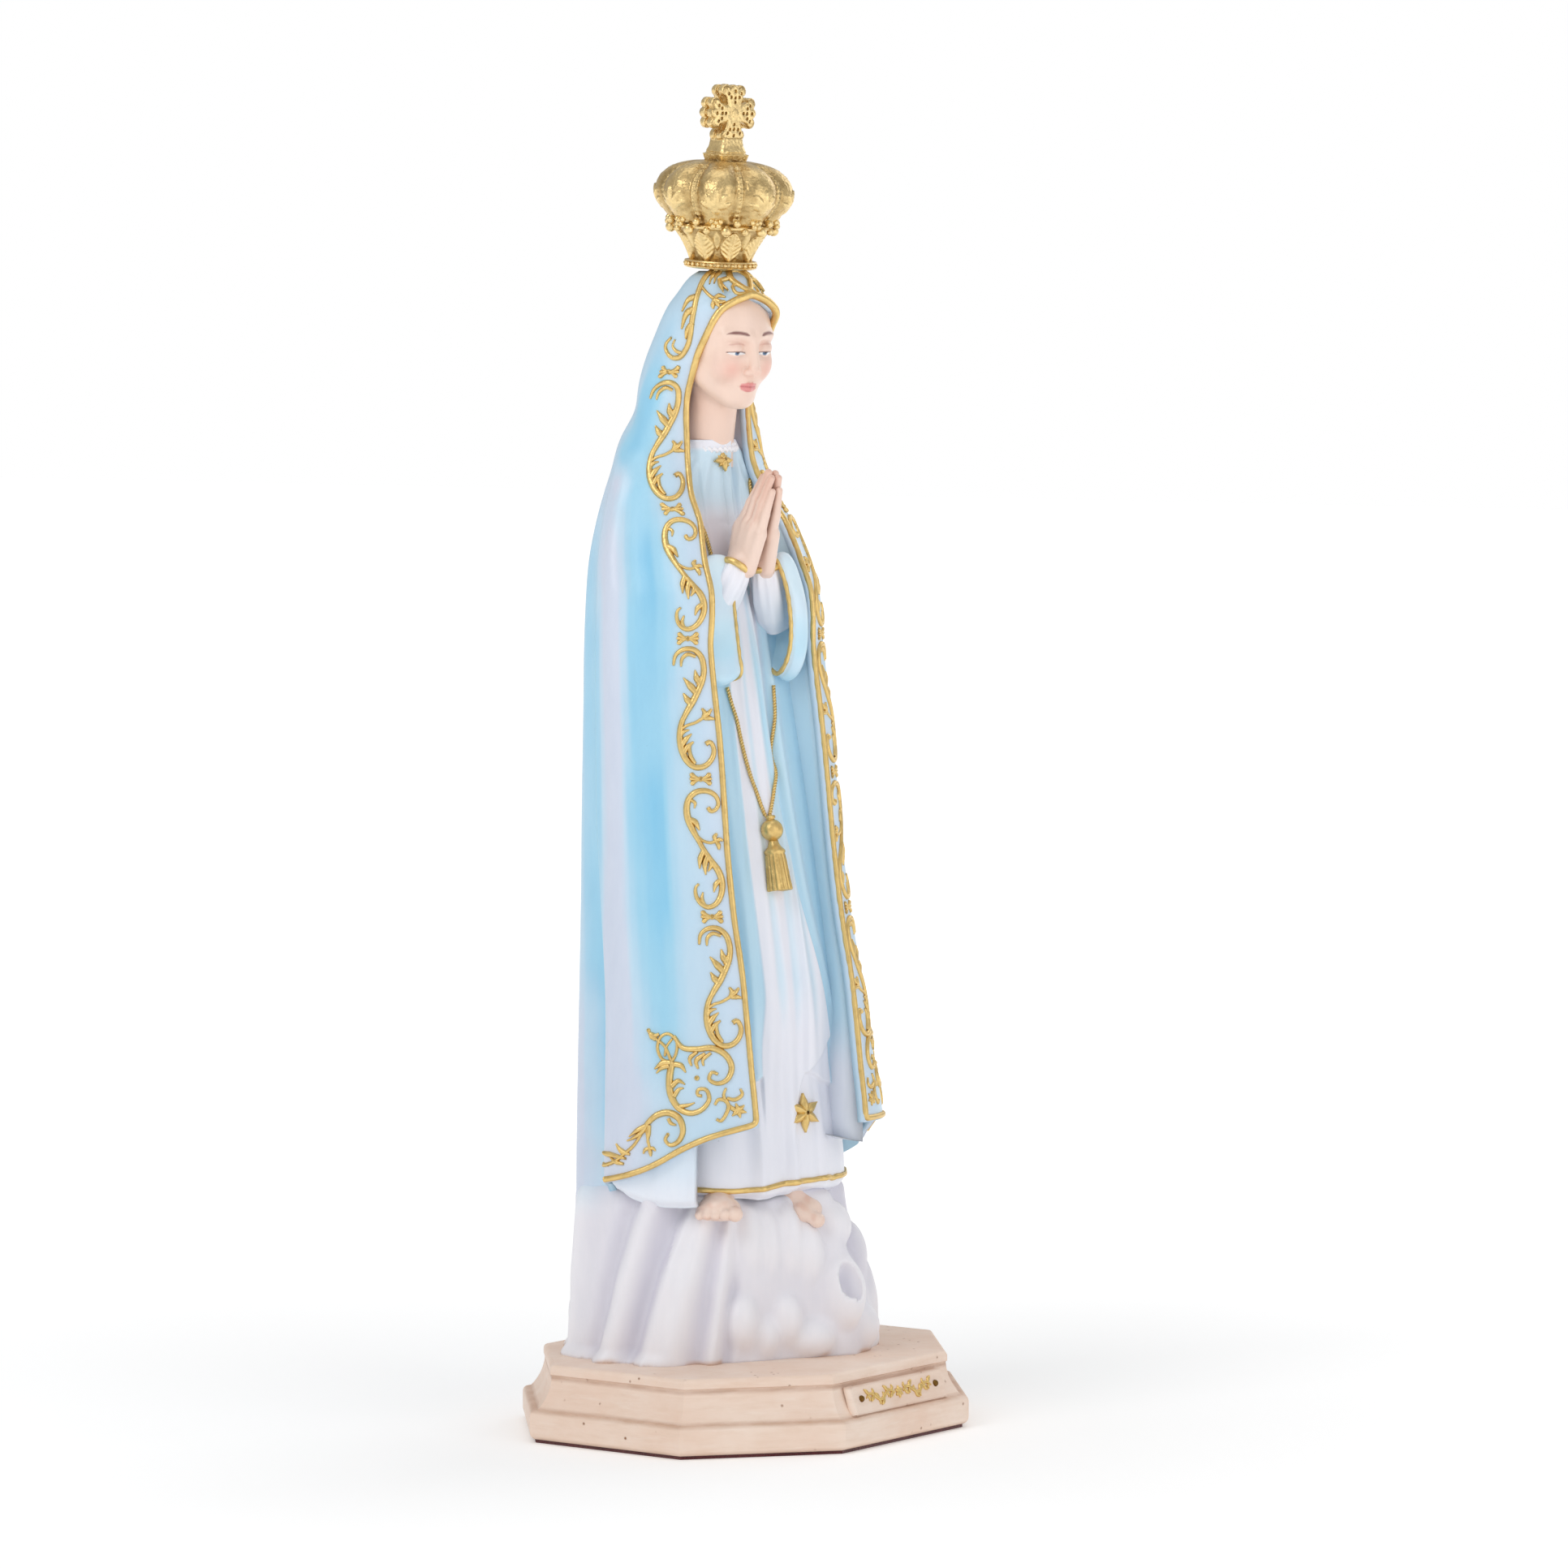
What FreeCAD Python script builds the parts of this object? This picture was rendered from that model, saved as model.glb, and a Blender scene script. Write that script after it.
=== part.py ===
"""Standing robed figure on a cloud, on an eight-sided plinth, with a crown that lifts off and turns.

Frame: millimetres, +Z up, origin at the middle of the plinth's underside.
The figure faces -Y, her right hand side is -X.
"""
import FreeCAD, Part
import Sketcher
import math
import os

V = FreeCAD.Vector
doc = FreeCAD.newDocument("RobedStatue")

# ---------------------------------------------------------------- driving sizes
sheet = doc.addObject("Spreadsheet::Sheet", "Sizes")
SIZES = [
    # plinth
    ("plinth_wide", 156.0), ("plinth_deep", 135.0), ("front_face", 70.8), ("side_face", 61.8),
    ("slab_low", 1.0), ("slab_top", 10.9), ("slab_round_low", 2.6), ("slab_round_top", 2.0),
    ("cove_start", 2.6), ("cove_top", 21.9), ("cove_inset", 7.0), ("cove_radius", 17.0),
    ("fascia_step", 0.5), ("plinth_top", 25.5), ("top_round", 1.6),
    ("felt_thick", 1.0), ("felt_inset", 2.0),
    # plaque on the front cove
    ("plaque_wide", 52.0), ("plaque_low", 11.4), ("plaque_tall", 9.9), ("plaque_face", 65.2), ("plaque_lean", 18.0),
    ("plaque_thick", 7.0), ("scroll_radius", 1.5), ("stud_radius", 1.15), ("stud_span", 42.4),
    # the figure stands behind the plinth's middle and is turned a little to its right
    ("axis_back", 9.0), ("figure_turn", -15.0),
    ("shell_thick", 4.0), ("edge_proud", 1.0), ("edge_wide", 2.4), ("scroll_proud", 0.9), ("scroll_band", 12.5),
    # gown
    ("gown_low", 79.2), ("gown_hem_high", 2.6), ("gown_hem_proud", 0.9),
    # feet
    ("foot_wide", 8.0), ("foot_long", 15.0), ("foot_high", 6.0), ("toe_radius", 2.0),
    # head
    ("head_wide", 14.2), ("head_deep", 17.2), ("head_high", 20.6), ("head_mid", 366.5), ("head_shift", 1.4), ("head_nod", 12.0),
    ("neck_radius", 8.2), ("neck_low", 322.0), ("neck_long", 32.0), ("neck_shift", 12.0), ("neck_nod", 14.0),
    # hands and sleeves
    ("palm_thick", 4.0), ("palm_deep", 7.2), ("palm_long", 17.0), ("palm_mid", 306.0), ("palm_front", 21.0), ("palm_lean", 16.0),
    ("cuff_radius", 4.9), ("cuff_thick", 1.3), ("cuff_mid", 290.0), ("cuff_span", 12.6), ("cuff_front", 15.5),
    ("sleeve_side", 15.0), ("sleeve_front", 9.0), ("sleeve_mid", 270.0), ("sleeve_wide", 8.5), ("sleeve_deep", 15.0), ("sleeve_drop", 20.0), ("forearm_radius", 7.0),
    ("sleeve_piping", 1.0),
    # trims
    ("brooch_radius", 2.6), ("brooch_thick", 1.8), ("star_radius", 6.4), ("star_inner", 2.6), ("star_thick", 1.7), ("star_mid", 105.0),
    ("cord_radius", 0.55), ("ball_radius", 3.4), ("ball_mid", 201.5), ("tassel_low", 180.0),
    # crown
    ("crown_lean", 4.5), ("crown_seat", 388.9), ("crown_back", 1.3),
    ("pin_radius", 3.0), ("pin_play", 0.05), ("pin_down", 13.0), ("pin_up", 11.0), ("pin_end_play", 0.3),
    ("band_high", 2.6), ("band_radius", 12.0),
    ("cup_low", 9.5), ("cup_rim", 16.2), ("cup_high", 13.2),
    ("bead_ring", 15.9), ("bead_radius", 1.35), ("bead_level", 13.0),
    ("bulb_wide", 23.2), ("bulb_level", 25.2), ("bulb_top", 35.2), ("bulb_neck", 7.2), ("lobe_out", 13.7), ("lobe_radius", 9.3),
    ("foot_top", 43.2), ("foot_flare", 7.4), ("stem_radius", 4.6),
    ("cross_mid", 51.9), ("cross_arm", 9.2), ("cross_end", 5.3), ("cross_waist", 2.9), ("cross_thick", 8.0),
]
for i, (alias, value) in enumerate(SIZES, 1):
    sheet.set("A%d" % i, alias.replace("_", " "))
    sheet.set("B%d" % i, str(value))
    sheet.setAlias("B%d" % i, alias)
# sections of the mantle, cloud and gown: height, half width (X), half depth (Y), axis offset (+Y)
TABLES = {
    "mantle": [(72, 55.0, 46.0, -5.5), (101, 54.8, 46.0, -5.5), (125, 52.5, 45.0, -3.0), (150, 50.0, 43.8, -0.2), (175, 48.0, 41.0, 3.0),
               (206, 46.5, 38.5, 5.8), (240, 45.5, 34.3, 7.8), (261, 44.5, 31.6, 9.6), (280, 43.0, 29.5, 11.0), (291, 41.0, 25.8, 13.4),
               (303, 37.5, 22.0, 15.8), (316, 32.0, 18.6, 18.3), (332, 25.5, 18.2, 17.3), (345, 21.6, 17.6, 15.4), (358, 20.4, 19.4, 9.8),
               (369, 18.6, 18.5, 5.2), (376, 16.7, 16.6, 3.0), (381, 13.9, 13.8, 1.7), (386, 10.2, 10.1, 1.3), (387.8, 8.2, 8.1, 1.3)],
    "cloud": [(24.0, 56.0, 44.5, 1.6), (42, 54.0, 43.0, 2.0), (60, 52.0, 41.5, 2.6), (71, 47.0, 36.5, -1.5), (79.2, 42.0, 33.0, -2.0)],
    "gown": [(81, 46.4, 38.0, -2.0), (105, 44.0, 35.0, -3.5), (150, 41.0, 31.0, -1.5), (201, 38.5, 27.0, 4.0), (250, 36.5, 24.5, 11.0),
             (290, 34.0, 20.0, 15.0), (312, 27.5, 16.0, 16.5), (324, 17.0, 12.5, 14.0), (333, 9.5, 9.4, 11.5)],
}
row = len(SIZES) + 2
for piece, table in TABLES.items():
    for k, values in enumerate(table, 1):
        for word, value in zip(("level", "wide", "deep", "axis"), values):
            alias = "%s_%s_%s" % (piece, word, "abcdefghijklmnopqrstuvwxyz"[k - 1])
            sheet.set("A%d" % row, alias.replace("_", " "))
            sheet.set("B%d" % row, str(float(value)))
            sheet.setAlias("B%d" % row, alias)
            row += 1
doc.recompute()


def val(alias):
    return float(sheet.get(alias))


def num(text):
    """The value of an expression written on the sheet's aliases."""
    got = sheet.evalExpression(text)
    return float(getattr(got, "Value", got))


def sized(text):
    """Aliases in an expression get the sheet's name in front."""
    import re
    names = {a for a, _ in SIZES}
    return re.sub(r"[a-z]+(?:_[a-z]+)+", lambda w: "Sizes." + w.group(0) if w.group(0) in names else w.group(0), text)


def bind(obj, **props):
    for prop, text in props.items():
        obj.setExpression(prop.replace("__", "."), sized(text))
    return obj


def at(obj, x="0", y="0", z="0", axis=None, angle=None):
    """Placement of an object, bound to the sheet."""
    if axis is not None:
        obj.Placement = FreeCAD.Placement(V(0, 0, 0), FreeCAD.Rotation(V(*axis), 10))
        obj.setExpression("Placement.Rotation.Angle", sized(angle))
    obj.setExpression("Placement.Base.x", sized(x))
    obj.setExpression("Placement.Base.y", sized(y))
    obj.setExpression("Placement.Base.z", sized(z))
    return obj


# ---------------------------------------------------------------- small builders
def plane_of(body, role):
    for item in body.Origin.OriginFeatures:
        if item.Role == role:
            return item


def outline(body, name, role, points, arcs=None):
    """A closed, fully constrained outline. points: (x, y) expressions; arcs: {edge: (radius expression, +1 or -1)}."""
    arcs = arcs or {}
    sk = body.newObject("Sketcher::SketchObject", name)
    sk.AttachmentSupport = [(plane_of(body, role), "")]
    sk.MapMode = "FlatFace"
    pts = [(num(sized(x)), num(sized(y))) for x, y in points]
    n = len(pts)
    ends = []
    for i in range(n):
        p, q = V(pts[i][0], pts[i][1], 0), V(pts[(i + 1) % n][0], pts[(i + 1) % n][1], 0)
        if i in arcs:
            radius, side = num(sized(arcs[i][0])), arcs[i][1]
            mid, chord = (p + q) * 0.5, q - p
            half = chord.Length / 2
            normal = V(-chord.y, chord.x, 0).normalize() * side
            centre = mid - normal * math.sqrt(max(radius * radius - half * half, 0.0))
            turn_p, turn_q = [math.atan2(e.y - centre.y, e.x - centre.x) for e in (p, q)]
            # sketch arcs run anticlockwise, so one that bends the other way starts at its far end
            forward = side < 0
            first, last = (turn_p, turn_q) if forward else (turn_q, turn_p)
            if last < first:
                last += 2 * math.pi
            g = sk.addGeometry(Part.ArcOfCircle(Part.Circle(centre, V(0, 0, 1), radius), first, last), False)
            ends.append((g, 1 if forward else 2, 2 if forward else 1))
        else:
            g = sk.addGeometry(Part.LineSegment(p, q), False)
            ends.append((g, 1, 2))
    for i in range(n):
        a, b = ends[i], ends[(i + 1) % n]
        sk.addConstraint(Sketcher.Constraint("Coincident", a[0], a[2], b[0], b[1]))
    for i, (xs, ys) in enumerate(points):
        g, start, _ = ends[i]
        for kind, axis_geo, text, value in (("DistanceX", -2, xs, pts[i][0]), ("DistanceY", -1, ys, pts[i][1])):
            if abs(value) < 1e-9:
                sk.addConstraint(Sketcher.Constraint("PointOnObject", g, start, axis_geo))
            else:
                c = sk.addConstraint(Sketcher.Constraint(kind, -1, 1, g, start, value))
                sk.setExpression("Constraints[%d]" % c, sized(text))
    for i, (text, _) in arcs.items():
        c = sk.addConstraint(Sketcher.Constraint("Radius", ends[i][0], num(sized(text))))
        sk.setExpression("Constraints[%d]" % c, sized(text))
    return sk


def padded(body, sk, name, length, midplane=False):
    pad = body.newObject("PartDesign::Pad", name)
    pad.Profile = sk
    pad.Midplane = midplane
    pad.setExpression("Length", sized(length))
    body.Tip = pad
    return pad


def turned(body, sk, name):
    rev = body.newObject("PartDesign::Revolution", name)
    rev.Profile = sk
    rev.ReferenceAxis = (sk, ["V_Axis"])
    rev.Angle = 360
    body.Tip = rev
    return rev


def new_body(name):
    return doc.addObject("PartDesign::Body", name)


def loft(name, piece, thinner="0"):
    """A loft through the elliptical sections of one table; thinner shrinks every section."""
    rings = []
    for k in range(len(TABLES[piece])):
        tag = "abcdefghijklmnopqrstuvwxyz"[k]
        ring = doc.addObject("Part::Ellipse", "%s_ring_%s" % (name, tag))
        wide, deep = "Sizes.%s_wide_%s" % (piece, tag), "Sizes.%s_deep_%s" % (piece, tag)
        flip = TABLES[piece][0][1] < TABLES[piece][0][2]
        big, small = (deep, wide) if flip else (wide, deep)
        over = sized(thinner)
        # the major radius may not fall under the minor one, so narrow sections are made round
        if TABLES[piece][k][1] < TABLES[piece][k][2] and not flip:
            big = small = "(%s + %s) / 2" % (wide, deep)
            ring.setExpression("MajorRadius", "%s - (%s) + 0.01" % (big, over))
        else:
            ring.setExpression("MajorRadius", "%s - (%s)" % (big, over))
        ring.setExpression("MinorRadius", "%s - (%s)" % (small, over))
        ring.setExpression("Placement.Base.y", "Sizes.%s_axis_%s" % (piece, tag))
        ring.setExpression("Placement.Base.z", "Sizes.%s_level_%s" % (piece, tag))
        rings.append(ring)
    made = doc.addObject("Part::Loft", name)
    made.Sections = rings
    made.Solid = True
    made.Ruled = False
    return made


def cut(name, base, tool):
    made = doc.addObject("Part::Cut", name)
    made.Base, made.Tool = base, tool
    return made


def fuse(name, shapes):
    made = doc.addObject("Part::MultiFuse", name)
    made.Shapes = shapes
    return made


def clear_of(name, base, tools):
    """base cut by each tool in turn."""
    for k, tool in enumerate(tools):
        base = cut(name if k == len(tools) - 1 else "%s_step%d" % (name, k), base, tool)
    return base


def mirrored(name, source):
    """The same piece on the other side of the figure."""
    made = doc.addObject("Part::Mirroring", name)
    made.Source = source
    made.Normal = V(1, 0, 0)
    return made


def common(name, shapes):
    made = doc.addObject("Part::MultiCommon", name)
    made.Shapes = shapes
    return made


def ellipsoid(name, rx, ry, rz, x, y, z, axis=None, angle=None):
    """An ellipsoid with half sizes along X, Y and Z."""
    made = doc.addObject("Part::Ellipsoid", name)
    made.Angle1, made.Angle2, made.Angle3 = -90, 90, 360
    bind(made, Radius1=rz, Radius2=rx, Radius3=ry)
    return at(made, x, y, z, axis, angle)


def box(name, x0, x1, y0, y1, z0, z1):
    made = doc.addObject("Part::Box", name)
    bind(made, Length="(%s) - (%s)" % (x1, x0), Width="(%s) - (%s)" % (y1, y0), Height="(%s) - (%s)" % (z1, z0))
    return at(made, x0, y0, z0)


NODES = {}


def node(name, obj):
    obj.Label = name
    NODES[name] = obj
    return obj


# ---------------------------------------------------------------- plinth
octagon = [("front_face / 2 - %s", "-(plinth_deep / 2 - %s)"), ("plinth_wide / 2 - %s", "-(side_face / 2 - %s)")]


def octagon_points(inset):
    """Corners of the eight-sided outline, moved in by inset (an expression)."""
    k = "(%s) * 0.41" % inset
    fx, fy = "front_face / 2 - %s" % k, "plinth_deep / 2 - (%s)" % inset
    gx, gy = "plinth_wide / 2 - (%s)" % inset, "side_face / 2 - %s" % k
    return [("-(%s)" % fx, "-(%s)" % fy), (fx, "-(%s)" % fy), (gx, "-(%s)" % gy), (gx, gy),
            (fx, fy), ("-(%s)" % fx, fy), ("-(%s)" % gx, gy), ("-(%s)" % gx, "-(%s)" % gy)]


felt = new_body("FeltPad")
padded(felt, outline(felt, "FeltOutline", "XY_Plane", octagon_points("felt_inset")), "FeltPadding", "felt_thick")
node("felt_pad", felt)


def moulding(name, half):
    """A long prism with the plinth's moulded section on both sides; half is its half width."""
    body = new_body(name)
    right = [(half + " - slab_round_low", "slab_low"), (half, "slab_low + slab_round_low"), (half, "slab_top - slab_round_top"),
             (half + " - slab_round_top", "slab_top"), (half + " - cove_start", "slab_top"),
             (half + " - cove_inset - fascia_step", "cove_top"), (half + " - cove_inset", "cove_top + 0.4"),
             (half + " - cove_inset", "plinth_top - top_round"), (half + " - cove_inset - top_round", "plinth_top")]
    left = [("-(%s)" % x, y) for x, y in reversed(right)]
    arcs = {0: ("slab_round_low", -1), 2: ("slab_round_top", -1), 4: ("cove_radius", 1), 7: ("top_round", -1),
            9: ("top_round", -1), 12: ("cove_radius", 1), 14: ("slab_round_top", -1), 16: ("slab_round_low", -1)}
    sk = outline(body, name + "Section", "XZ_Plane", right + left, arcs)
    padded(body, sk, name + "Run", "300", midplane=True)
    return body


along_y = moulding("MouldingSides", "plinth_wide / 2")
along_x = moulding("MouldingFront", "plinth_deep / 2")
at(along_x, "0", "0", "0", (0, 0, 1), "90")
# distance from the middle to the slanted faces, and their direction
run_x = "((plinth_wide - front_face) / 2)"
run_y = "((plinth_deep - side_face) / 2)"
slant = "(front_face / 2 * %s + plinth_deep / 2 * %s) / sqrt(%s ^ 2 + %s ^ 2)" % (run_y, run_x, run_x, run_y)
diag_a = moulding("MouldingSlantA", slant)
at(diag_a, "0", "0", "0", (0, 0, 1), "-atan2(%s; %s)" % (run_x, run_y))
diag_b = moulding("MouldingSlantB", slant)
at(diag_b, "0", "0", "0", (0, 0, 1), "atan2(%s; %s)" % (run_x, run_y))
plinth = common("PlinthBlank", [along_y, along_x, diag_a, diag_b])
node("plinth", plinth)

# plaque: a tilted plate that fits the front cove, with a curled end and two round studs
plate = box("PlaquePlate", "-plaque_wide / 2", "plaque_wide / 2", "0", "plaque_thick", "0", "plaque_tall")
plate.Placement = FreeCAD.Placement(V(0, 0, 0), FreeCAD.Rotation(V(1, 0, 0), 10))
at(plate, "-plaque_wide / 2", "-plaque_face", "plaque_low", (-1, 0, 0), "plaque_lean")
curl = doc.addObject("Part::Cylinder", "PlaqueCurl")
bind(curl, Radius="scroll_radius", Height="plaque_tall")
at(curl, "-plaque_wide / 2 - 0.4", "-plaque_face + 0.6", "plaque_low", (-1, 0, 0), "plaque_lean")
plaque_blank = fuse("PlaqueBlank", [plate, curl])
plaque = cut("PlaqueFitted", plaque_blank, plinth)
node("plaque", plaque)
studs = []
for side, word in ((-1, "Left"), (1, "Right")):
    stud = doc.addObject("Part::Sphere", "PlaqueStud" + word)
    bind(stud, Radius="stud_radius")
    at(stud, "%d * stud_span / 2" % side, "-plaque_face + 1.6", "plaque_low + plaque_tall / 2")
    studs.append(stud)
node("plaque_studs", cut("PlaqueStuds", fuse("PlaqueStudPair", studs), plaque))

# ---------------------------------------------------------------- drapery volumes
mantle_outer = loft("MantleOuter", "mantle")
mantle_inner = loft("MantleInner", "mantle", "shell_thick")
mantle_edge_skin = loft("MantleEdgeSkin", "mantle", "-edge_proud")
mantle_scroll_skin = loft("MantleScrollSkin", "mantle", "-scroll_proud")
gown_front = loft("GownFront", "gown")
cloud_core = loft("CloudCore", "cloud")

# the mantle's front opening: half width of the opening by height, from the hem to the peak over the forehead
OPENING = [(60, 22.5), (100, 22.9), (150, 24.0), (193, 23.8), (240, 22.3), (261, 21.2), (290, 19.7), (305, 17.1), (316, 14.6), (327, 12.8),
           (345, 12.3), (358, 14.0), (369, 12.0), (375, 9.0), (378, 5.0), (380.3, 0.0)]
row += 1
for k, (level, half) in enumerate(OPENING):
    for word, value in (("level", level), ("half", half)):
        alias = "opening_%s_%s" % (word, "abcdefghijklmnopqrstuvwxyz"[k])
        sheet.set("A%d" % row, alias.replace("_", " "))
        sheet.set("B%d" % row, str(float(value)))
        sheet.setAlias("B%d" % row, alias)
        row += 1
doc.recompute()


def opening_prism(name, wider):
    """The opening as a straight prism reaching forward from the figure's axis; wider widens it all round."""
    body = new_body(name)
    right = []
    for k in range(len(OPENING)):
        tag = "abcdefghijklmnopqrstuvwxyz"[k]
        lift = " + %s" % wider if k == len(OPENING) - 1 else ""
        half = "Sizes.opening_half_%s" % tag + (" + %s" % wider if k < len(OPENING) - 1 else "")
        right.append((half, "Sizes.opening_level_%s%s" % (tag, lift)))
    left = [("-(%s)" % x, y) for x, y in reversed(right[:-1])]
    sk = outline(body, name + "Outline", "XZ_Plane", right + left)
    padded(body, sk, name + "Run", "80")
    return at(body, "0", "10", "0")


opening = opening_prism("Opening", "0.0")
opening_wide = opening_prism("OpeningWide", "edge_wide")
opening_band_in = opening_prism("OpeningBandInner", "(edge_wide + 1.2)")
opening_band_out = opening_prism("OpeningBandOuter", "(edge_wide + 1.2 + scroll_band)")

# the hem: a slanted lower limit, high at the front corners and low behind
hem = new_body("HemLimit")
hem_side = [("-70", "40"), ("70", "40"), ("70", "75"), ("0", "77"), ("-24", "90"), ("-44", "102"), ("-70", "104")]
sk = outline(hem, "HemLimitOutline", "YZ_Plane", hem_side)
padded(hem, sk, "HemLimitRun", "160", midplane=True)
hem_band = new_body("HemBandLimit")
sk = outline(hem_band, "HemBandOutline", "YZ_Plane", [(y, z if z == "40" else z + " + edge_wide") for y, z in hem_side])
padded(hem_band, sk, "HemBandRun", "160", midplane=True)

# ---------------------------------------------------------------- crown frame and its bores
LEAN = "crown_lean"


def on_crown(obj, level="0", extra_turn=None):
    """Places an object made about the crown's own axis on the leaning crown axis."""
    obj.Placement = FreeCAD.Placement(V(0, 0, 0), FreeCAD.Rotation(V(1, 0, 0), val("crown_lean")))
    obj.setExpression("Placement.Rotation.Angle", sized(LEAN))
    obj.setExpression("Placement.Base.y", sized("crown_back - (%s) * sin(crown_lean)" % level))
    obj.setExpression("Placement.Base.z", sized("crown_seat + (%s) * cos(crown_lean)" % level))
    return obj


def crown_cylinder(name, radius, low, height):
    made = doc.addObject("Part::Cylinder", name)
    bind(made, Radius=radius, Height=height)
    return on_crown(made, low)


head_bore = crown_cylinder("HeadBore", "pin_radius + pin_play", "-(pin_down + pin_end_play)", "pin_down + pin_end_play + 4")

# ---------------------------------------------------------------- mantle and its gold
mantle_hollow = common("MantleHollow", [mantle_inner, box("HollowRoom", "-90", "90", "-90", "90", "60", "neck_low + 2")])
mantle_shell = cut("MantleShell", mantle_outer, mantle_hollow)
mantle_open = cut("MantleOpen", mantle_shell, opening)
mantle_hemmed = cut("MantleHemmed", mantle_open, hem)
mantle = cut("MantleBored", mantle_hemmed, head_bore)
node("mantle", mantle)

edge_skin = cut("EdgeSkin", mantle_edge_skin, mantle_outer)
edge_zone = cut("EdgeZone", opening_wide, opening)
edge_front = cut("EdgeFront", common("EdgeFrontBlank", [edge_skin, edge_zone]), hem)
hem_zone = cut("HemZone", hem_band, hem)
front_half = box("FrontHalf", "-80", "80", "-80", "0", "70", "110")
hem_gold_blank = common("HemGoldBlank", [edge_skin, hem_zone, front_half])
hem_gold = cut("HemGold", hem_gold_blank, opening_wide)
node("mantle_piping", fuse("MantlePiping", [edge_front, hem_gold]))
# ---------------------------------------------------------------- gown, head fill
body_back = box("BodyBack", "-80", "80", "5", "90", "gown_low", "326")
gown_back = common("GownBack", [mantle_inner, body_back])
gown_blank = fuse("GownBlank", [gown_front, gown_back])
gown_clear = cut("GownClear", gown_blank, mantle_shell)
gown_top = box("GownTop", "-80", "80", "-90", "90", "gown_low + 150", "gown_low + 400")


def sphere_at(name, radius, x, y, z):
    made = doc.addObject("Part::Sphere", name)
    bind(made, Radius=radius)
    return at(made, x, y, z)


def rod(name, radius, start, end):
    """A straight round bar from start to end, both (x, y, z) in figure coordinates."""
    a, b = V(*start), V(*end)
    made = doc.addObject("Part::Cylinder", name)
    bind(made, Radius=radius)
    made.Height = (b - a).Length
    made.Placement = FreeCAD.Placement(a, FreeCAD.Rotation(V(0, 0, 1), b - a))
    return made


def cone(name, low_radius, top_radius, start, end):
    a, b = V(*start), V(*end)
    made = doc.addObject("Part::Cone", name)
    bind(made, Radius1=low_radius, Radius2=top_radius)
    made.Height = (b - a).Length
    made.Placement = FreeCAD.Placement(a, FreeCAD.Rotation(V(0, 0, 1), b - a))
    return made


# ---------------------------------------------------------------- feet and cloud
feet = {}
for side, word, splay in ((-1, "Right", 22), (1, "Left", -12)):
    sole = ellipsoid(word + "Sole", "foot_wide", "foot_long", "foot_high", "0", "0", "0")
    toes = [sphere_at("%sToe%d" % (word, i), "toe_radius * %.2f" % (1.15 if i == 0 else 0.95 - 0.05 * i),
                      "%d * (%.1f)" % (side, -4.6 + 2.7 * i), "-foot_long + %.1f" % (1.0 + 1.0 * i), "-2.2") for i in range(5)]
    foot = fuse(word + "FootBlank", [sole] + toes)
    foot.Placement = FreeCAD.Placement(V(side * 17.5, -30.0, 76.0),
                                       FreeCAD.Rotation(V(0, 0, 1), -splay) * FreeCAD.Rotation(V(1, 0, 0), 14))
    feet[word] = foot
clear_above = box("AboveSoles", "-90", "90", "-90", "90", "gown_low", "400")
foot_right = cut("RightFootTrim", feet["Right"], clear_above)
foot_left = cut("LeftFootTrim", feet["Left"], clear_above)
lobes = []
for k, (x, y, z, rx, ry, rz) in enumerate([
        (24, -35, 33, 13, 10, 10), (8, -34, 36, 9, 8, 12), (33, -30, 52, 10, 9, 15), (-8, -32, 45, 12, 8, 21), (-27, -27, 50, 12, 9, 23),
        (-44, -14, 46, 11, 12, 22), (-51, 6, 44, 8, 14, 20), (46, -14, 42, 10, 14, 18), (52, 8, 40, 8, 14, 16), (14, -33, 62, 11, 8, 13),
        (-44, 26, 42, 11, 12, 18), (42, 28, 42, 11, 12, 18), (20, 40, 42, 15, 8, 18), (-18, 41, 42, 15, 8, 18)]):
    lobes.append(ellipsoid("CloudLobe%d" % k, str(rx), str(ry), str(rz), str(x), str(y), str(z)))
cloud_blank = fuse("CloudBlank", [cloud_core] + lobes)
cloud_trim = common("CloudTrim", [cloud_blank, box("CloudRoom", "-90", "90", "-90", "90", "plinth_top", "gown_low + 12")])
cloud_feet = clear_of("CloudFeet", cloud_trim, [foot_right, foot_left])

# ---------------------------------------------------------------- head, hands, sleeves
skull = ellipsoid("Skull", "head_wide", "head_deep", "head_high", "0", "head_shift", "head_mid", (1, 0, 0), "head_nod")
neck = doc.addObject("Part::Cylinder", "Neck")
bind(neck, Radius="neck_radius", Height="neck_long")
at(neck, "0", "neck_shift", "neck_low", (1, 0, 0), "neck_nod")
head_blank = fuse("HeadBlank", [skull, neck])
head_clear = clear_of("HeadClear", head_blank, [mantle_open, gown_clear, head_bore])

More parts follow.
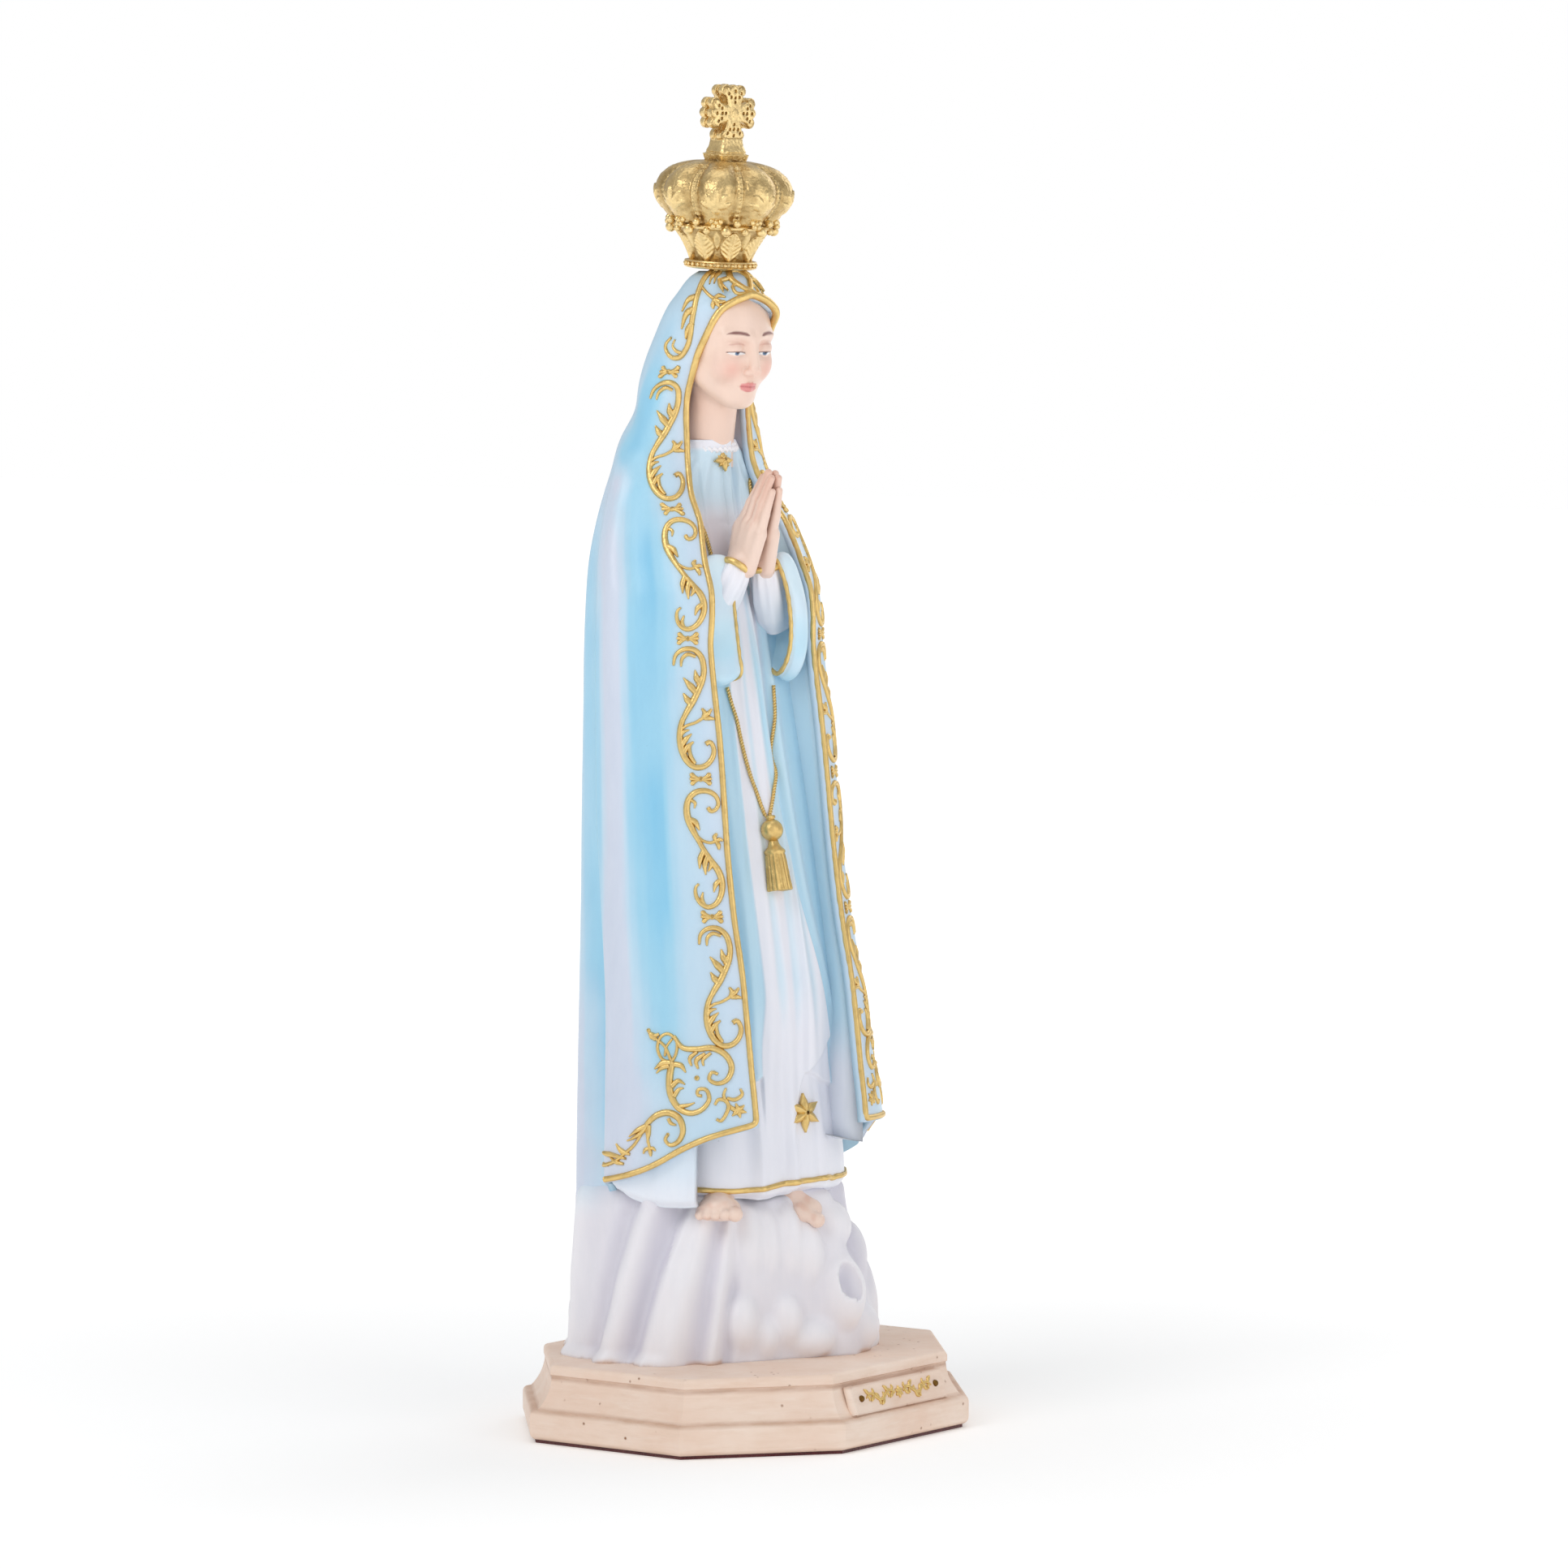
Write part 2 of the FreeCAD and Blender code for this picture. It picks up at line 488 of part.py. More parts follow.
arms = {}
for side, word in ((-1, "Right"),):
    bell = ellipsoid(word + "Bell", "sleeve_wide", "sleeve_deep", "sleeve_drop", "%d * sleeve_side" % side, "-sleeve_front", "sleeve_mid")
    fore = cone(word + "Forearm", "forearm_radius * 1.15", "forearm_radius * 0.72", (side * 22.0, -4.0, 268.0), (side * 6.3, -15.5, 289.0))
    arms[word] = fuse(word + "Sleeve", [bell, fore])
palms = {}
for side, word in ((-1, "Right"),):
    palm = ellipsoid(word + "Palm", "palm_thick", "palm_deep", "palm_long", "%d * (palm_thick + 0.02)" % side, "-palm_front", "palm_mid", (1, 0, 0), "palm_lean")
    thumb = rod(word + "Thumb", "palm_thick * 0.42", (side * 2.6, -14.6, 298.0), (side * 2.2, -16.2, 313.0))
    wrist = rod(word + "Wrist", "palm_thick * 1.0", (side * 6.3, -15.2, 287.0), (side * 4.2, -17.8, 297.0))
    half = box(word + "HandSide", "0.02" if side > 0 else "-30", "30" if side > 0 else "-0.02", "-60", "40", "270", "340")
    palms[word] = common(word + "HandBlank", [fuse(word + "HandParts", [palm, thumb, wrist]), half])
cuffs = {}
for side, word in ((-1, "Right"),):
    ring = doc.addObject("Part::Torus", word + "CuffRing")
    bind(ring, Radius1="cuff_radius", Radius2="cuff_thick")
    at(ring, "%d * cuff_span / 2" % side, "-cuff_front", "cuff_mid", (1, 0, 0), "palm_lean")
    cuffs[word] = ring
body_tools = [gown_clear, mantle_open]
sleeves_clear = {w: clear_of(w + "SleeveClear", arms[w], body_tools) for w in ("Right",)}
sleeve_right = cut("RightSleeveTrim", sleeves_clear["Right"], box("LeftSide", "-0.02", "60", "-60", "60", "230", "340"))
arm_tools = {"Right": [sleeve_right] + body_tools}
hands = {w: clear_of(w + "Hand", palms[w], arm_tools[w]) for w in ("Right",)}
hand_tools = {w: arm_tools[w] + [hands[w]] for w in ("Right",)}
cuff_done = {}
for side, word in ((-1, "Right"),):
    own = box(word + "CuffSide", "0.02" if side > 0 else "-30", "30" if side > 0 else "-0.02", "-60", "40", "270", "340")
    cuff_done[word] = clear_of(word + "Cuff", common(word + "CuffHalf", [cuffs[word], own]), hand_tools[word])

# the left arm is the right one mirrored
sleeve_left = mirrored("LeftSleeve", sleeve_right)
hands["Left"] = mirrored("LeftHand", hands["Right"])
cuff_done["Left"] = mirrored("LeftCuff", cuff_done["Right"])
# gold edge round each sleeve's mouth
piping = []
for side, word in ((-1, "Right"), (1, "Left")):
    route = [(side * 11.5, -21.5, 288), (side * 12.0, -23.6, 267), (side * 11.5, -16.5, 252.5), (side * 10.5, -5.5, 262), (side * 10.0, -4.5, 275)]
    for k in range(len(route) - 1):
        piping.append(rod("%sEdge%d" % (word, k), "sleeve_piping", route[k], route[k + 1]))
        if k:
            piping.append(sphere_at("%sEdgeKnuckle%d" % (word, k), "sleeve_piping", *["%.2f" % q for q in route[k]]))
sleeve_gold = fuse("SleeveGold", piping)

# ---------------------------------------------------------------- gown trims
hem_ring_out = loft("GownSkin", "gown", "-gown_hem_proud")
hem_slice = box("GownHemSlice", "-80", "80", "-90", "5", "81.2", "81.2 + gown_hem_high")
gown_gold = clear_of("GownGold", common("GownGoldBlank", [hem_ring_out, hem_slice]), [gown_front, mantle_open, gown_clear])
brooch_body = new_body("BroochBody")
brooch_points = []
for k in range(8):
    ang = math.pi / 2 + k * math.pi / 4
    word = "brooch_radius * 1.35" if k % 2 == 0 else "brooch_radius * 0.62"
    brooch_points.append(("%s * %.6f" % (word, math.cos(ang)), "%s * %.6f" % (word, math.sin(ang))))
padded(brooch_body, outline(brooch_body, "BroochOutline", "XZ_Plane", brooch_points), "BroochPad", "brooch_thick * 2", midplane=True)
at(brooch_body, "0", "0.6", "324.5")
brooch_clear = clear_of("Brooch", brooch_body, [gown_clear, head_clear])
star_body = new_body("StarBody")
star_points = []
for k in range(12):
    ang = math.pi / 2 + k * math.pi / 6
    word = "star_radius" if k % 2 == 0 else "star_inner"
    star_points.append(("%s * %.6f" % (word, math.cos(ang)), "%s * %.6f" % (word, math.sin(ang))))
padded(star_body, outline(star_body, "StarOutline", "XZ_Plane", star_points), "StarPad", "6")
at(star_body, "4.5", "-34.0", "star_mid", (1, 0, 0), "-3")
star_clear = cut("Star", common("StarTrim", [star_body, loft("StarSkin", "gown", "-star_thick")]), gown_clear)

# rope relief: two strands on the breast and two that meet above the pendant
strands = []
routes = [[(-12.0, -1.0, 316), (-10.5, -4.5, 303), (-8.5, -6.5, 294)], [(12.0, -1.0, 316), (10.5, -4.5, 303), (8.5, -6.5, 294)],
          [(-9.5, -14.3, 248), (-7.0, -17.3, 235), (-3.6, -20.8, 220), (-0.6, -23.6, 206)],
          [(9.5, -14.3, 248), (7.0, -17.3, 235), (3.6, -20.8, 220), (0.6, -23.6, 206)]]
for r, route in enumerate(routes):
    for k in range(len(route) - 1):
        strands.append(rod("Strand%d_%d" % (r, k), "cord_radius * 1.9", route[k], route[k + 1]))
ball = sphere_at("BallBlank", "ball_radius", "0", "-25.4", "ball_mid")
ball_clear = cut("Ball", ball, gown_clear)
tassel_body = new_body("TasselBody")
tassel_outline = [("0", "tassel_low"), ("3.6", "tassel_low + 0.6"), ("3.2", "tassel_low + 5"), ("2.9", "tassel_low + 10"), ("3.4", "tassel_low + 11.2"),
                  ("3.0", "tassel_low + 13.8"), ("1.5", "tassel_low + 16.2"), ("1.4", "tassel_low + 19.5"), ("0", "tassel_low + 19.5")]
turned(tassel_body, outline(tassel_body, "TasselOutline", "XZ_Plane", tassel_outline), "TasselTurned")
at(tassel_body, "0", "-27.4", "0")
tassel_clear = clear_of("Tassel", tassel_body, [gown_clear, ball_clear])
cord_clear = clear_of("RopeRelief", fuse("RopeBlank", strands), [gown_clear, ball_clear, tassel_clear, sleeve_right, sleeve_left, hands["Right"], hands["Left"], mantle_open])

# ---------------------------------------------------------------- scrollwork on the mantle's border
band_zone = cut("BandZone", opening_band_out, opening_band_in)
scroll_skin = cut("ScrollSkin", mantle_scroll_skin, mantle_outer)


def half_width(level):
    for (z0, w0), (z1, w1) in zip(OPENING, OPENING[1:]):
        if z0 <= level <= z1:
            return w0 + (w1 - w0) * (level - z0) / (z1 - z0)
    return OPENING[-1][1]


def washer(name, x, z, radius, wall):
    outer = doc.addObject("Part::Cylinder", name + "Outer")
    inner = doc.addObject("Part::Cylinder", name + "Inner")
    for part, r in ((outer, radius), (inner, radius - wall)):
        part.Radius, part.Height = r, 70
        part.Placement = FreeCAD.Placement(V(x, 4, z), FreeCAD.Rotation(V(1, 0, 0), 90))
    return cut(name, outer, inner)


def bar(name, x, z, wide, high, turn):
    part = doc.addObject("Part::Box", name)
    part.Length, part.Width, part.Height = wide, 70, high
    spin = FreeCAD.Rotation(V(0, 1, 0), turn)
    part.Placement = FreeCAD.Placement(V(x, -66, z) - spin.multVec(V(wide / 2, 0, high / 2)), spin)
    return part


scrolls = {}
for side, word in ((-1, "Right"),):
    pieces = []
    for k, mid in enumerate((321.0, 281.0, 238.0, 192.0, 146.0)):
        centre = half_width(mid) + 3.6 + 5.6
        flip = 1 if k % 2 == 0 else -1
        pieces.append(washer("%sScrollHigh%d" % (word, k), side * (centre + 0.8 * flip), mid + 10.5, 4.6, 1.7))
        pieces.append(washer("%sScrollLow%d" % (word, k), side * (centre - 0.8 * flip), mid - 10.5, 4.9, 1.7))
        pieces.append(bar("%sScrollStem%d" % (word, k), side * centre, mid, 1.9, 15.0, 18 * flip * side))
        tie = half_width(mid - 20.5) + 3.6 + 5.6
        pieces.append(bar("%sTie%d" % (word, k), side * tie, mid - 20.5, 6.5, 2.4, 0))
    pieces.append(washer("%sCornerScroll" % word, side * (half_width(113) + 12.5), 113.0, 6.2, 1.9))
    pieces.append(washer("%sHemScroll" % word, side * (half_width(104) + 22.0), 98.0, 4.6, 1.7))
    scrolls[word] = common(word + "Scrolls", [scroll_skin, fuse(word + "ScrollPrisms", pieces)])

scrolls["Left"] = mirrored("LeftScrolls", scrolls["Right"])

# ---------------------------------------------------------------- crown, made about its own axis
pin = crown_cylinder("CrownPin", "pin_radius", "-pin_down", "pin_down + pin_up")
crown_hole = doc.addObject("Part::Cylinder", "CrownHole")
bind(crown_hole, Radius="pin_radius + pin_play", Height="pin_up + pin_end_play + 2")
at(crown_hole, "0", "0", "-2")
band_body = new_body("CrownBandBody")
turned(band_body, outline(band_body, "CrownBandOutline", "XZ_Plane", [
    ("0", "0"), ("band_radius - 0.8", "0"), ("band_radius", "0.9"), ("band_radius - 0.6", "band_high - 0.6"), ("cup_low + 0.4", "band_high"), ("0", "band_high")]), "CrownBandTurned")
cup_body = new_body("CrownCupBody")
turned(cup_body, outline(cup_body, "CrownCupOutline", "XZ_Plane", [
    ("0", "band_high"), ("cup_low", "band_high"), ("cup_rim - 1.2", "cup_high - 3.4"), ("cup_rim", "cup_high - 0.8"), ("cup_rim - 0.8", "cup_high"), ("0", "cup_high")]), "CrownCupTurned")
bulb_body = new_body("CrownBulbBody")
turned(bulb_body, outline(bulb_body, "CrownBulbOutline", "XZ_Plane", [
    ("0", "cup_high"), ("cup_rim - 2.2", "cup_high"), ("bulb_wide - 2.4", "bulb_level - 4"), ("bulb_wide - 1.6", "bulb_level"), ("bulb_wide - 3.2", "bulb_level + 4.6"),
    ("bulb_neck + 5", "bulb_top - 1.4"), ("bulb_neck", "bulb_top"), ("0", "bulb_top")]), "CrownBulbTurned")
swells = []
for k in range(8):
    ang = math.radians(22.5 + 45 * k)
    swells.append(sphere_at("Swell%d" % k, "lobe_radius", "lobe_out * %.5f" % math.cos(ang), "lobe_out * %.5f" % math.sin(ang), "bulb_level"))
bulb_all = fuse("CrownBulbBlank", [bulb_body] + swells)
bulb_trim = bulb_all
foot_body = new_body("CrossFootBody")
turned(foot_body, outline(foot_body, "CrossFootOutline", "XZ_Plane", [
    ("0", "bulb_top"), ("bulb_neck - 0.4", "bulb_top"), ("bulb_neck - 0.7", "bulb_top + 2.6"), ("foot_flare", "bulb_top + 3.0"), ("stem_radius", "foot_top + 0.8"), ("0", "foot_top + 0.8")]), "CrossFootTurned")
cross_body = new_body("CrossBody")
E, W, A = "cross_end", "cross_waist", "cross_arm"
quarter = [(W, W), (A, E), ("%s - 1.3" % A, "0")]
cross_points = [(W, W), (A, E), (A + " - 1.4", "0"), (A, "-" + E), (W, "-" + W), (E, "-" + A), ("0", "-(%s - 1.4)" % A), ("-" + E, "-" + A),
                ("-" + W, "-" + W), ("-" + A, "-" + E), ("-(%s - 1.4)" % A, "0"), ("-" + A, E), ("-" + W, W), ("-" + E, A), ("0", A + " - 1.4"), (E, A)]
padded(cross_body, outline(cross_body, "CrossOutline", "XZ_Plane", cross_points), "CrossPad", "cross_thick", midplane=True)
at(cross_body, "0", "0", "cross_mid")
cross_all = fuse("CrownCrossBlank", [foot_body, cross_body])
beads = []
for k in range(16):
    ang = math.radians(22.5 * k)
    beads.append(sphere_at("Bead%d" % k, "bead_radius * %.2f" % (1.0 if k % 2 == 0 else 0.75), "(bead_ring + 0.4) * %.5f" % math.cos(ang), "(bead_ring + 0.4) * %.5f" % math.sin(ang), "bead_level"))
cup_done = cut("CrownCup", cup_body, crown_hole)
band_done = cut("CrownBand", band_body, crown_hole)
bulb_done = cut("CrownBulb", bulb_trim, crown_hole)
bead_done = doc.addObject("Part::Compound", "CrownBeads")
bead_done.Links = beads

# ---------------------------------------------------------------- nodes: everything above stands in the figure's frame
doc.recompute()


def figure_node(name, obj):
    """A finished piece, turned and moved with the figure onto the plinth."""
    made = doc.addObject("Part::Compound", name + "_placed")
    made.Links = [obj]
    made.Placement = FreeCAD.Placement(V(0, 0, 0), FreeCAD.Rotation(V(0, 0, 1), 10))
    made.setExpression("Placement.Rotation.Angle", "Sizes.figure_turn")
    made.setExpression("Placement.Base.y", "Sizes.axis_back")
    return node(name, made)


def crown_node(name, obj):
    lean = doc.addObject("Part::Compound", name + "_leaning")
    lean.Links = [obj]
    on_crown(lean)
    return figure_node(name, lean)


figure_node("cloud", cloud_feet)
figure_node("gown", gown_clear)
figure_node("right_foot", foot_right)
figure_node("left_foot", foot_left)
figure_node("mantle", mantle)
edge_gold = NODES.pop("mantle_piping")
figure_node("mantle_piping", edge_gold)
figure_node("mantle_scrollwork_right", scrolls["Right"])
figure_node("mantle_scrollwork_left", scrolls["Left"])
figure_node("head", head_clear)
sleeve_right_fitted = cut("RightSleeveFitted", sleeve_right, edge_gold)
figure_node("right_sleeve", sleeve_right_fitted)
figure_node("left_sleeve", mirrored("LeftSleeveFitted", sleeve_right_fitted))
figure_node("right_hand", hands["Right"])
figure_node("left_hand", hands["Left"])
figure_node("right_cuff", cuff_done["Right"])
figure_node("left_cuff", cuff_done["Left"])
figure_node("sleeve_piping", sleeve_gold)
figure_node("gown_hem_piping", gown_gold)
figure_node("collar_brooch", brooch_clear)
figure_node("gown_star", star_clear)
figure_node("rope_relief", cord_clear)
figure_node("pendant_ball", ball_clear)
figure_node("tassel", tassel_clear)
figure_node("crown_pin", pin)
crown_node("crown_band", band_done)
crown_node("crown_cup", cup_done)
crown_node("crown_beads", bead_done)
crown_node("crown_bulb", bulb_done)
crown_node("crown_cross", cross_all)
doc.recompute()

# ---------------------------------------------------------------- checks, then the files
bad = [o.Name for o in doc.Objects if "Invalid" in o.State or "Error" in o.State]
if bad:
    raise RuntimeError("failed objects: %s" % [(n, doc.getObject(n).getStatusString()) for n in bad])
os.makedirs("parts", exist_ok=True)
for name, obj in NODES.items():
    shape = obj.Shape
    if shape.isNull() or not shape.isValid():
        raise RuntimeError("shape of %s is null or not valid" % name)
    if not shape.Solids:
        raise RuntimeError("%s has no solid" % name)
    shape.exportStep("parts/%s.step" % name)
    box_ = shape.BoundBox
    print("%-26s solids %2d  volume %9.1f  x %.1f..%.1f  y %.1f..%.1f  z %.1f..%.1f" % (
        name, len(shape.Solids), shape.Volume, box_.XMin, box_.XMax, box_.YMin, box_.YMax, box_.ZMin, box_.ZMax))
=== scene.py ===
import bpy
import math
import numpy as np
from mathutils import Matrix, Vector

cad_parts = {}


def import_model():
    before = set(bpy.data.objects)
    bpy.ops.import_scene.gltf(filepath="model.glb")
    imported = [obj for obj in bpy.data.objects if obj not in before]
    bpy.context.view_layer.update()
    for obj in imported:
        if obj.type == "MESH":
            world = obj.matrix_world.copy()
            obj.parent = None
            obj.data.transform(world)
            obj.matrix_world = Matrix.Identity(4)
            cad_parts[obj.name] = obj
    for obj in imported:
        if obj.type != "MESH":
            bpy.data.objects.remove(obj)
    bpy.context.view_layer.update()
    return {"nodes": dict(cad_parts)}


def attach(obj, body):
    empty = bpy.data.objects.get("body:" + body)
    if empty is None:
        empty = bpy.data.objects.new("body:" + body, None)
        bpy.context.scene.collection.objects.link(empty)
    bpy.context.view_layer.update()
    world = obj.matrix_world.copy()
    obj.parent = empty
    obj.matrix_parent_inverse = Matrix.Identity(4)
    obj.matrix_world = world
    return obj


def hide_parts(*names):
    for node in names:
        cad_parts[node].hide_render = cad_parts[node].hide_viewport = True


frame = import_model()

# ---------------------------------------------------------------- numbers
# The figure is built in millimetres in its own frame: L towards its left
# hand, F forward, z up.  world() turns that into the row frame in metres.
TURN, BACK = math.radians(15.0), 9.0
CT, ST = math.cos(TURN), math.sin(TURN)


def world(P):
    P = np.asarray(P, float)
    out = np.empty_like(P)
    out[..., 0] = CT * P[..., 0] - ST * P[..., 1]
    out[..., 1] = -ST * P[..., 0] - CT * P[..., 1] + BACK
    out[..., 2] = P[..., 2]
    return out * 0.001


def pchip(xs, ys, x):
    """Smooth, overshoot-free curve through a table."""
    xs, ys = np.asarray(xs, float), np.asarray(ys, float)
    x = np.clip(np.asarray(x, float), xs[0], xs[-1])
    h, d = np.diff(xs), np.diff(ys) / np.diff(xs)
    m = np.empty_like(ys)
    m[0], m[-1] = d[0], d[-1]
    for i in range(1, len(xs) - 1):
        if d[i - 1] * d[i] <= 0:
            m[i] = 0
        else:
            p, q = 2 * h[i] + h[i - 1], h[i] + 2 * h[i - 1]
            m[i] = (p + q) / (p / d[i - 1] + q / d[i])
    k = np.clip(np.searchsorted(xs, x, side="right") - 1, 0, len(xs) - 2)
    t = (x - xs[k]) / h[k]
    return (
        ys[k] * (2 * t**3 - 3 * t**2 + 1)
        + h[k] * m[k] * (t**3 - 2 * t**2 + t)
        + ys[k + 1] * (3 * t**2 - 2 * t**3)
        + h[k] * m[k + 1] * (t**3 - t**2)
    )


def smooth(a, b, x):
    t = np.clip((np.asarray(x, float) - a) / (b - a), 0, 1)
    return t * t * (3 - 2 * t)


def bump(x, c, w):
    return np.exp(-(((x - c) / w) ** 2))


def mix(a, b, t):
    t = np.asarray(t, float)[..., None]
    return np.asarray(a, float) * (1 - t) + np.asarray(b, float) * t


def rgb(h):
    """Linear colour of a six-digit sRGB colour."""
    c = np.array([int(h[i : i + 2], 16) / 255 for i in (0, 2, 4)])
    return np.where(c <= 0.04045, c / 12.92, ((c + 0.055) / 1.055) ** 2.4)


_PERM = np.random.RandomState(7).permutation(4096)
_GRAD = np.random.RandomState(11).normal(size=(4096, 3))
_GRAD /= np.linalg.norm(_GRAD, axis=1)[:, None]


def noise(P, scale=1.0, seed=0):
    """Gradient noise, about -0.6..0.6, at points P / scale."""
    P = np.asarray(P, float) / scale + seed * 17.31
    i = np.floor(P).astype(int)
    f = P - i
    w = f * f * f * (f * (f * 6 - 15) + 10)
    out = 0.0
    for dx in (0, 1):
        for dy in (0, 1):
            for dz in (0, 1):
                h = _PERM[(i[..., 0] + dx) % 4096]
                h = _PERM[(h + i[..., 1] + dy) % 4096]
                h = _PERM[(h + i[..., 2] + dz) % 4096]
                g = _GRAD[h]
                d = (
                    g[..., 0] * (f[..., 0] - dx)
                    + g[..., 1] * (f[..., 1] - dy)
                    + g[..., 2] * (f[..., 2] - dz)
                )
                d = d * np.where(dx, w[..., 0], 1 - w[..., 0])
                d = d * np.where(dy, w[..., 1], 1 - w[..., 1])
                d = d * np.where(dz, w[..., 2], 1 - w[..., 2])
                out = out + d
    return out


def spline(pts, n):
    """Even points along a smooth (centripetal Catmull-Rom) curve."""
    p = np.asarray(pts, float)
    if len(p) == 2:
        return p[0] + (p[1] - p[0]) * np.linspace(0, 1, n)[:, None]
    p = np.vstack([2 * p[0] - p[1], p, 2 * p[-1] - p[-2]])
    fine = []
    for k in range(1, len(p) - 2):
        p0, p1, p2, p3 = p[k - 1 : k + 3]
        t0, t1 = 0.0, np.linalg.norm(p1 - p0) ** 0.5 + 1e-9
        t2 = t1 + np.linalg.norm(p2 - p1) ** 0.5 + 1e-9
        t3 = t2 + np.linalg.norm(p3 - p2) ** 0.5 + 1e-9
        t = np.linspace(t1, t2, 24, endpoint=k == len(p) - 3)[:, None]
        a1 = (t1 - t) / (t1 - t0) * p0 + (t - t0) / (t1 - t0) * p1
        a2 = (t2 - t) / (t2 - t1) * p1 + (t - t1) / (t2 - t1) * p2
        a3 = (t3 - t) / (t3 - t2) * p2 + (t - t2) / (t3 - t2) * p3
        b1 = (t2 - t) / (t2 - t0) * a1 + (t - t0) / (t2 - t0) * a2
        b2 = (t3 - t) / (t3 - t1) * a2 + (t - t1) / (t3 - t1) * a3
        fine.append((t2 - t) / (t2 - t1) * b1 + (t - t1) / (t2 - t1) * b2)
    fine = np.vstack(fine)
    s = np.concatenate([[0], np.cumsum(np.linalg.norm(np.diff(fine, axis=0), axis=1))])
    u = np.linspace(0, s[-1], n)
    return np.stack([np.interp(u, s, fine[:, c]) for c in range(fine.shape[1])], 1)

# ---------------------------------------------------------------- the mantle
# Sections: height, half width, half depth, distance of the centre behind the
# figure's axis.  psi is the angle from straight ahead, to either side.
MANTLE = np.array([
    (66, 55.2, 46, -5.5), (101, 54.8, 46, -5.5), (125, 52.5, 45, -3), (150, 50, 43.8, -0.2),
    (175, 48, 41, 3), (206, 46.5, 38.5, 5.8), (240, 45.5, 34.3, 7.8), (261, 44.5, 31.6, 9.6),
    (280, 43, 29.5, 11), (291, 41, 25.8, 13.4), (303, 37.5, 22, 15.8), (316, 32, 18.6, 18.3),
    (332, 25.5, 18.2, 17.3), (345, 21.6, 17.6, 15.4), (358, 20.4, 19.4, 9.8), (369, 18.6, 18.5, 5.2),
    (376, 16.7, 16.6, 3), (381, 13.9, 13.8, 1.7), (386, 10.2, 10.1, 1.3), (388.0, 7.2, 7.1, 1.3),
])
OPENING = np.array([
    (60, 22.5), (100, 22.9), (150, 24), (193, 23.8), (240, 22.3), (261, 21.2), (290, 19.7), (305, 17.1),
    (316, 14.6), (327, 12.8), (345, 12.3), (358, 14), (369, 12), (375, 9), (378, 5), (380.3, 0), (390, 0),
])
# how far the front edges stand forward of the plain section
FORWARD = np.array([(60, 0), (193, 0), (225, 1.2), (261, 3.2), (275, 5.6), (290, 7.3), (303, 8.0), (314, 4.6), (327, 0), (345, -1.4), (358, 0.4), (369, 0.9), (380, 0.6), (390, 0)])
TOP = 388.0


def section(z):
    return [pchip(MANTLE[:, 0], MANTLE[:, k], z) for k in (1, 2, 3)]


def edge_psi(z):
    a, b, c = section(z)
    return np.degrees(np.arcsin(np.clip(pchip(OPENING[:, 0], OPENING[:, 1], z) / a, 0, 0.99)))


def hem_z(psi, side):
    right = pchip([0, 22, 26, 41.5, 53, 66, 75, 86, 89, 93, 99, 120, 180],
                  [106.6, 106.2, 105.2, 101.4, 96.9, 90.9, 88.0, 85.8, 85.4, 81, 77, 74.5, 74], psi)
    left = pchip([0, 22, 30, 45, 60, 72, 80, 90, 100, 115, 180],
                 [104.5, 103.8, 103.6, 103.2, 102.6, 102, 99, 92, 84, 77, 74], psi)
    return np.where(side < 0, right, left)


def folds(psi, side, z):
    """How far the cloth stands out of the plain section, in mm."""
    low = smooth(330, 285, z)
    deep = smooth(215, 130, z)
    side = np.asarray(side, float)
    k = np.where(side < 0, 0.0, 3.0)
    d = -1.9 * low * bump(psi, 60 + k - 3 * deep, 10.5)
    d = d + 1.2 * low * bump(psi, 80 + k, 8)
    d = d - 0.35 * low * bump(psi, 66 + k + 2 * deep, 2.6) * smooth(300, 230, z)
    # the deep crease behind the front panel
    c = 92.0 + 6.5 * (1 - deep) + k
    d = d - (0.9 * low + 3.4 * deep) * smooth(c - 4.2, c + 1.2, psi) * smooth(c + 17, c + 3, psi)
    d = d + (0.9 * deep) * bump(psi, c - 5.2, 2.6)
    # second and third folds of the side
    d = d + (0.9 * low + 0.9 * deep) * bump(psi, 112 + k, 5.5)
    d = d - (0.8 * low + 0.8 * deep) * smooth(116, 120, psi - k) * smooth(131, 122, psi - k)
    d = d + (0.7 * low + 0.4 * deep) * bump(psi, 133 + k, 5.0)
    # the back: long folds that fan out of the nape
    fan = smooth(345, 250, z) * (0.45 + 0.55 * smooth(260, 110, z))
    for c0, w, h in ((144, 4.5, -2.0), (152, 4.0, 1.6), (160, 4.6, -2.2), (168.5, 4.4, 1.7), (177, 4.2, -1.5)):
        cc = 180 - (180 - c0) * (0.86 + 0.14 * smooth(330, 120, z)) + 1.4 * side * np.sin(z / 60 + c0)
        d = d + fan * h * bump(psi, cc, w)
    # soft roll where the veil meets the shoulders
    fall = 322 + 16 * smooth(60, 130, psi)
    d = d + 0.9 * bump(z, fall - 7, 6) * smooth(48, 70, psi) - 1.1 * bump(z, fall + 4, 7) * smooth(48, 70, psi)
    # raised border strip along the front edge
    e = edge_psi(z)
    d = d * smooth(e + 4, e + 17, psi) * np.where(z > 372, smooth(386, 372, z), 1)
    return d


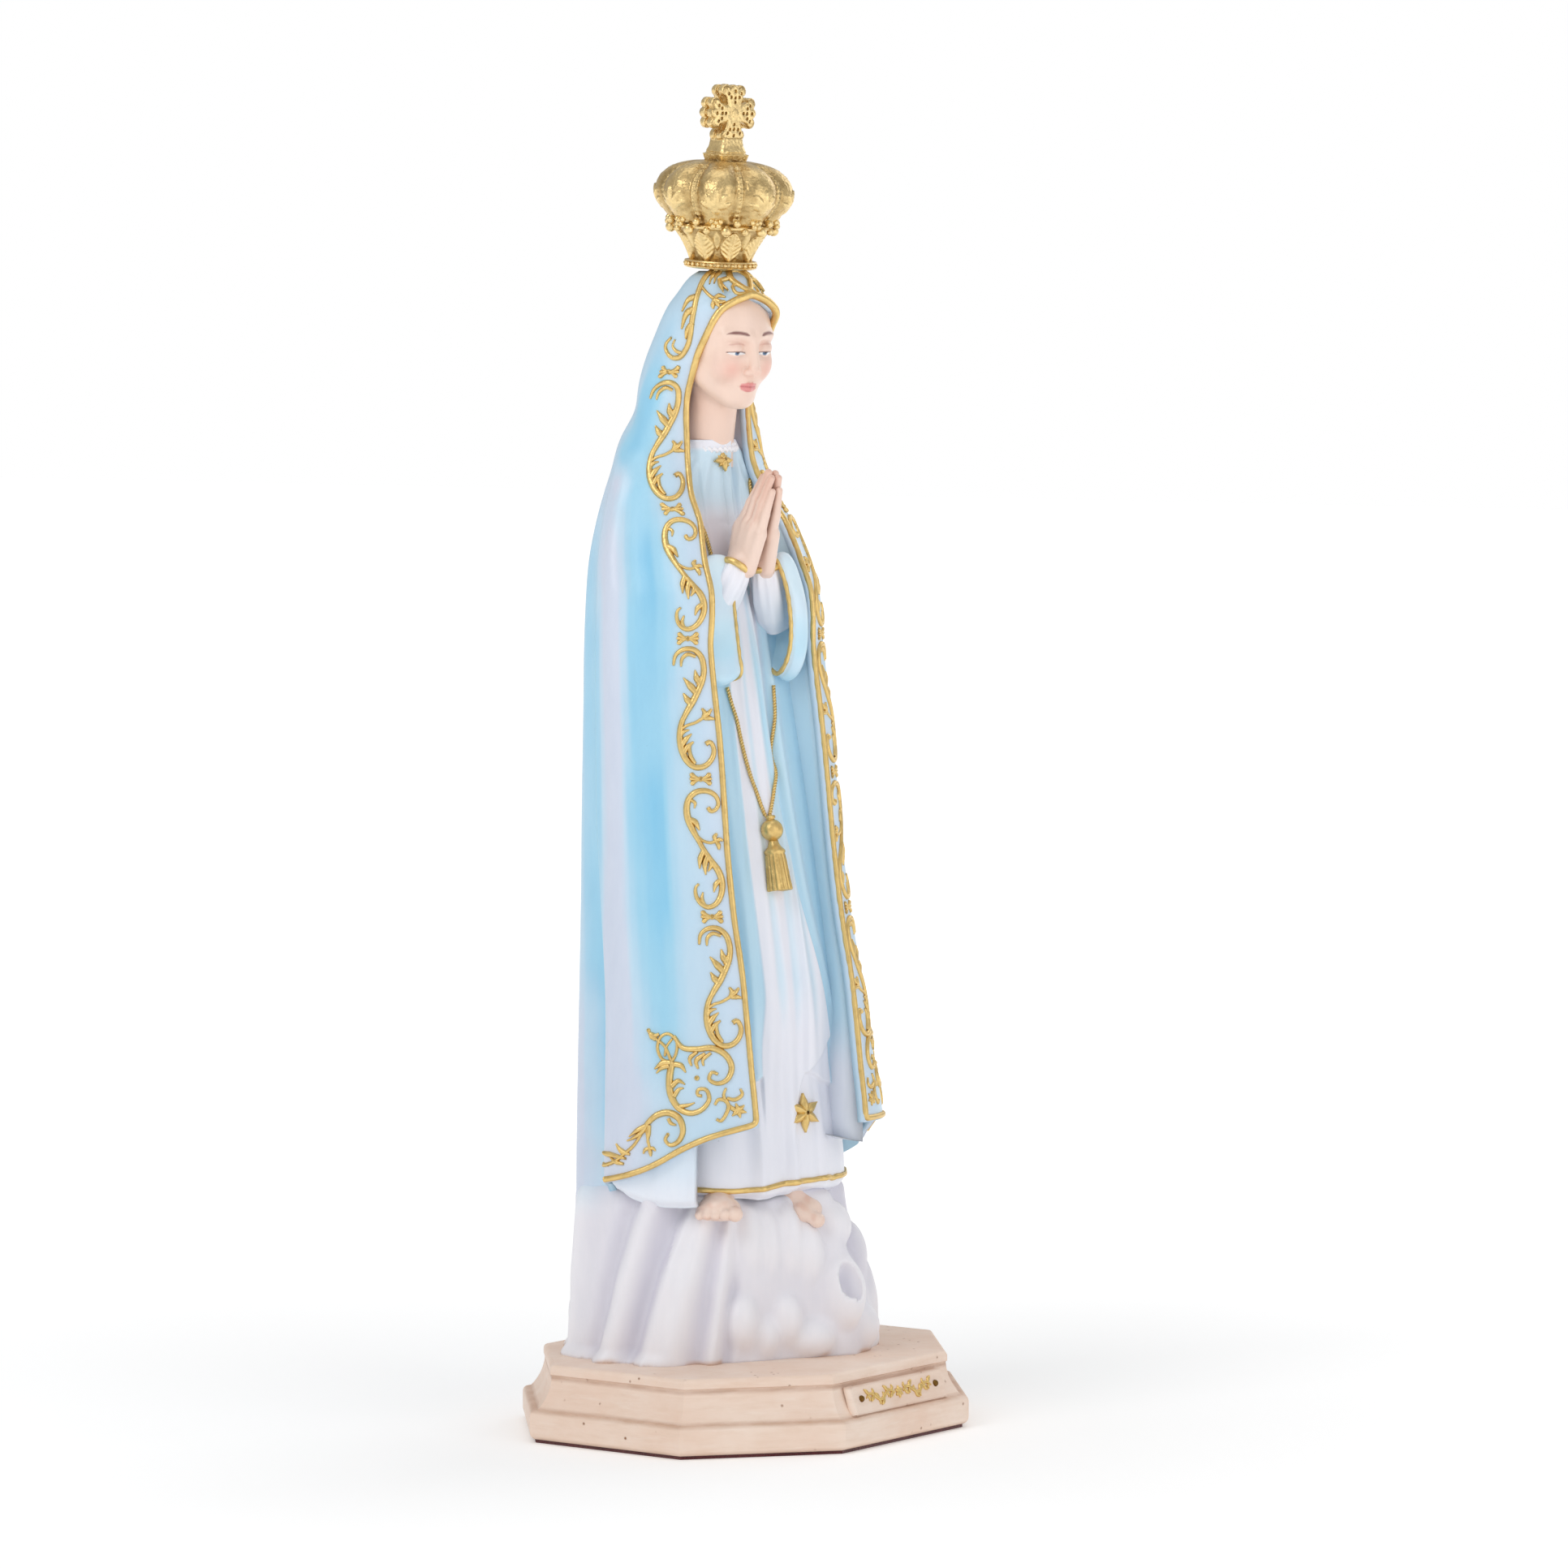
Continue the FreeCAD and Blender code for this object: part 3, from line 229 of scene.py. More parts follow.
def mantle(psi, side, z, off=0.0):
    """Points (L, F, z) on the mantle, off mm proud of it; and the outward normal."""
    psi, side, z = np.broadcast_arrays(np.asarray(psi, float), np.asarray(side, float), np.asarray(z, float))

    def at(ps, zz):
        a, b, c = section(zz)
        p = np.radians(ps)
        nx, ny = np.sin(p) / a, np.cos(p) / b
        ln = np.hypot(nx, ny)
        f = folds(ps, side, zz)
        L = a * np.sin(p) + nx / ln * f
        F = -c + b * np.cos(p) + ny / ln * f
        e = edge_psi(zz)
        F = F + pchip(FORWARD[:, 0], FORWARD[:, 1], zz) * smooth(e + 42, e + 2, ps)
        # the peak stands forward; the left front edge frames the turned face
        near = smooth(e + 40, e + 2, ps)
        F = F + 2.0 * bump(zz, 380, 3.0) * smooth(386, 382, zz) * near
        F = F + np.where(side > 0, 4.6 * bump(zz, 374.5, 4.2) - 3.5 * bump(zz, 356, 7.0), 0.0) * near
        # the right front edge swings across the gown lower down
        swing = np.where(side < 0, pchip([100, 108, 125, 140, 165, 200, 226, 250, 265], [0.6, 0.9, 1.8, 2.4, 3.0, 3.0, 2.4, 1.0, 0], zz), 0.0) * smooth(e + 26, e + 3, ps)
        L = L - 0.783 * swing
        F = F + 0.6225 * swing
        return np.stack([side * L, F, zz + 0 * L], -1)

    P = at(psi, z)
    d = 0.25
    A = at(psi + d, z) - at(psi - d, z)
    B = at(psi, z + d) - at(psi, z - d)
    N = np.cross(A, B) * side[..., None]
    N /= np.linalg.norm(N, axis=-1)[..., None] + 1e-12
    # outward check: away from the axis
    out = np.stack([P[..., 0], P[..., 1] + section(z)[2], 0 * z], -1)
    s = np.sign((N * out).sum(-1))
    s = np.where(s == 0, 1, s)
    N = N * s[..., None]
    return P + N * np.asarray(off, float)[..., None], N


def border(side, u, z, off=0.0):
    """Points a distance u in from the front edge, at height z."""
    u, z = np.broadcast_arrays(np.asarray(u, float), np.asarray(z, float))
    e = edge_psi(z)
    psi = e + u / 0.75
    for _ in range(3):
        k = np.linspace(0, 1, 9)
        ps = e[..., None] + (psi - e)[..., None] * k
        Q, _n = mantle(ps, side, z[..., None] + 0 * ps)
        ln = np.linalg.norm(np.diff(Q, axis=-2), axis=-1).sum(-1)
        ln = np.where(np.abs(psi - e) < 1e-6, 1e-6, ln)
        psi = e + (psi - e) * np.where(np.abs(u) < 1e-6, 0, np.abs(u) / ln)
        psi = np.where(u < 0, e - np.abs(u) / 0.75, psi)
    P, N = mantle(psi, side, z, off)
    return P, N

# ---------------------------------------------------------------- materials
class Tree:
    def __init__(self, name):
        self.m = bpy.data.materials.new(name)
        self.m.use_nodes = True
        self.t = self.m.node_tree
        self.t.nodes.clear()
        self.out = self.node("ShaderNodeOutputMaterial")
        self.b = self.node("ShaderNodeBsdfPrincipled")
        self.link(self.b.outputs[0], self.out.inputs["Surface"])
        self.obj = self.node("ShaderNodeTexCoord").outputs["Object"]

    def node(self, kind, **kw):
        n = self.t.nodes.new(kind)
        for k, v in kw.items():
            setattr(n, k, v)
        return n

    def link(self, a, b):
        self.t.links.new(a, b)

    def put(self, sock, v):
        if isinstance(v, bpy.types.NodeSocket):
            self.link(v, sock)
        else:
            sock.default_value = v

    def math(self, op, a, b=0.0, c=None, clamp=False):
        n = self.node("ShaderNodeMath", operation=op, use_clamp=clamp)
        self.put(n.inputs[0], a)
        self.put(n.inputs[1], b)
        if c is not None:
            self.put(n.inputs[2], c)
        return n.outputs[0]

    def noise(self, scale, detail=3.0, rough=0.5, stretch=None, vec=None):
        n = self.node("ShaderNodeTexNoise")
        n.inputs["Scale"].default_value = scale
        n.inputs["Detail"].default_value = detail
        n.inputs["Roughness"].default_value = rough
        v = vec or self.obj
        if stretch:
            mp = self.node("ShaderNodeMapping")
            mp.inputs["Scale"].default_value = stretch
            self.link(v, mp.inputs["Vector"])
            v = mp.outputs[0]
        self.link(v, n.inputs["Vector"])
        return n.outputs["Fac"]

    def voronoi(self, scale, feature="F1", stretch=None):
        n = self.node("ShaderNodeTexVoronoi", feature=feature)
        n.inputs["Scale"].default_value = scale
        v = self.obj
        if stretch:
            mp = self.node("ShaderNodeMapping")
            mp.inputs["Scale"].default_value = stretch
            self.link(v, mp.inputs["Vector"])
            v = mp.outputs[0]
        self.link(v, n.inputs["Vector"])
        return n.outputs["Distance"]

    def range(self, v, a, b, c, d):
        n = self.node("ShaderNodeMapRange", clamp=True)
        self.put(n.inputs[0], v)
        for k, x in enumerate((a, b, c, d)):
            n.inputs[k + 1].default_value = x
        return n.outputs[0]

    def mix(self, f, a, b, blend="MIX"):
        n = self.node("ShaderNodeMix", data_type="RGBA", blend_type=blend)
        self.put(n.inputs[0], f)
        for s, v in ((n.inputs[6], a), (n.inputs[7], b)):
            if isinstance(v, bpy.types.NodeSocket):
                self.link(v, s)
            else:
                s.default_value = (*[float(x) for x in v], 1.0)
        return n.outputs[2]

    def fmix(self, f, a, b):
        n = self.node("ShaderNodeMix", data_type="FLOAT")
        for s, v in ((n.inputs[0], f), (n.inputs[2], a), (n.inputs[3], b)):
            self.put(s, v)
        return n.outputs[0]

    def attr(self, name):
        n = self.node("ShaderNodeAttribute", attribute_name=name)
        return n

    def bump(self, height, strength, dist, normal=None):
        n = self.node("ShaderNodeBump")
        n.inputs["Strength"].default_value = strength
        n.inputs["Distance"].default_value = dist
        self.link(height, n.inputs["Height"])
        if normal is not None:
            self.link(normal, n.inputs["Normal"])
        return n.outputs[0]


GOLD_HI, GOLD_LO = rgb("D3B062"), rgb("7E5D24")


def painted(name, coat=0.25, rough=0.42):
    """Airbrushed paint on a plaster-like casting, with gold leaf paint where
    the gold mask says so."""
    t = Tree(name)
    col = t.attr("paint").outputs["Color"]
    gold = t.attr("gold").outputs["Fac"]
    n1 = t.noise(55, 4, 0.55)
    n2 = t.noise(900, 3, 0.6)
    n3 = t.noise(230, 4, 0.6, stretch=(1.4, 1.4, 0.35))
    c = t.mix(t.range(n1, 0.3, 0.7, 0.0, 0.10), col, (0.98, 0.98, 1.0), "SOFT_LIGHT")
    c = t.mix(t.range(n3, 0.35, 0.75, 0.0, 0.09), c, (0.62, 0.70, 0.80), "MULTIPLY")
    # small pits of the casting that kept a little dust
    pit = t.voronoi(150)
    pit = t.math("MULTIPLY", t.range(pit, 0.0, 0.045, 1.0, 0.0), t.range(t.noise(20, 2), 0.56, 0.66, 0.0, 1.0))
    c = t.mix(t.math("MULTIPLY", pit, 0.55), c, (0.42, 0.38, 0.38), "MULTIPLY")
    g1 = t.noise(420, 5, 0.65)
    gc = t.mix(t.range(g1, 0.32, 0.68, 0.0, 1.0), tuple(rgb("8A672B")), tuple(rgb("D9B768")))
    c = t.mix(gold, c, gc)
    t.link(c, t.b.inputs["Base Color"])
    t.link(t.math("MULTIPLY", gold, 0.82), t.b.inputs["Metallic"])
    r = t.fmix(gold, t.range(n2, 0.3, 0.7, rough - 0.06, rough + 0.08), t.range(g1, 0.3, 0.7, 0.50, 0.34))
    t.link(r, t.b.inputs["Roughness"])
    t.b.inputs["Coat Weight"].default_value = coat
    t.b.inputs["Coat Roughness"].default_value = 0.28
    t.b.inputs["Subsurface Weight"].default_value = 0.0
    h = t.math("ADD", t.math("MULTIPLY", n2, 0.25), t.math("MULTIPLY", n3, 0.5))
    h = t.math("SUBTRACT", h, t.math("MULTIPLY", pit, 1.2))
    h = t.math("ADD", h, t.math("MULTIPLY", t.math("MULTIPLY", g1, gold), 1.2))
    t.link(t.bump(h, 0.28, 0.0004), t.b.inputs["Normal"])
    return t.m


def gilt(name, rough=0.3, hammer=0.0, lo="6E4C1A", hi="D8B25E", deep="4A3110"):
    """Gilded casting with painted light and shade: bright on the high spots, painted brown shade in the hollows."""
    t = Tree(name)
    # on gilt pieces the gold attribute sets painted light and shade: 1 lights the high spots, 0 shades the hollows
    painted_light_amount = t.attr("gold").outputs["Fac"]  # 1 on high spots, 0 in the hollows
    g1 = t.noise(330, 5, 0.6)
    g2 = t.noise(1500, 3, 0.6)
    f = t.math("ADD", t.range(g1, 0.3, 0.7, -0.22, 0.22), painted_light_amount, clamp=True)
    c = t.mix(f, tuple(rgb(lo)), tuple(rgb(hi)))
    # painted shade: the deep colour fills the hollows
    c = t.mix(t.range(painted_light_amount, 0.0, 0.35, 0.75, 0.0), c, tuple(rgb(deep)))
    t.link(c, t.b.inputs["Base Color"])
    t.b.inputs["Metallic"].default_value = 0.92
    t.link(t.range(g2, 0.3, 0.7, rough - 0.06, rough + 0.12), t.b.inputs["Roughness"])
    h = t.math("ADD", t.math("MULTIPLY", g1, 0.7), t.math("MULTIPLY", g2, 0.3))
    if hammer:
        vo = t.voronoi(620, "SMOOTH_F1")
        h = t.math("ADD", h, t.math("MULTIPLY", vo, hammer))
    t.link(t.bump(h, 0.55, 0.0006), t.b.inputs["Normal"])
    return t.m


def washed(name):
    """Cast plinth with a brushed beige wash, darker in its grooves."""
    t = Tree(name)
    geo = t.node("ShaderNodeNewGeometry")
    sep = t.node("ShaderNodeSeparateXYZ")
    t.link(t.obj, sep.inputs[0])
    z = sep.outputs[2]
    n1 = t.noise(26, 5, 0.6)
    n2 = t.noise(90, 4, 0.6, stretch=(1.0, 1.0, 6.0))
    n3 = t.noise(700, 3, 0.6)
    n4 = t.noise(60, 4, 0.6, stretch=(1, 1, 9.0))
    c = t.mix(t.range(n1, 0.32, 0.70, 0.0, 1.0), tuple(rgb("F4E1D2")), tuple(rgb("ECCFBB")))
    c = t.mix(t.range(n2, 0.45, 0.75, 0.0, 0.26), c, tuple(rgb("D9B699")), "MIX")
    c = t.mix(t.range(n4, 0.55, 0.75, 0.0, 0.22), c, tuple(rgb("FBF1E8")), "MIX")

    def line(at, half, amount, colour, src):
        d = t.math("ABSOLUTE", t.math("SUBTRACT", z, at))
        f = t.range(d, half * 0.15, half, amount, 0.0)
        f = t.math("MULTIPLY", f, t.range(n2, 0.25, 0.6, 0.45, 1.0))
        return t.mix(f, src, colour)

    c = line(0.0109, 0.0012, 0.45, tuple(rgb("A9764F")), c)
    c = line(0.0212, 0.0013, 0.5, tuple(rgb("A06C47")), c)
    c = line(0.0012, 0.0014, 0.35, tuple(rgb("B58A68")), c)
    pit = t.voronoi(210)
    pit = t.math("MULTIPLY", t.range(pit, 0.05, 0.13, 1.0, 0.0), t.range(t.noise(33, 2), 0.5, 0.62, 0.0, 1.0))
    c = t.mix(pit, c, tuple(rgb("9A6B4A")))
    sp = t.math("MULTIPLY", t.range(t.voronoi(120), 0.03, 0.09, 1.0, 0.0), t.range(t.noise(17, 2), 0.55, 0.6, 0.0, 0.8))
    c = t.mix(sp, c, tuple(rgb("8A5A3A")))
    t.link(c, t.b.inputs["Base Color"])
    t.link(t.range(n3, 0.3, 0.7, 0.50, 0.66), t.b.inputs["Roughness"])
    t.b.inputs["Coat Weight"].default_value = 0.08
    t.b.inputs["Coat Roughness"].default_value = 0.4
    h = t.math("ADD", t.math("MULTIPLY", n2, 0.25), t.math("MULTIPLY", n3, 0.25))
    h = t.math("SUBTRACT", h, t.math("MULTIPLY", pit, 2.0))
    t.link(t.bump(h, 0.5, 0.0006), t.b.inputs["Normal"])
    return t.m


def felted(name):
    t = Tree(name)
    n1 = t.noise(2600, 4, 0.7)
    n2 = t.noise(120, 3, 0.5)
    c = t.mix(t.range(n1, 0.3, 0.7, 0.0, 1.0), tuple(rgb("3C1417")), tuple(rgb("7A3237")))
    c = t.mix(t.range(n2, 0.4, 0.7, 0.0, 0.4), c, tuple(rgb("2A0D10")))
    t.link(c, t.b.inputs["Base Color"])
    t.b.inputs["Roughness"].default_value = 0.95
    t.b.inputs["Sheen Weight"].default_value = 0.4
    t.link(t.bump(n1, 0.8, 0.0006), t.b.inputs["Normal"])
    return t.m


def steel(name):
    t = Tree(name)
    n = t.noise(300, 3, 0.5, stretch=(1, 1, 12))
    c = t.mix(n, (0.42, 0.42, 0.43), (0.62, 0.62, 0.63))
    t.link(c, t.b.inputs["Base Color"])
    t.b.inputs["Metallic"].default_value = 1.0
    t.link(t.range(n, 0.3, 0.7, 0.28, 0.42), t.b.inputs["Roughness"])
    t.link(t.bump(n, 0.2, 0.0002), t.b.inputs["Normal"])
    return t.m


M_CLOTH = painted("painted_cloak")
M_GOWN = painted("painted_gown", 0.2, 0.45)
M_SKIN = painted("painted_skin", 0.3, 0.38)
M_CLOUD = painted("painted_cloud", 0.15, 0.48)
M_GOLD = gilt("gold_paint", 0.34, 0.0, lo="98733A", hi="E6C681", deep="684A1E")
M_CROWN = gilt("crown_gilding", 0.29, 0.35, lo="8C6A36", hi="EDD196", deep="55391A")
M_PLINTH = washed("plinth_wash")
M_FELT = felted("felt")
M_STEEL = steel("pin")

# ---------------------------------------------------------------- meshes
class Build:
    """Collects closed and open patches into one mesh with a painted colour
    and a gold mask on its points; on gilt pieces the gold value sets painted light and shade."""

    def __init__(self):
        self.v, self.q, self.t, self.c, self.g, self.n = [], [], [], [], [], 0

    def add(self, V, Q=None, T=None, color=(0.8, 0.8, 0.8), gold=0.0, closed=True, metres=False):
        V = np.asarray(V, float)
        m = len(V)
        Q = np.zeros((0, 4), int) if Q is None or len(Q) == 0 else np.asarray(Q, int)
        T = np.zeros((0, 3), int) if T is None or len(T) == 0 else np.asarray(T, int)
        W = V if metres else world(V)
        if closed:
            o = W.mean(0)
            vol = 0.0
            for A in (Q[:, [0, 1, 2]], Q[:, [0, 2, 3]], T):
                if len(A):
                    a, b, c = (W[A[:, k]] - o for k in range(3))
                    vol += np.einsum("ij,ij->i", a, np.cross(b, c)).sum()
            if vol < 0:
                Q, T = Q[:, ::-1], T[:, ::-1]
        self.v.append(W)
        self.q.append(Q + self.n)
        self.t.append(T + self.n)
        C = np.empty((m, 3))
        C[:] = color
        G = np.empty(m)
        G[:] = gold
        self.c.append(C)
        self.g.append(G)
        self.n += m
        return self

    def object(self, name, body, mat, nodes=(), smooth_faces=True, sharp=None):
        V = np.vstack(self.v).astype(np.float32)
        Q, T = np.vstack(self.q), np.vstack(self.t)
        me = bpy.data.meshes.new(name)
        me.vertices.add(len(V))
        me.vertices.foreach_set("co", V.ravel())
        me.loops.add(len(Q) * 4 + len(T) * 3)
        me.loops.foreach_set("vertex_index", np.concatenate([Q.ravel(), T.ravel()]).astype(np.int32))
        me.polygons.add(len(Q) + len(T))
        st = np.concatenate([np.arange(len(Q)) * 4, len(Q) * 4 + np.arange(len(T)) * 3])
        me.polygons.foreach_set("loop_start", st.astype(np.int32))
        me.polygons.foreach_set("use_smooth", np.full(len(Q) + len(T), smooth_faces))
        me.update(calc_edges=True)
        if me.validate(verbose=False):
            print("mesh mended:", name)
        a = me.color_attributes.new("paint", "FLOAT_COLOR", "POINT")
        C, G = np.vstack(self.c), np.concatenate(self.g)
        buf = np.ones((len(me.vertices), 4), np.float32)
        buf[:, :3] = np.clip(C, 0, 1)
        a.data.foreach_set("color", buf.ravel())
        g = me.attributes.new("gold", "FLOAT", "POINT")
        g.data.foreach_set("value", np.clip(G, 0, 1).astype(np.float32))
        if sharp is not None:
            me.set_sharp_from_angle(angle=math.radians(sharp))
        o = bpy.data.objects.new(name, me)
        bpy.context.scene.collection.objects.link(o)
        me.materials.append(mat)
        if nodes:
            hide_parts(*nodes)
        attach(o, body)
        return o


def grid_faces(nu, nv, wrap_u=False, wrap_v=False, start=0):
    i = np.arange(nu if wrap_u else nu - 1)
    j = np.arange(nv if wrap_v else nv - 1)
    I, J = np.meshgrid(i, j, indexing="ij")
    I2, J2 = (I + 1) % nu, (J + 1) % nv
    return np.stack([I * nv + J, I2 * nv + J, I2 * nv + J2, I * nv + J2], -1).reshape(-1, 4) + start


def rings(R):
    """Closed skin over rings R[i, j, :], with its two ends capped by fans."""
    R = np.asarray(R, float)
    n, m = R.shape[:2]
    V = np.vstack([R.reshape(-1, 3), R[0].mean(0), R[-1].mean(0)])
    j = np.arange(m)
    T = np.vstack([
        np.stack([np.full(m, n * m), (j + 1) % m, j], 1),
        np.stack([np.full(m, n * m + 1), (n - 1) * m + j, (n - 1) * m + (j + 1) % m], 1),
    ])
    return V, grid_faces(n, m, wrap_v=True), T


def frames(P, up):
    """Tangent, side and up vectors along a path, up given per point."""
    T = np.gradient(P, axis=0)
    T /= np.linalg.norm(T, axis=1)[:, None] + 1e-12
    U = np.broadcast_to(np.asarray(up, float), P.shape)
    S = np.cross(T, U)
    S /= np.linalg.norm(S, axis=1)[:, None] + 1e-12
    U = np.cross(S, T)
    return T, S, U


def bead(P, N, width, high, sink=0.35, sides=7, groove=0.0, ends=True, twist=None):
    """A modelled line of half-round section laid on a surface: path P,
    outward N, half width and height along it, ends closed by flat caps; the ends argument is not used."""
    P = np.asarray(P, float)
    n = len(P)
    width, high = np.broadcast_to(width, n).astype(float), np.broadcast_to(high, n).astype(float)
    _, S, U = frames(P, N)
    a = np.linspace(-1, 1, sides)
    prof = np.sqrt(np.clip(1 - a**2, 0, 1)) ** 0.8
    prof = prof - groove * np.exp(-((a / 0.28) ** 2))
    R = np.empty((n, sides + 2, 3))
    for k in range(sides):
        R[:, k] = P + S * (a[k] * width)[:, None] + U * (high * prof[k])[:, None]
    R[:, sides] = P + S * (0.7 * width)[:, None] - U * sink
    R[:, sides + 1] = P - S * (0.7 * width)[:, None] - U * sink
    return rings(R)


def tube(P, r, sides=10, up=(0, 0, 1), flat=1.0):
    P = np.asarray(P, float)
    n = len(P)
    r = np.broadcast_to(r, n).astype(float)
    _, S, U = frames(P, up)
    a = np.linspace(0, 2 * np.pi, sides, endpoint=False)
    R = P[:, None] + S[:, None] * (np.cos(a)[None] * r[:, None])[..., None] + U[:, None] * (np.sin(a)[None] * r[:, None] * flat)[..., None]
    return rings(R)


# signed distances, in mm
def s_ell(P, c, r, rot=None):
    q = P - np.asarray(c, float)
    if rot is not None:
        q = q @ np.asarray(rot, float)
    r = np.asarray(r, float)
    k0 = np.linalg.norm(q / r, axis=-1)
    k1 = np.linalg.norm(q / r**2, axis=-1) + 1e-9
    return k0 * (k0 - 1) / k1


def s_cap(P, a, b, ra, rb=None, squash=None):
    """Tapered capsule; squash=(direction, factor) flattens it."""
    rb = ra if rb is None else rb
    a, b = np.asarray(a, float), np.asarray(b, float)
    d = b - a
    t = np.clip(((P - a) @ d) / (d @ d), 0, 1)
    q = P - a - t[..., None] * d
    if squash is not None:
        w = np.asarray(squash[0], float)
        w = w / np.linalg.norm(w)
        q = q + (q @ w)[..., None] * w * (1 / squash[1] - 1)
    return np.linalg.norm(q, axis=-1) - (ra + (rb - ra) * t)


def u_(a, b, k):
    h = np.clip(0.5 + 0.5 * (b - a) / k, 0, 1)
    return b + (a - b) * h - k * h * (1 - h)


def cut_(a, b, k):
    """a without b."""
    return -u_(-a, b, k)


def both_(a, b, k):
    return -u_(-a, -b, k)


def nets(f, lo, hi, step, relax=1, newton=2):
    """Quads over f = 0 inside a box (f < 0 is inside)."""
    lo, hi = np.asarray(lo, float), np.asarray(hi, float)
    n = np.ceil((hi - lo) / step).astype(int) + 1
    ax = [lo[k] + step * np.arange(n[k]) for k in range(3)]
    F = np.empty(n)
    for i in range(0, n[0], 12):
        G = np.stack(np.meshgrid(ax[0][i : i + 12], ax[1], ax[2], indexing="ij"), -1)
        F[i : i + 12] = f(G)
    F = np.where(F == 0, 1e-6, F)
    ins = F < 0
    cnt = sum(ins[dx : n[0] - 1 + dx, dy : n[1] - 1 + dy, dz : n[2] - 1 + dz].astype(int) for dx in (0, 1) for dy in (0, 1) for dz in (0, 1))
    act = (cnt > 0) & (cnt < 8)
    cell = np.argwhere(act)
    idx = -np.ones(act.shape, int)
    idx[act] = np.arange(len(cell))
    acc, num = np.zeros((len(cell), 3)), np.zeros(len(cell))
    for k in range(3):
        o = [a for a in range(3) if a != k]
        for p in (0, 1):
            for q in (0, 1):
                c0 = np.zeros(3, int)
                c0[o[0]], c0[o[1]] = p, q
                c1 = c0.copy()
                c1[k] = 1
                A = F[tuple((cell + c0).T)]
                B = F[tuple((cell + c1).T)]
                x = (A < 0) != (B < 0)
                t = np.where(x, A / np.where(x, A - B, 1), 0)
                pos = c0[None] + t[:, None] * (c1 - c0)[None]
                acc += np.where(x[:, None], pos, 0)
                num += x
    V = lo + (cell + acc / num[:, None]) * step
    quads = []
    for k in range(3):
        o = [a for a in range(3) if a != k]
        sl0, sl1 = [slice(1, -1)] * 3, [slice(1, -1)] * 3
        sl0[k], sl1[k] = slice(0, -1), slice(1, None)
        A, B = ins[tuple(sl0)], ins[tuple(sl1)]
        e = np.argwhere(A != B)
        base = e + 1
        base[:, k] = e[:, k]
        out = []
        for p, q in ((1, 1), (0, 1), (0, 0), (1, 0)):
            c = base.copy()
            c[:, o[0]] -= p
            c[:, o[1]] -= q
            out.append(idx[tuple(c.T)])
        Q = np.stack(out, 1)
        flip = A[tuple(e.T)] ^ (k == 1)
        Q[flip] = Q[flip][:, ::-1]
        quads.append(Q)
    Q = np.vstack(quads)
    Q = Q[(Q >= 0).all(1)]
    for _ in range(relax):
        S, m = np.zeros_like(V), np.zeros(len(V))
        for a in range(4):
            b = (a + 1) % 4
            for x, y in ((a, b), (b, a)):
                for c in range(3):
                    S[:, c] += np.bincount(Q[:, x], V[Q[:, y], c], len(V))
                m += np.bincount(Q[:, x], minlength=len(V))
        V = 0.4 * V + 0.6 * S / np.maximum(m, 1)[:, None]
    for _ in range(newton):
        h = 0.15 * step
        f0 = f(V)
        g = np.stack([(f(V + h * e) - f(V - h * e)) / (2 * h) for e in np.eye(3)], -1)
        V = V - np.clip(f0 / ((g**2).sum(-1) + 0.05), -step, step)[:, None] * g
    return V, Q


def lathe(profile, sides=64, shape=None):
    """Closed surface of revolution about z from (r, z) points, bottom to top;
    shape(angle, z, r) may return a changed radius."""
    pr = np.asarray(profile, float)
    a = np.linspace(0, 2 * np.pi, sides, endpoint=False)
    R = np.empty((len(pr), sides, 3))
    r = np.broadcast_to(pr[:, 0:1], (len(pr), sides))
    if shape is not None:
        r = shape(a[None] + 0 * r, pr[:, 1:2] + 0 * r, r)
    R[..., 0], R[..., 1], R[..., 2] = r * np.sin(a), r * np.cos(a), pr[:, 1:2]
    return rings(R)

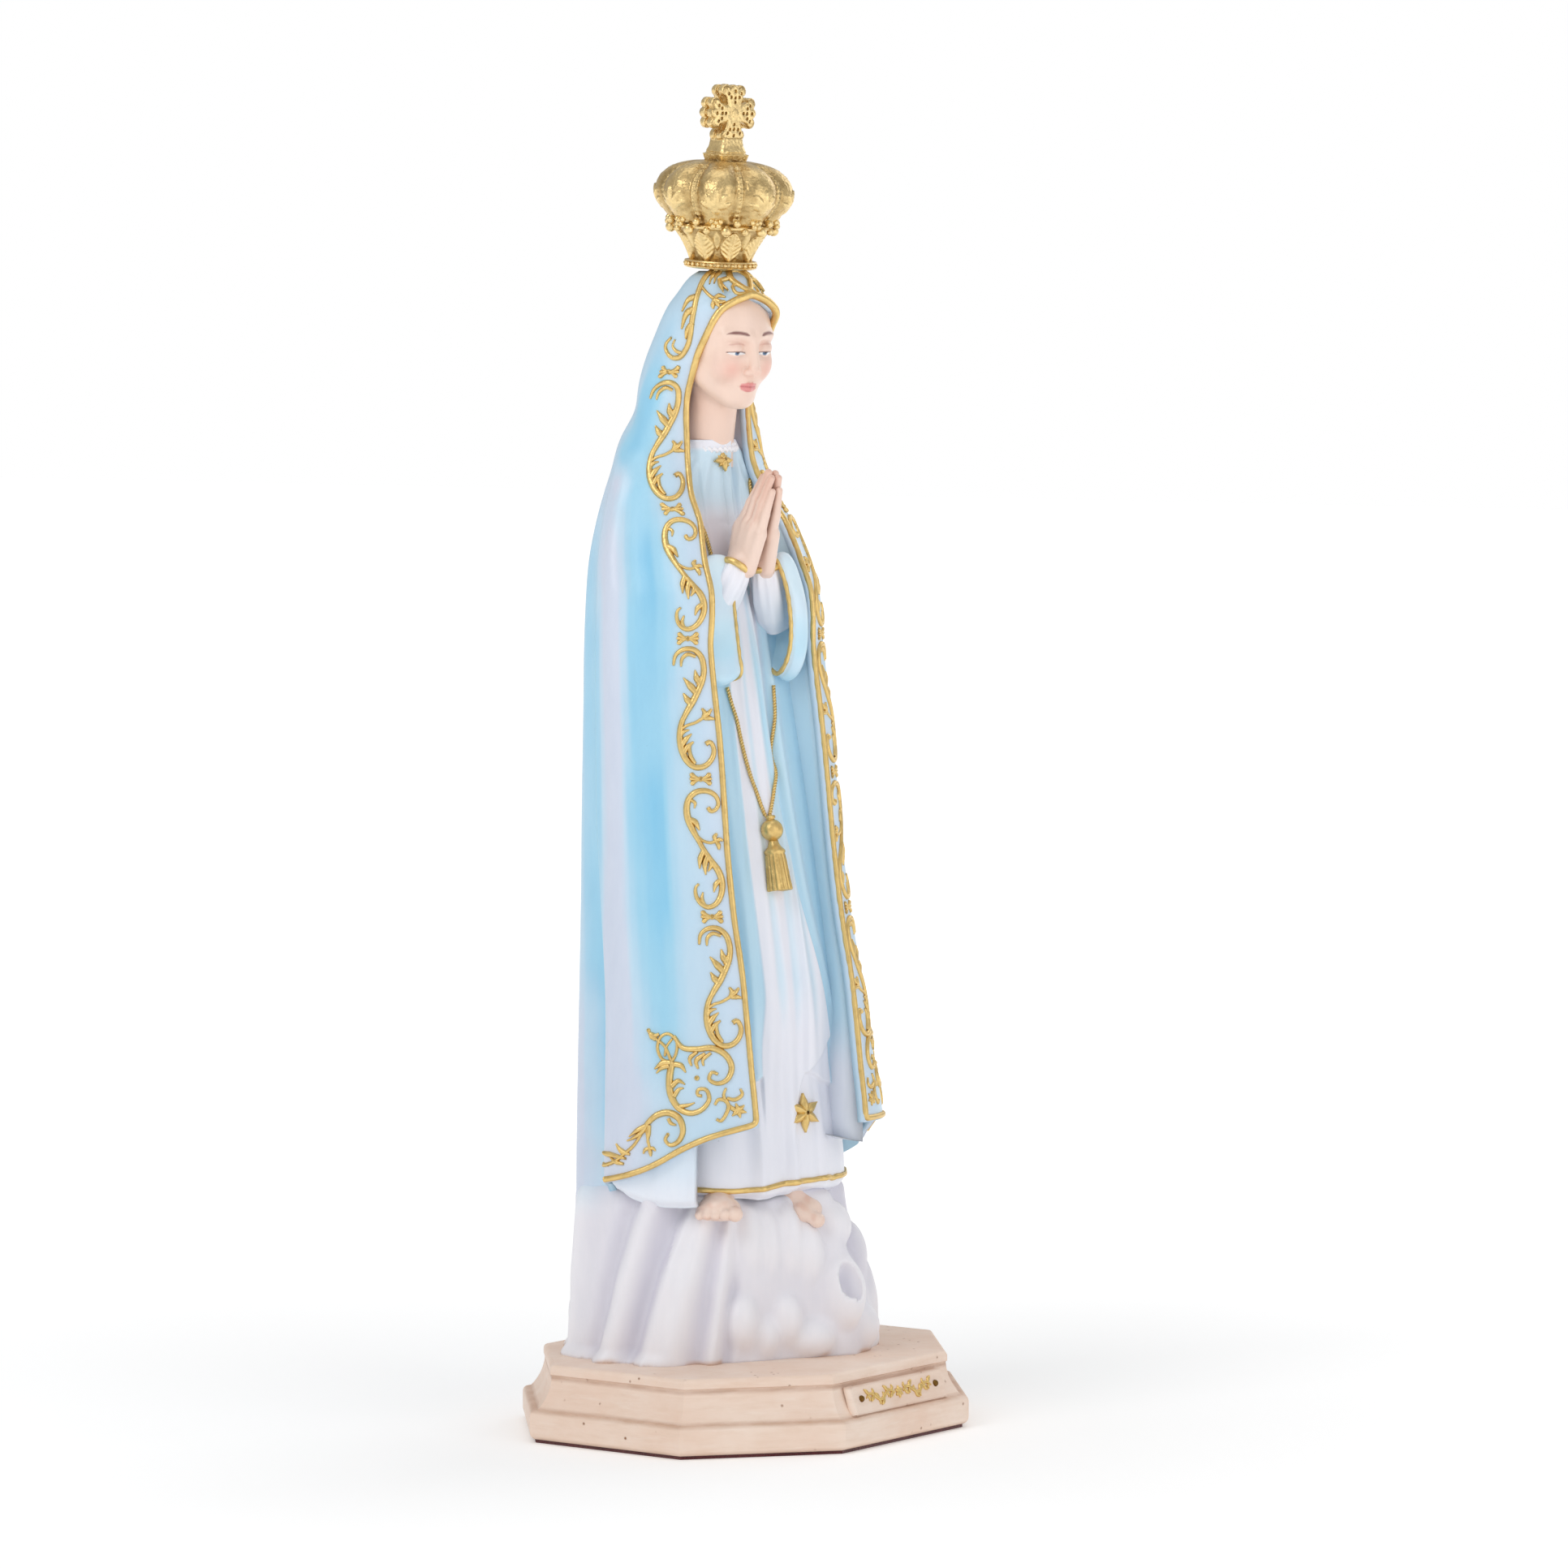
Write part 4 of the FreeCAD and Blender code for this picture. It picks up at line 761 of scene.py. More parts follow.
# blue of the airbrush across the cloak: rows by height, columns by psi
PAINT_Z = [90, 110, 135, 160, 180, 207, 240, 261, 290, 315, 330, 345, 365, 380]
PAINT_PSI = np.arange(20, 181, 4.0)
PAINT = np.array([
    (0.35, 0.35, 0.35, 0.35, 0.35, 0.35, 0.35, 0.35, 0.35, 0.35, 0.32, 0.25, 0.17, 0.13, 0.1, 0.07, 0.05, 0.11, 0.59, 0.41, 0.21, 0.16, 0.12, 0.09, 0.07, 0.05, 0.05, 0.16, 0.36, 0.56, 0.65, 0.44, 0.17, 0.32, 0.68, 0.53, 0.17, 0.29, 0.58, 0.51, 0.3),
    (0.3, 0.3, 0.3, 0.3, 0.3, 0.3, 0.3, 0.3, 0.33, 0.35, 0.32, 0.25, 0.17, 0.07, 0.05, 0.05, 0.05, 0.19, 0.85, 0.7, 0.42, 0.28, 0.2, 0.14, 0.09, 0.06, 0.05, 0.15, 0.35, 0.56, 0.65, 0.44, 0.17, 0.32, 0.68, 0.53, 0.17, 0.29, 0.58, 0.51, 0.3),
    (0.25, 0.25, 0.25, 0.25, 0.26, 0.27, 0.29, 0.35, 0.49, 0.64, 0.7, 0.6, 0.44, 0.24, 0.05, 0.06, 0.08, 0.32, 0.94, 0.75, 0.49, 0.37, 0.31, 0.27, 0.23, 0.21, 0.2, 0.26, 0.41, 0.58, 0.65, 0.44, 0.17, 0.32, 0.68, 0.53, 0.17, 0.29, 0.58, 0.51, 0.3),
    (0.2, 0.2, 0.2, 0.2, 0.23, 0.26, 0.3, 0.36, 0.51, 0.68, 0.84, 0.8, 0.65, 0.47, 0.2, 0.1, 0.1, 0.1, 0.61, 0.84, 0.77, 0.67, 0.56, 0.46, 0.4, 0.41, 0.45, 0.51, 0.58, 0.63, 0.65, 0.44, 0.17, 0.32, 0.68, 0.53, 0.17, 0.29, 0.58, 0.51, 0.3),
    (0.2, 0.2, 0.2, 0.21, 0.24, 0.28, 0.33, 0.39, 0.56, 0.95, 0.94, 0.9, 0.76, 0.56, 0.29, 0.19, 0.16, 0.15, 0.53, 0.8, 0.76, 0.68, 0.6, 0.53, 0.5, 0.51, 0.54, 0.58, 0.61, 0.64, 0.65, 0.44, 0.17, 0.32, 0.68, 0.53, 0.17, 0.29, 0.58, 0.51, 0.3),
    (0.2, 0.2, 0.2, 0.2, 0.23, 0.27, 0.31, 0.39, 0.51, 0.95, 0.98, 0.92, 0.86, 0.69, 0.24, 0.2, 0.2, 0.24, 0.64, 0.74, 0.7, 0.63, 0.57, 0.55, 0.56, 0.57, 0.59, 0.61, 0.63, 0.64, 0.65, 0.44, 0.17, 0.32, 0.68, 0.53, 0.17, 0.29, 0.58, 0.51, 0.3),
    (0.2, 0.2, 0.2, 0.23, 0.26, 0.31, 0.38, 0.48, 0.64, 0.79, 0.8, 0.8, 0.8, 0.45, 0.15, 0.16, 0.18, 0.28, 0.62, 0.7, 0.67, 0.64, 0.61, 0.6, 0.6, 0.61, 0.62, 0.63, 0.64, 0.65, 0.65, 0.44, 0.17, 0.32, 0.68, 0.53, 0.17, 0.29, 0.58, 0.51, 0.3),
    (0.2, 0.2, 0.2, 0.22, 0.25, 0.29, 0.42, 0.61, 0.78, 0.89, 0.9, 0.88, 0.82, 0.32, 0.12, 0.13, 0.14, 0.25, 0.57, 0.65, 0.63, 0.61, 0.6, 0.6, 0.61, 0.62, 0.63, 0.63, 0.64, 0.65, 0.65, 0.44, 0.17, 0.32, 0.68, 0.53, 0.17, 0.29, 0.58, 0.51, 0.3),
    (0.2, 0.2, 0.23, 0.25, 0.28, 0.32, 0.4, 0.57, 0.78, 1, 0.95, 0.83, 0.58, 0.23, 0.15, 0.15, 0.15, 0.15, 0.18, 0.31, 0.45, 0.51, 0.54, 0.56, 0.59, 0.61, 0.62, 0.63, 0.64, 0.65, 0.65, 0.44, 0.17, 0.32, 0.68, 0.53, 0.17, 0.29, 0.58, 0.51, 0.3),
    (0.2, 0.2, 0.2, 0.23, 0.28, 0.32, 0.37, 0.43, 0.54, 0.69, 0.75, 0.7, 0.61, 0.51, 0.41, 0.27, 0.17, 0.15, 0.15, 0.16, 0.17, 0.18, 0.19, 0.21, 0.26, 0.33, 0.42, 0.5, 0.58, 0.63, 0.65, 0.44, 0.17, 0.32, 0.68, 0.53, 0.17, 0.29, 0.58, 0.51, 0.3),
    (0.2, 0.2, 0.2, 0.2, 0.2, 0.23, 0.26, 0.29, 0.34, 0.41, 0.55, 0.69, 0.79, 0.83, 0.86, 0.89, 0.9, 0.89, 0.84, 0.77, 0.67, 0.57, 0.49, 0.42, 0.4, 0.42, 0.47, 0.53, 0.59, 0.63, 0.65, 0.44, 0.17, 0.32, 0.68, 0.53, 0.17, 0.29, 0.58, 0.51, 0.3),
    (0.2, 0.2, 0.2, 0.2, 0.2, 0.2, 0.2, 0.24, 0.28, 0.33, 0.38, 0.47, 0.61, 0.76, 0.84, 0.85, 0.84, 0.83, 0.81, 0.77, 0.6, 0.43, 0.4, 0.42, 0.45, 0.49, 0.54, 0.58, 0.61, 0.64, 0.65, 0.44, 0.17, 0.32, 0.68, 0.53, 0.17, 0.29, 0.58, 0.51, 0.3),
    (0.2, 0.2, 0.2, 0.2, 0.2, 0.2, 0.2, 0.2, 0.2, 0.2, 0.21, 0.24, 0.27, 0.3, 0.35, 0.41, 0.47, 0.5, 0.5, 0.49, 0.48, 0.47, 0.46, 0.45, 0.45, 0.48, 0.51, 0.56, 0.6, 0.64, 0.65, 0.44, 0.17, 0.32, 0.68, 0.53, 0.17, 0.29, 0.58, 0.51, 0.3),
    (0.3, 0.3, 0.3, 0.3, 0.3, 0.3, 0.3, 0.3, 0.31, 0.31, 0.32, 0.32, 0.32, 0.33, 0.33, 0.34, 0.34, 0.35, 0.36, 0.38, 0.4, 0.43, 0.46, 0.49, 0.53, 0.56, 0.59, 0.61, 0.63, 0.65, 0.65, 0.44, 0.17, 0.32, 0.68, 0.53, 0.17, 0.29, 0.58, 0.51, 0.3),
])


WHITE, LILAC = rgb("F3F1F8"), rgb("CDD6E7")
PALE, SKY, DEEP = rgb("BED9EC"), rgb("9BD0EA"), rgb("7BC2E6")


def airbrush(psi, z, side):
    j = np.clip((psi - 20) / 4.0, 0, len(PAINT_PSI) - 1.001)
    i = np.interp(z, PAINT_Z, np.arange(len(PAINT_Z)))
    i0, j0 = np.floor(np.clip(i, 0, len(PAINT_Z) - 1.001)).astype(int), np.floor(j).astype(int)
    fi, fj = i - i0, j - j0
    fi, fj = fi * fi * (3 - 2 * fi), fj * fj * (3 - 2 * fj)
    v = (
        PAINT[i0, j0] * (1 - fi) * (1 - fj)
        + PAINT[i0 + 1, j0] * fi * (1 - fj)
        + PAINT[i0, j0 + 1] * (1 - fi) * fj
        + PAINT[i0 + 1, j0 + 1] * fi * fj
    )
    return v


def sky(v):
    """Lilac-white through sky blue, by amount of airbrush."""
    v = np.asarray(v, float)
    c = mix(LILAC, PALE, smooth(0.05, 0.35, v))
    c = mix(c, SKY, smooth(0.3, 0.75, v))
    return mix(c, DEEP, smooth(0.72, 1.1, v))


def build_mantle():
    nt, nz = ((560, 460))
    t = np.linspace(0, 1, nt)
    v = np.linspace(0, 1, nz)

    def psi_side(z):
        e = edge_psi(z)
        x = e + (360 - 2 * e) * t[None, :]
        side = np.where(x <= 180, -1.0, 1.0)
        return np.where(x <= 180, x, 360 - x), side

    z = np.full((nz, nt), 100.0)
    ps, side = psi_side(z)
    zh = hem_z(ps, side)
    for _ in range(2):
        z = zh + v[:, None] * (TOP - zh)
        ps, side = psi_side(z)
        zh = hem_z(ps[:1] * 1.0, side[:1]) + 0 * z
    z = zh + v[:, None] * (TOP - zh)
    ps, side = psi_side(z)
    O, N = mantle(ps, side, z)
    blue = airbrush(ps, z, side)
    blue = blue - 0.16 * smooth(0.2, 1.2, folds(ps, side, z))
    blue = blue + 0.06 * noise(O, 16.0, 3)
    C = sky(blue)
    e = edge_psi(z)
    # pale border strip beside the piping, and pale hem border
    strip = smooth(15, 4, (ps - e)) * smooth(60, 120, z)
    C = mix(C, rgb("CCDDF0"), 0.6 * strip)
    # thickness: an even 2.6 mm
    thick = 2.6 + 0 * z
    I = O - N * thick[..., None]
    # painted shade: the inner face of the cloak is darker towards the bottom
    inner_col_with_shade = mix(rgb("C9DDEC"), rgb("A9CBDD"), smooth(330, 150, z))
    B = Build()
    nO = nz * nt
    idO = np.arange(nO).reshape(nz, nt)
    idI = idO + nO
    closed = edge_psi(z[:, 0]) < 0.01
    # rows above the peak close on themselves
    for ids in (idO, idI):
        ids[closed, -1] = ids[closed, 0]
    Q = [
        np.stack([idO[:-1, :-1], idO[:-1, 1:], idO[1:, 1:], idO[1:, :-1]], -1).reshape(-1, 4),
        np.stack([idI[:-1, :-1], idI[1:, :-1], idI[1:, 1:], idI[:-1, 1:]], -1).reshape(-1, 4),
        np.stack([idO[0, :-1], idI[0, :-1], idI[0, 1:], idO[0, 1:]], -1),
    ]
    n_open = int((~closed).sum())
    k = np.arange(n_open)
    k = k[: -1] if n_open == nz else k
    Q.append(np.stack([idO[k, 0], idO[k + 1, 0], idI[k + 1, 0], idI[k, 0]], -1))
    Q.append(np.stack([idO[k, -1], idI[k, -1], idI[k + 1, -1], idO[k + 1, -1]], -1))
    V = np.vstack([O.reshape(-1, 3), I.reshape(-1, 3)])
    # close the crown of the veil, outside and in
    top = len(V)
    cO, cI = O[-1].mean(0), I[-1].mean(0) - [0, 0, 2.4]
    V = np.vstack([V, cO, cI])
    a, b = idO[-1, :-1], idO[-1, 1:]
    T = [np.stack([a, b, np.full(len(a), top)], -1)]
    a, b = idI[-1, :-1], idI[-1, 1:]
    T.append(np.stack([b, a, np.full(len(a), top + 1)], -1))
    Q, T = np.vstack(Q), np.vstack(T)
    # drop quads that lost an edge where the sheet closes
    bad = (np.sort(Q, 1)[:, 1:] == np.sort(Q, 1)[:, :-1]).any(1)
    col = np.vstack([C.reshape(-1, 3), inner_col_with_shade.reshape(-1, 3), C[-1].mean(0), inner_col_with_shade[-1].mean(0)])
    B.add(V, Q[~bad], T, col)
    B.object("cloak", "root", M_CLOTH, ["mantle"])

    # under-layer that shows below the right front hem
    ps = np.linspace(49.5, 91, 120)
    low = pchip([44, 48, 60, 70, 80, 87, 91], [78.6, 78.2, 78.0, 79.2, 81.5, 84.5, 85.5], ps)
    vv = np.linspace(0, 1, 40)
    Z = low[None] + vv[:, None] * (112 - low[None])
    inset = 3.0 + 0.5 * np.sin(ps / 5)[None] + 2.2 * (1 - smooth(0, 0.10, vv))[:, None] ** 2 + 1.6 * bump(ps, 49.5, 2)[None]
    P, _n = mantle(ps[None], -1, Z, -inset)
    R = np.concatenate([P, mantle(ps[None], -1, Z, -inset - 3.5)[0][:, ::-1]], 1)
    V, Q, T = rings(R)
    B = Build()
    zz = V[:, 2]
    B.add(V, Q, T, mix(rgb("E9EEF8"), rgb("DCE9F6"), smooth(80, 92, zz)))
    B.object("cloak_lining", "root", M_CLOTH)


build_mantle()


def build_inner():
    """The casting behind the gown, neck and face, from one front edge of the
    cloak round to the other."""
    z = np.concatenate([np.linspace(97, 372, 150), np.linspace(373, 379, 6)])
    t = np.linspace(0, 1, 61)
    R = []
    for zz in z:
        u = 1.6 if zz < 372 else 1.2
        a, na = border(-1, np.array(u), np.array(zz), -1.5)
        b, nb = border(1, np.array(u), np.array(zz), -1.5)
        D = float(np.interp(zz, [97, 110, 122, 132, 200, 260, 300, 325, 345, 360, 372, 379], [44, 37, 28, 23, 18, 14, 12, 11, 9.5, 10, 7, 2.5]))
        e = float(np.interp(zz, [280, 320], [10, 4]))
        path = a + (b - a) * t[:, None]
        path[:, 1] -= D * (1 - np.abs(2 * t - 1) ** e)
        path[:, 2] = zz + 16 * smooth(0.62, 0.34, t) * float(smooth(160, 97, np.array(zz)))
        path[:, 1] += 0.5 * noise(np.stack([path[:, 0], path[:, 1], np.full(61, zz * 0.25)], 1), 7.0, 12) * (1 - (2 * t - 1) ** 6)
        back = path.copy()
        back[:, 1] -= 1.6
        R.append(np.vstack([path, back[::-1]]))
    R = np.array(R)
    V, Q, T = rings(R)
    C = mix(rgb("D3EAF6"), rgb("C2E1F1"), smooth(300, 200, V[:, 2]))
    C = mix(C, rgb("DCDFEA"), smooth(312, 332, V[:, 2]))
    C = mix(C, rgb("E2E8F3"), smooth(142, 118, V[:, 2]))
    B = Build()
    B.add(V, Q, T, C)
    B.object("cloak_inner", "root", M_CLOTH)


build_inner()

# ---------------------------------------------------------------- the gown
GOWN = np.array([
    (78, 45.0, 36.4, -2), (84, 46.2, 37.6, -2.2), (105, 43.6, 34.2, -3.6), (125, 42.2, 32.2, -2.8), (150, 40.6, 30.2, -1.4), (201, 38, 26.2, 4.2),
    (250, 36, 24, 11), (290, 33.5, 19.6, 15), (312, 27, 15.6, 16.5), (322, 19, 12.6, 14.6), (328, 13, 10.6, 12.2), (331.5, 10, 9.9, 11.5),
])


def gown_relief(L, z, psi, side):
    """Cloth relief over the plain section: pleats, two layers and their hems;
    also the amount of blue."""
    front = smooth(100, 70, psi)
    # centre pleats
    top = smooth(300, 262, z)
    k = 1.0 + 0.9 * smooth(240, 110, z)
    d = np.zeros_like(L)
    for c, w, h in ((-3.6, 1.6, 1.0), (0.6, 1.5, 0.9), (4.9, 1.7, 1.1), (-7.4, 1.3, 0.7), (8.6, 1.5, 0.5)):
        d = d + h * top * bump(L, c * k + 1.2 * np.sin(z / 38.0 + c), w * k)
    for c, w, h in ((-1.5, 1.0, -0.5), (2.7, 1.0, -0.6), (7.0, 1.0, -0.5)):
        d = d + h * top * bump(L, c * k + 1.2 * np.sin(z / 38.0 + c), w * k)
    # blue side panels with a stepped hem
    hem_r = pchip([-40, -20, -14, -9.5, -7.5], [112, 115, 118, 121.5, 128], L)
    hem_l = pchip([4, 8, 12, 18, 22, 30, 44], [121, 120.5, 119.5, 116.5, 115.5, 113, 112], L)
    er = -8.2 - 2.5 * smooth(150, 125, z)
    pan_r = smooth(er + 0.5, er - 0.6, L) * smooth(hem_r - 0.5, hem_r + 0.5, z)
    el = pchip([110, 122, 131, 150, 186, 230, 280], [22, 21.5, 20.4, 16.1, 9.2, 6.0, 4.0], z)
    cen_low = pchip([0, 7.8, 12, 17, 20.4, 24], [90, 120, 123.5, 128, 131.5, 133], L)
    cen = smooth(el + 0.5, el - 0.7, L) * smooth(er - 0.6, er + 0.5, L) * smooth(cen_low - 0.6, cen_low + 0.7, z)
    pan_l = smooth(6.5, 8.0, L) * smooth(hem_l - 0.5, hem_l + 0.5, z)
    d = d + 1.5 * pan_r + 1.4 * pan_l + 1.9 * cen * smooth(92, 128, z)
    # folds of the left panel
    d = d + 0.9 * bump(L, el + 4.5, 2.0) * smooth(290, 240, z) * smooth(112, 122, z) - 0.7 * bump(L, el + 1.6, 1.2) * smooth(118, 124, z)
    d = d + 0.8 * bump(L, 27, 2.6) * smooth(300, 230, z)
    d = d - 0.8 * bump(L, -17, 2.4) * smooth(290, 230, z) * smooth(112, 122, z) + 0.6 * bump(L, -12.5, 1.8)
    # broad folds of the skirt below
    s = smooth(150, 112, z)
    for c, w, h in ((-31, 4, 1.0), (-22, 4.5, 1.3), (-10, 4.0, 1.6), (2, 4.2, 1.2), (13.5, 3.8, 1.4), (24, 3.6, 1.1), (34, 4, 1.0)):
        cc = c + 3.5 * np.sin((z - 82) / 26.0 + c * 0.13) * 0.8
        d = d + s * h * (bump(L, cc, w) - 0.42)
    # bodice gathers
    b = smooth(296, 306, z) * smooth(328, 320, z)
    d = d + 0.28 * b * np.cos(np.radians(psi) * 26 + 1.5 * side) - 0.5 * bump(z, 303.5, 1.6)
    # back: plain deep folds
    back = smooth(80, 110, psi)
    d = d * front + back * 1.2 * np.cos(np.radians(psi) * 13)
    blue = 0.72 * pan_r + 0.8 * pan_l * (1 - cen) * smooth(el - 0.5, el + 1.5, L)
    blue = blue - 0.25 * bump(L, el + 5.5, 2.2) + 0.18 * bump(L, -16.5, 3.0) * pan_r
    for c, w in ((-1.5, 1.3), (2.7, 1.3), (7.0, 1.4)):
        blue = blue + 0.28 * cen * smooth(120, 150, z) * bump(L, c * k + 1.2 * np.sin(z / 38.0 + c), w * k)
    blue = blue + 0.5 * bump(L, el - 2.0, 1.8) * smooth(180, 215, z) * smooth(275, 250, z)
    blue = blue * smooth(109, 118, z) * (0.55 + 0.45 * smooth(112, 150, z))
    return d, blue


def build_gown():
    nu, nz = ((620, 420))
    a = np.linspace(-np.pi, np.pi, nu, endpoint=False)
    # more columns at the front
    a = a - 0.42 * np.sin(a)
    z = np.linspace(0, 1, nz)
    z = 79.5 + (331.5 - 79.5) * z
    A, Z = np.meshgrid(a, z, indexing="xy")
    ga, gb, gc = (pchip(GOWN[:, 0], GOWN[:, k], Z) for k in (1, 2, 3))
    L0, F0 = ga * np.sin(A), -gc + gb * np.cos(A)
    psi, side = np.abs(np.degrees(A)), np.sign(A)
    d, blue = gown_relief(L0, Z, psi, side)
    # rounded under-edge at the hem, a little wavy
    wave = 0.9 * np.sin(A * 7 + 0.6) + 0.6 * np.sin(A * 11)
    d = d - 3.0 * (1 - smooth(79.5, 82.6, Z)) ** 2 * 1.2
    nx, ny = np.sin(A) / ga, np.cos(A) / gb
    ln = np.hypot(nx, ny)
    P = np.stack([L0 + nx / ln * d, F0 + ny / ln * d, Z + wave * smooth(120, 80, Z) * 0.6], -1)
    V, Q, T = rings(P)
    blue = blue + 0.05 * noise(P, 14, 5)
    # bodice: light blue yoke above, white between the hands
    yoke = smooth(299, 317, Z) * smooth(330, 327, Z) * smooth(80, 50, psi)
    blue = np.where(Z > 285, blue * smooth(296, 288, Z) + 0.42 * yoke, blue)
    C = mix(rgb("EDEEF7"), rgb("CFE6F5"), smooth(0.04, 0.4, blue))
    C = mix(C, rgb("B4DDF1"), smooth(0.35, 0.95, blue))
    # faint painted warm shade where the hands meet the breast
    C = mix(C, rgb("EBD9DC"), 0.5 * bump(Z, 298, 9) * bump(L0, -7, 6))
    C = np.vstack([C.reshape(-1, 3), C[0].mean(0), C[-1].mean(0)])
    B = Build()
    B.add(V, Q, T, C)
    B.object("gown_cloth", "root", M_GOWN, ["gown"])
    return P


def gown_point(L, z, off=0.0):
    """Point on the front of the gown at sideways place L."""
    L, z = np.broadcast_arrays(np.asarray(L, float), np.asarray(z, float))

    def at(L, z):
        ga, gb, gc = (pchip(GOWN[:, 0], GOWN[:, k], z) for k in (1, 2, 3))
        p = np.arcsin(np.clip(L / ga, -0.98, 0.98))
        F = -gc + gb * np.cos(p)
        d, _ = gown_relief(L, z, np.abs(np.degrees(p)), np.sign(L))
        nx, ny = np.sin(p) / ga, np.cos(p) / gb
        ln = np.hypot(nx, ny)
        return np.stack([L + nx / ln * d, F + ny / ln * d, z], -1)

    P = at(L, z)
    A = at(L + 0.3, z) - at(L - 0.3, z)
    B_ = at(L, z + 0.3) - at(L, z - 0.3)
    N = np.cross(A, B_)
    N /= np.linalg.norm(N, axis=-1)[..., None]
    N = N * np.sign(N[..., 1:2])
    return P + N * off, N


build_gown()

# ---------------------------------------------------------------- the cloud
FOOTPRINT = np.array([
    (-180, 46), (-150, 47.5), (-125, 49.2), (-95, 55.5), (-69, 53.0), (-46, 46.9), (-24, 39.5), (-6, 38.6), (10, 41.2),
    (26, 49.6), (39, 50.6), (60, 51), (90, 52), (120, 50.5), (150, 47.5), (180, 46),
])


def cloud_r(al, z):
    r = pchip(FOOTPRINT[:, 0], FOOTPRINT[:, 1], al)
    side = smooth(-52, -72, al) + smooth(52, 75, al)
    top = 1 - 0.155 * smooth(50, 80, z) * (1 - side)
    top = top - 0.02 * smooth(24, 50, z) - 0.02 * smooth(50, 76, z) * side
    front_in = smooth(24, 34, al) * smooth(62, 46, al)
    r = r * top - 5.0 * front_in * smooth(40, 70, z)
    # narrows to the hem on the figure's left, tucks under the cloak elsewhere
    r = r - 6.0 * smooth(28, 50, al) * smooth(120, 85, al) * smooth(40, 82, z)
    r = r - 1.6 * side * smooth(76, 86, z) + 2.8 * smooth(30.5, 25, z) * side
    t = np.clip((78 - z) / 54, 0, 1)
    # long soft ridges and valleys that sweep down and to the sides
    def run(c_top, c_bot, w, h, z0=20, z1=90):
        return 1.75 * h * bump(al, c_top + (c_bot - c_top) * t**0.8, w) * smooth(z0 - 4, z0 + 8, z) * smooth(z1 + 4, z1 - 8, z)
    d = run(-58, -76, 4.2, -2.4) + run(-75, -92, 4.0, -1.7) + run(-66, -84, 5.0, 1.2)
    d = d + run(-45, -60, 5.5, 1.6) + run(-38, -50, 3.8, -1.6) + run(-52, -68, 3.2, 0.9)
    d = d + run(-34, -43, 4.0, 1.2) + run(-27, -38, 3.0, -1.6, 20, 56)
    d = d + run(-100, -108, 5, 1.6) + run(-112, -118, 5, -1.7) + run(-126, -128, 6, 1.6)
    for c, w, h in ((-142, 5, -1.8), (-156, 6, 1.6), (-170, 5, -1.6), (174, 6, 1.4), (158, 5, -1.8), (143, 6, 1.7), (127, 5, -1.7), (112, 6, 1.5), (97, 5, -1.7), (82, 6, 1.4), (66, 4.5, -1.6), (53, 5, 1.2)):
        d = d + run(c * 0.98, c * 1.01, w, h)
    return r + d


LUMPS = [
    # angle, height, sink, (across, out, up)
    (-29.5, 38.5, 4.2, (6.8, 5.6, 10.5)), (-3.6, 38, 3.8, (6.3, 5.6, 10.0)), (11.5, 31.5, 5.0, (9.5, 7.0, 7.6)),
    (-24, 64, 5.0, (6.6, 5.6, 14)), (-12, 63, 5.2, (5.2, 5.6, 13)), (1.0, 63, 4.6, (5.6, 5.8, 14)), (11, 60, 5.2, (6.0, 6.2, 12)),
    (24, 46, 4.2, (7.0, 6.6, 13)), (29, 68, 4.0, (6.5, 6.0, 9)), (36, 34, 4.5, (6.6, 6.0, 9)), (47, 56, 5, (7, 6, 13)),
    (-16, 33, 5.0, (5.4, 5.2, 8)), (63, 36, 5, (7.5, 6, 11)), (84, 50, 5, (7, 6, 16)), (104, 36, 5, (8, 6, 11)), (128, 50, 5, (8, 6, 16)), (-150, 44, 5, (8, 6, 16)), (-134, 36, 5, (8, 6, 12)), (172, 40, 5, (9, 6, 13)),
]


def cloud_f(P):
    al = np.degrees(np.arctan2(P[..., 0], P[..., 1]))
    r = np.hypot(P[..., 0], P[..., 1])
    z = P[..., 2]
    f = (r - cloud_r(al, z)) * 0.92
    for a, h, sink, (w, o, u) in LUMPS:
        p = math.radians(a)
        n = np.array([math.sin(p), math.cos(p), 0])
        t = np.array([math.cos(p), -math.sin(p), 0])
        c = n * (float(cloud_r(np.array(a * 1.0), np.array(h * 1.0))) - sink) + [0, 0, h]
        rot = np.stack([t, n, [0, 0, 1]], 1)
        f = u_(f, s_ell(P, c, (w, o + 2.9, u), rot), 2.2)
    # curl with a hollow in its middle
    p = math.radians(21)
    n = np.array([math.sin(p), math.cos(p), 0])
    t = np.array([math.cos(p), -math.sin(p), 0])
    rot = np.stack([t, n, [0, 0, 1]], 1)
    c = n * (float(cloud_r(np.array(21.0), np.array(52.0))) + 2.6) + [0, 0, 51]
    f = cut_(f, s_ell(P, c, (3.2, 4.2, 6.6), rot), 1.4)
    f = cut_(f, s_ell(P, c + n * 0.8 + t * 1.2 - [0, 0, 3], (1.8, 3.4, 5.0), rot), 0.9)
    f = f + 0.35 * noise(P, 9.0, 2) * 0.8
    ztop = 80.5 + 5.5 * smooth(-54, -68, al) + 0.8 * np.sin(np.radians(al) * 5)
    f = both_(f, z - ztop, 5.0)
    f = np.maximum(f, 24.9 - z)
    return f


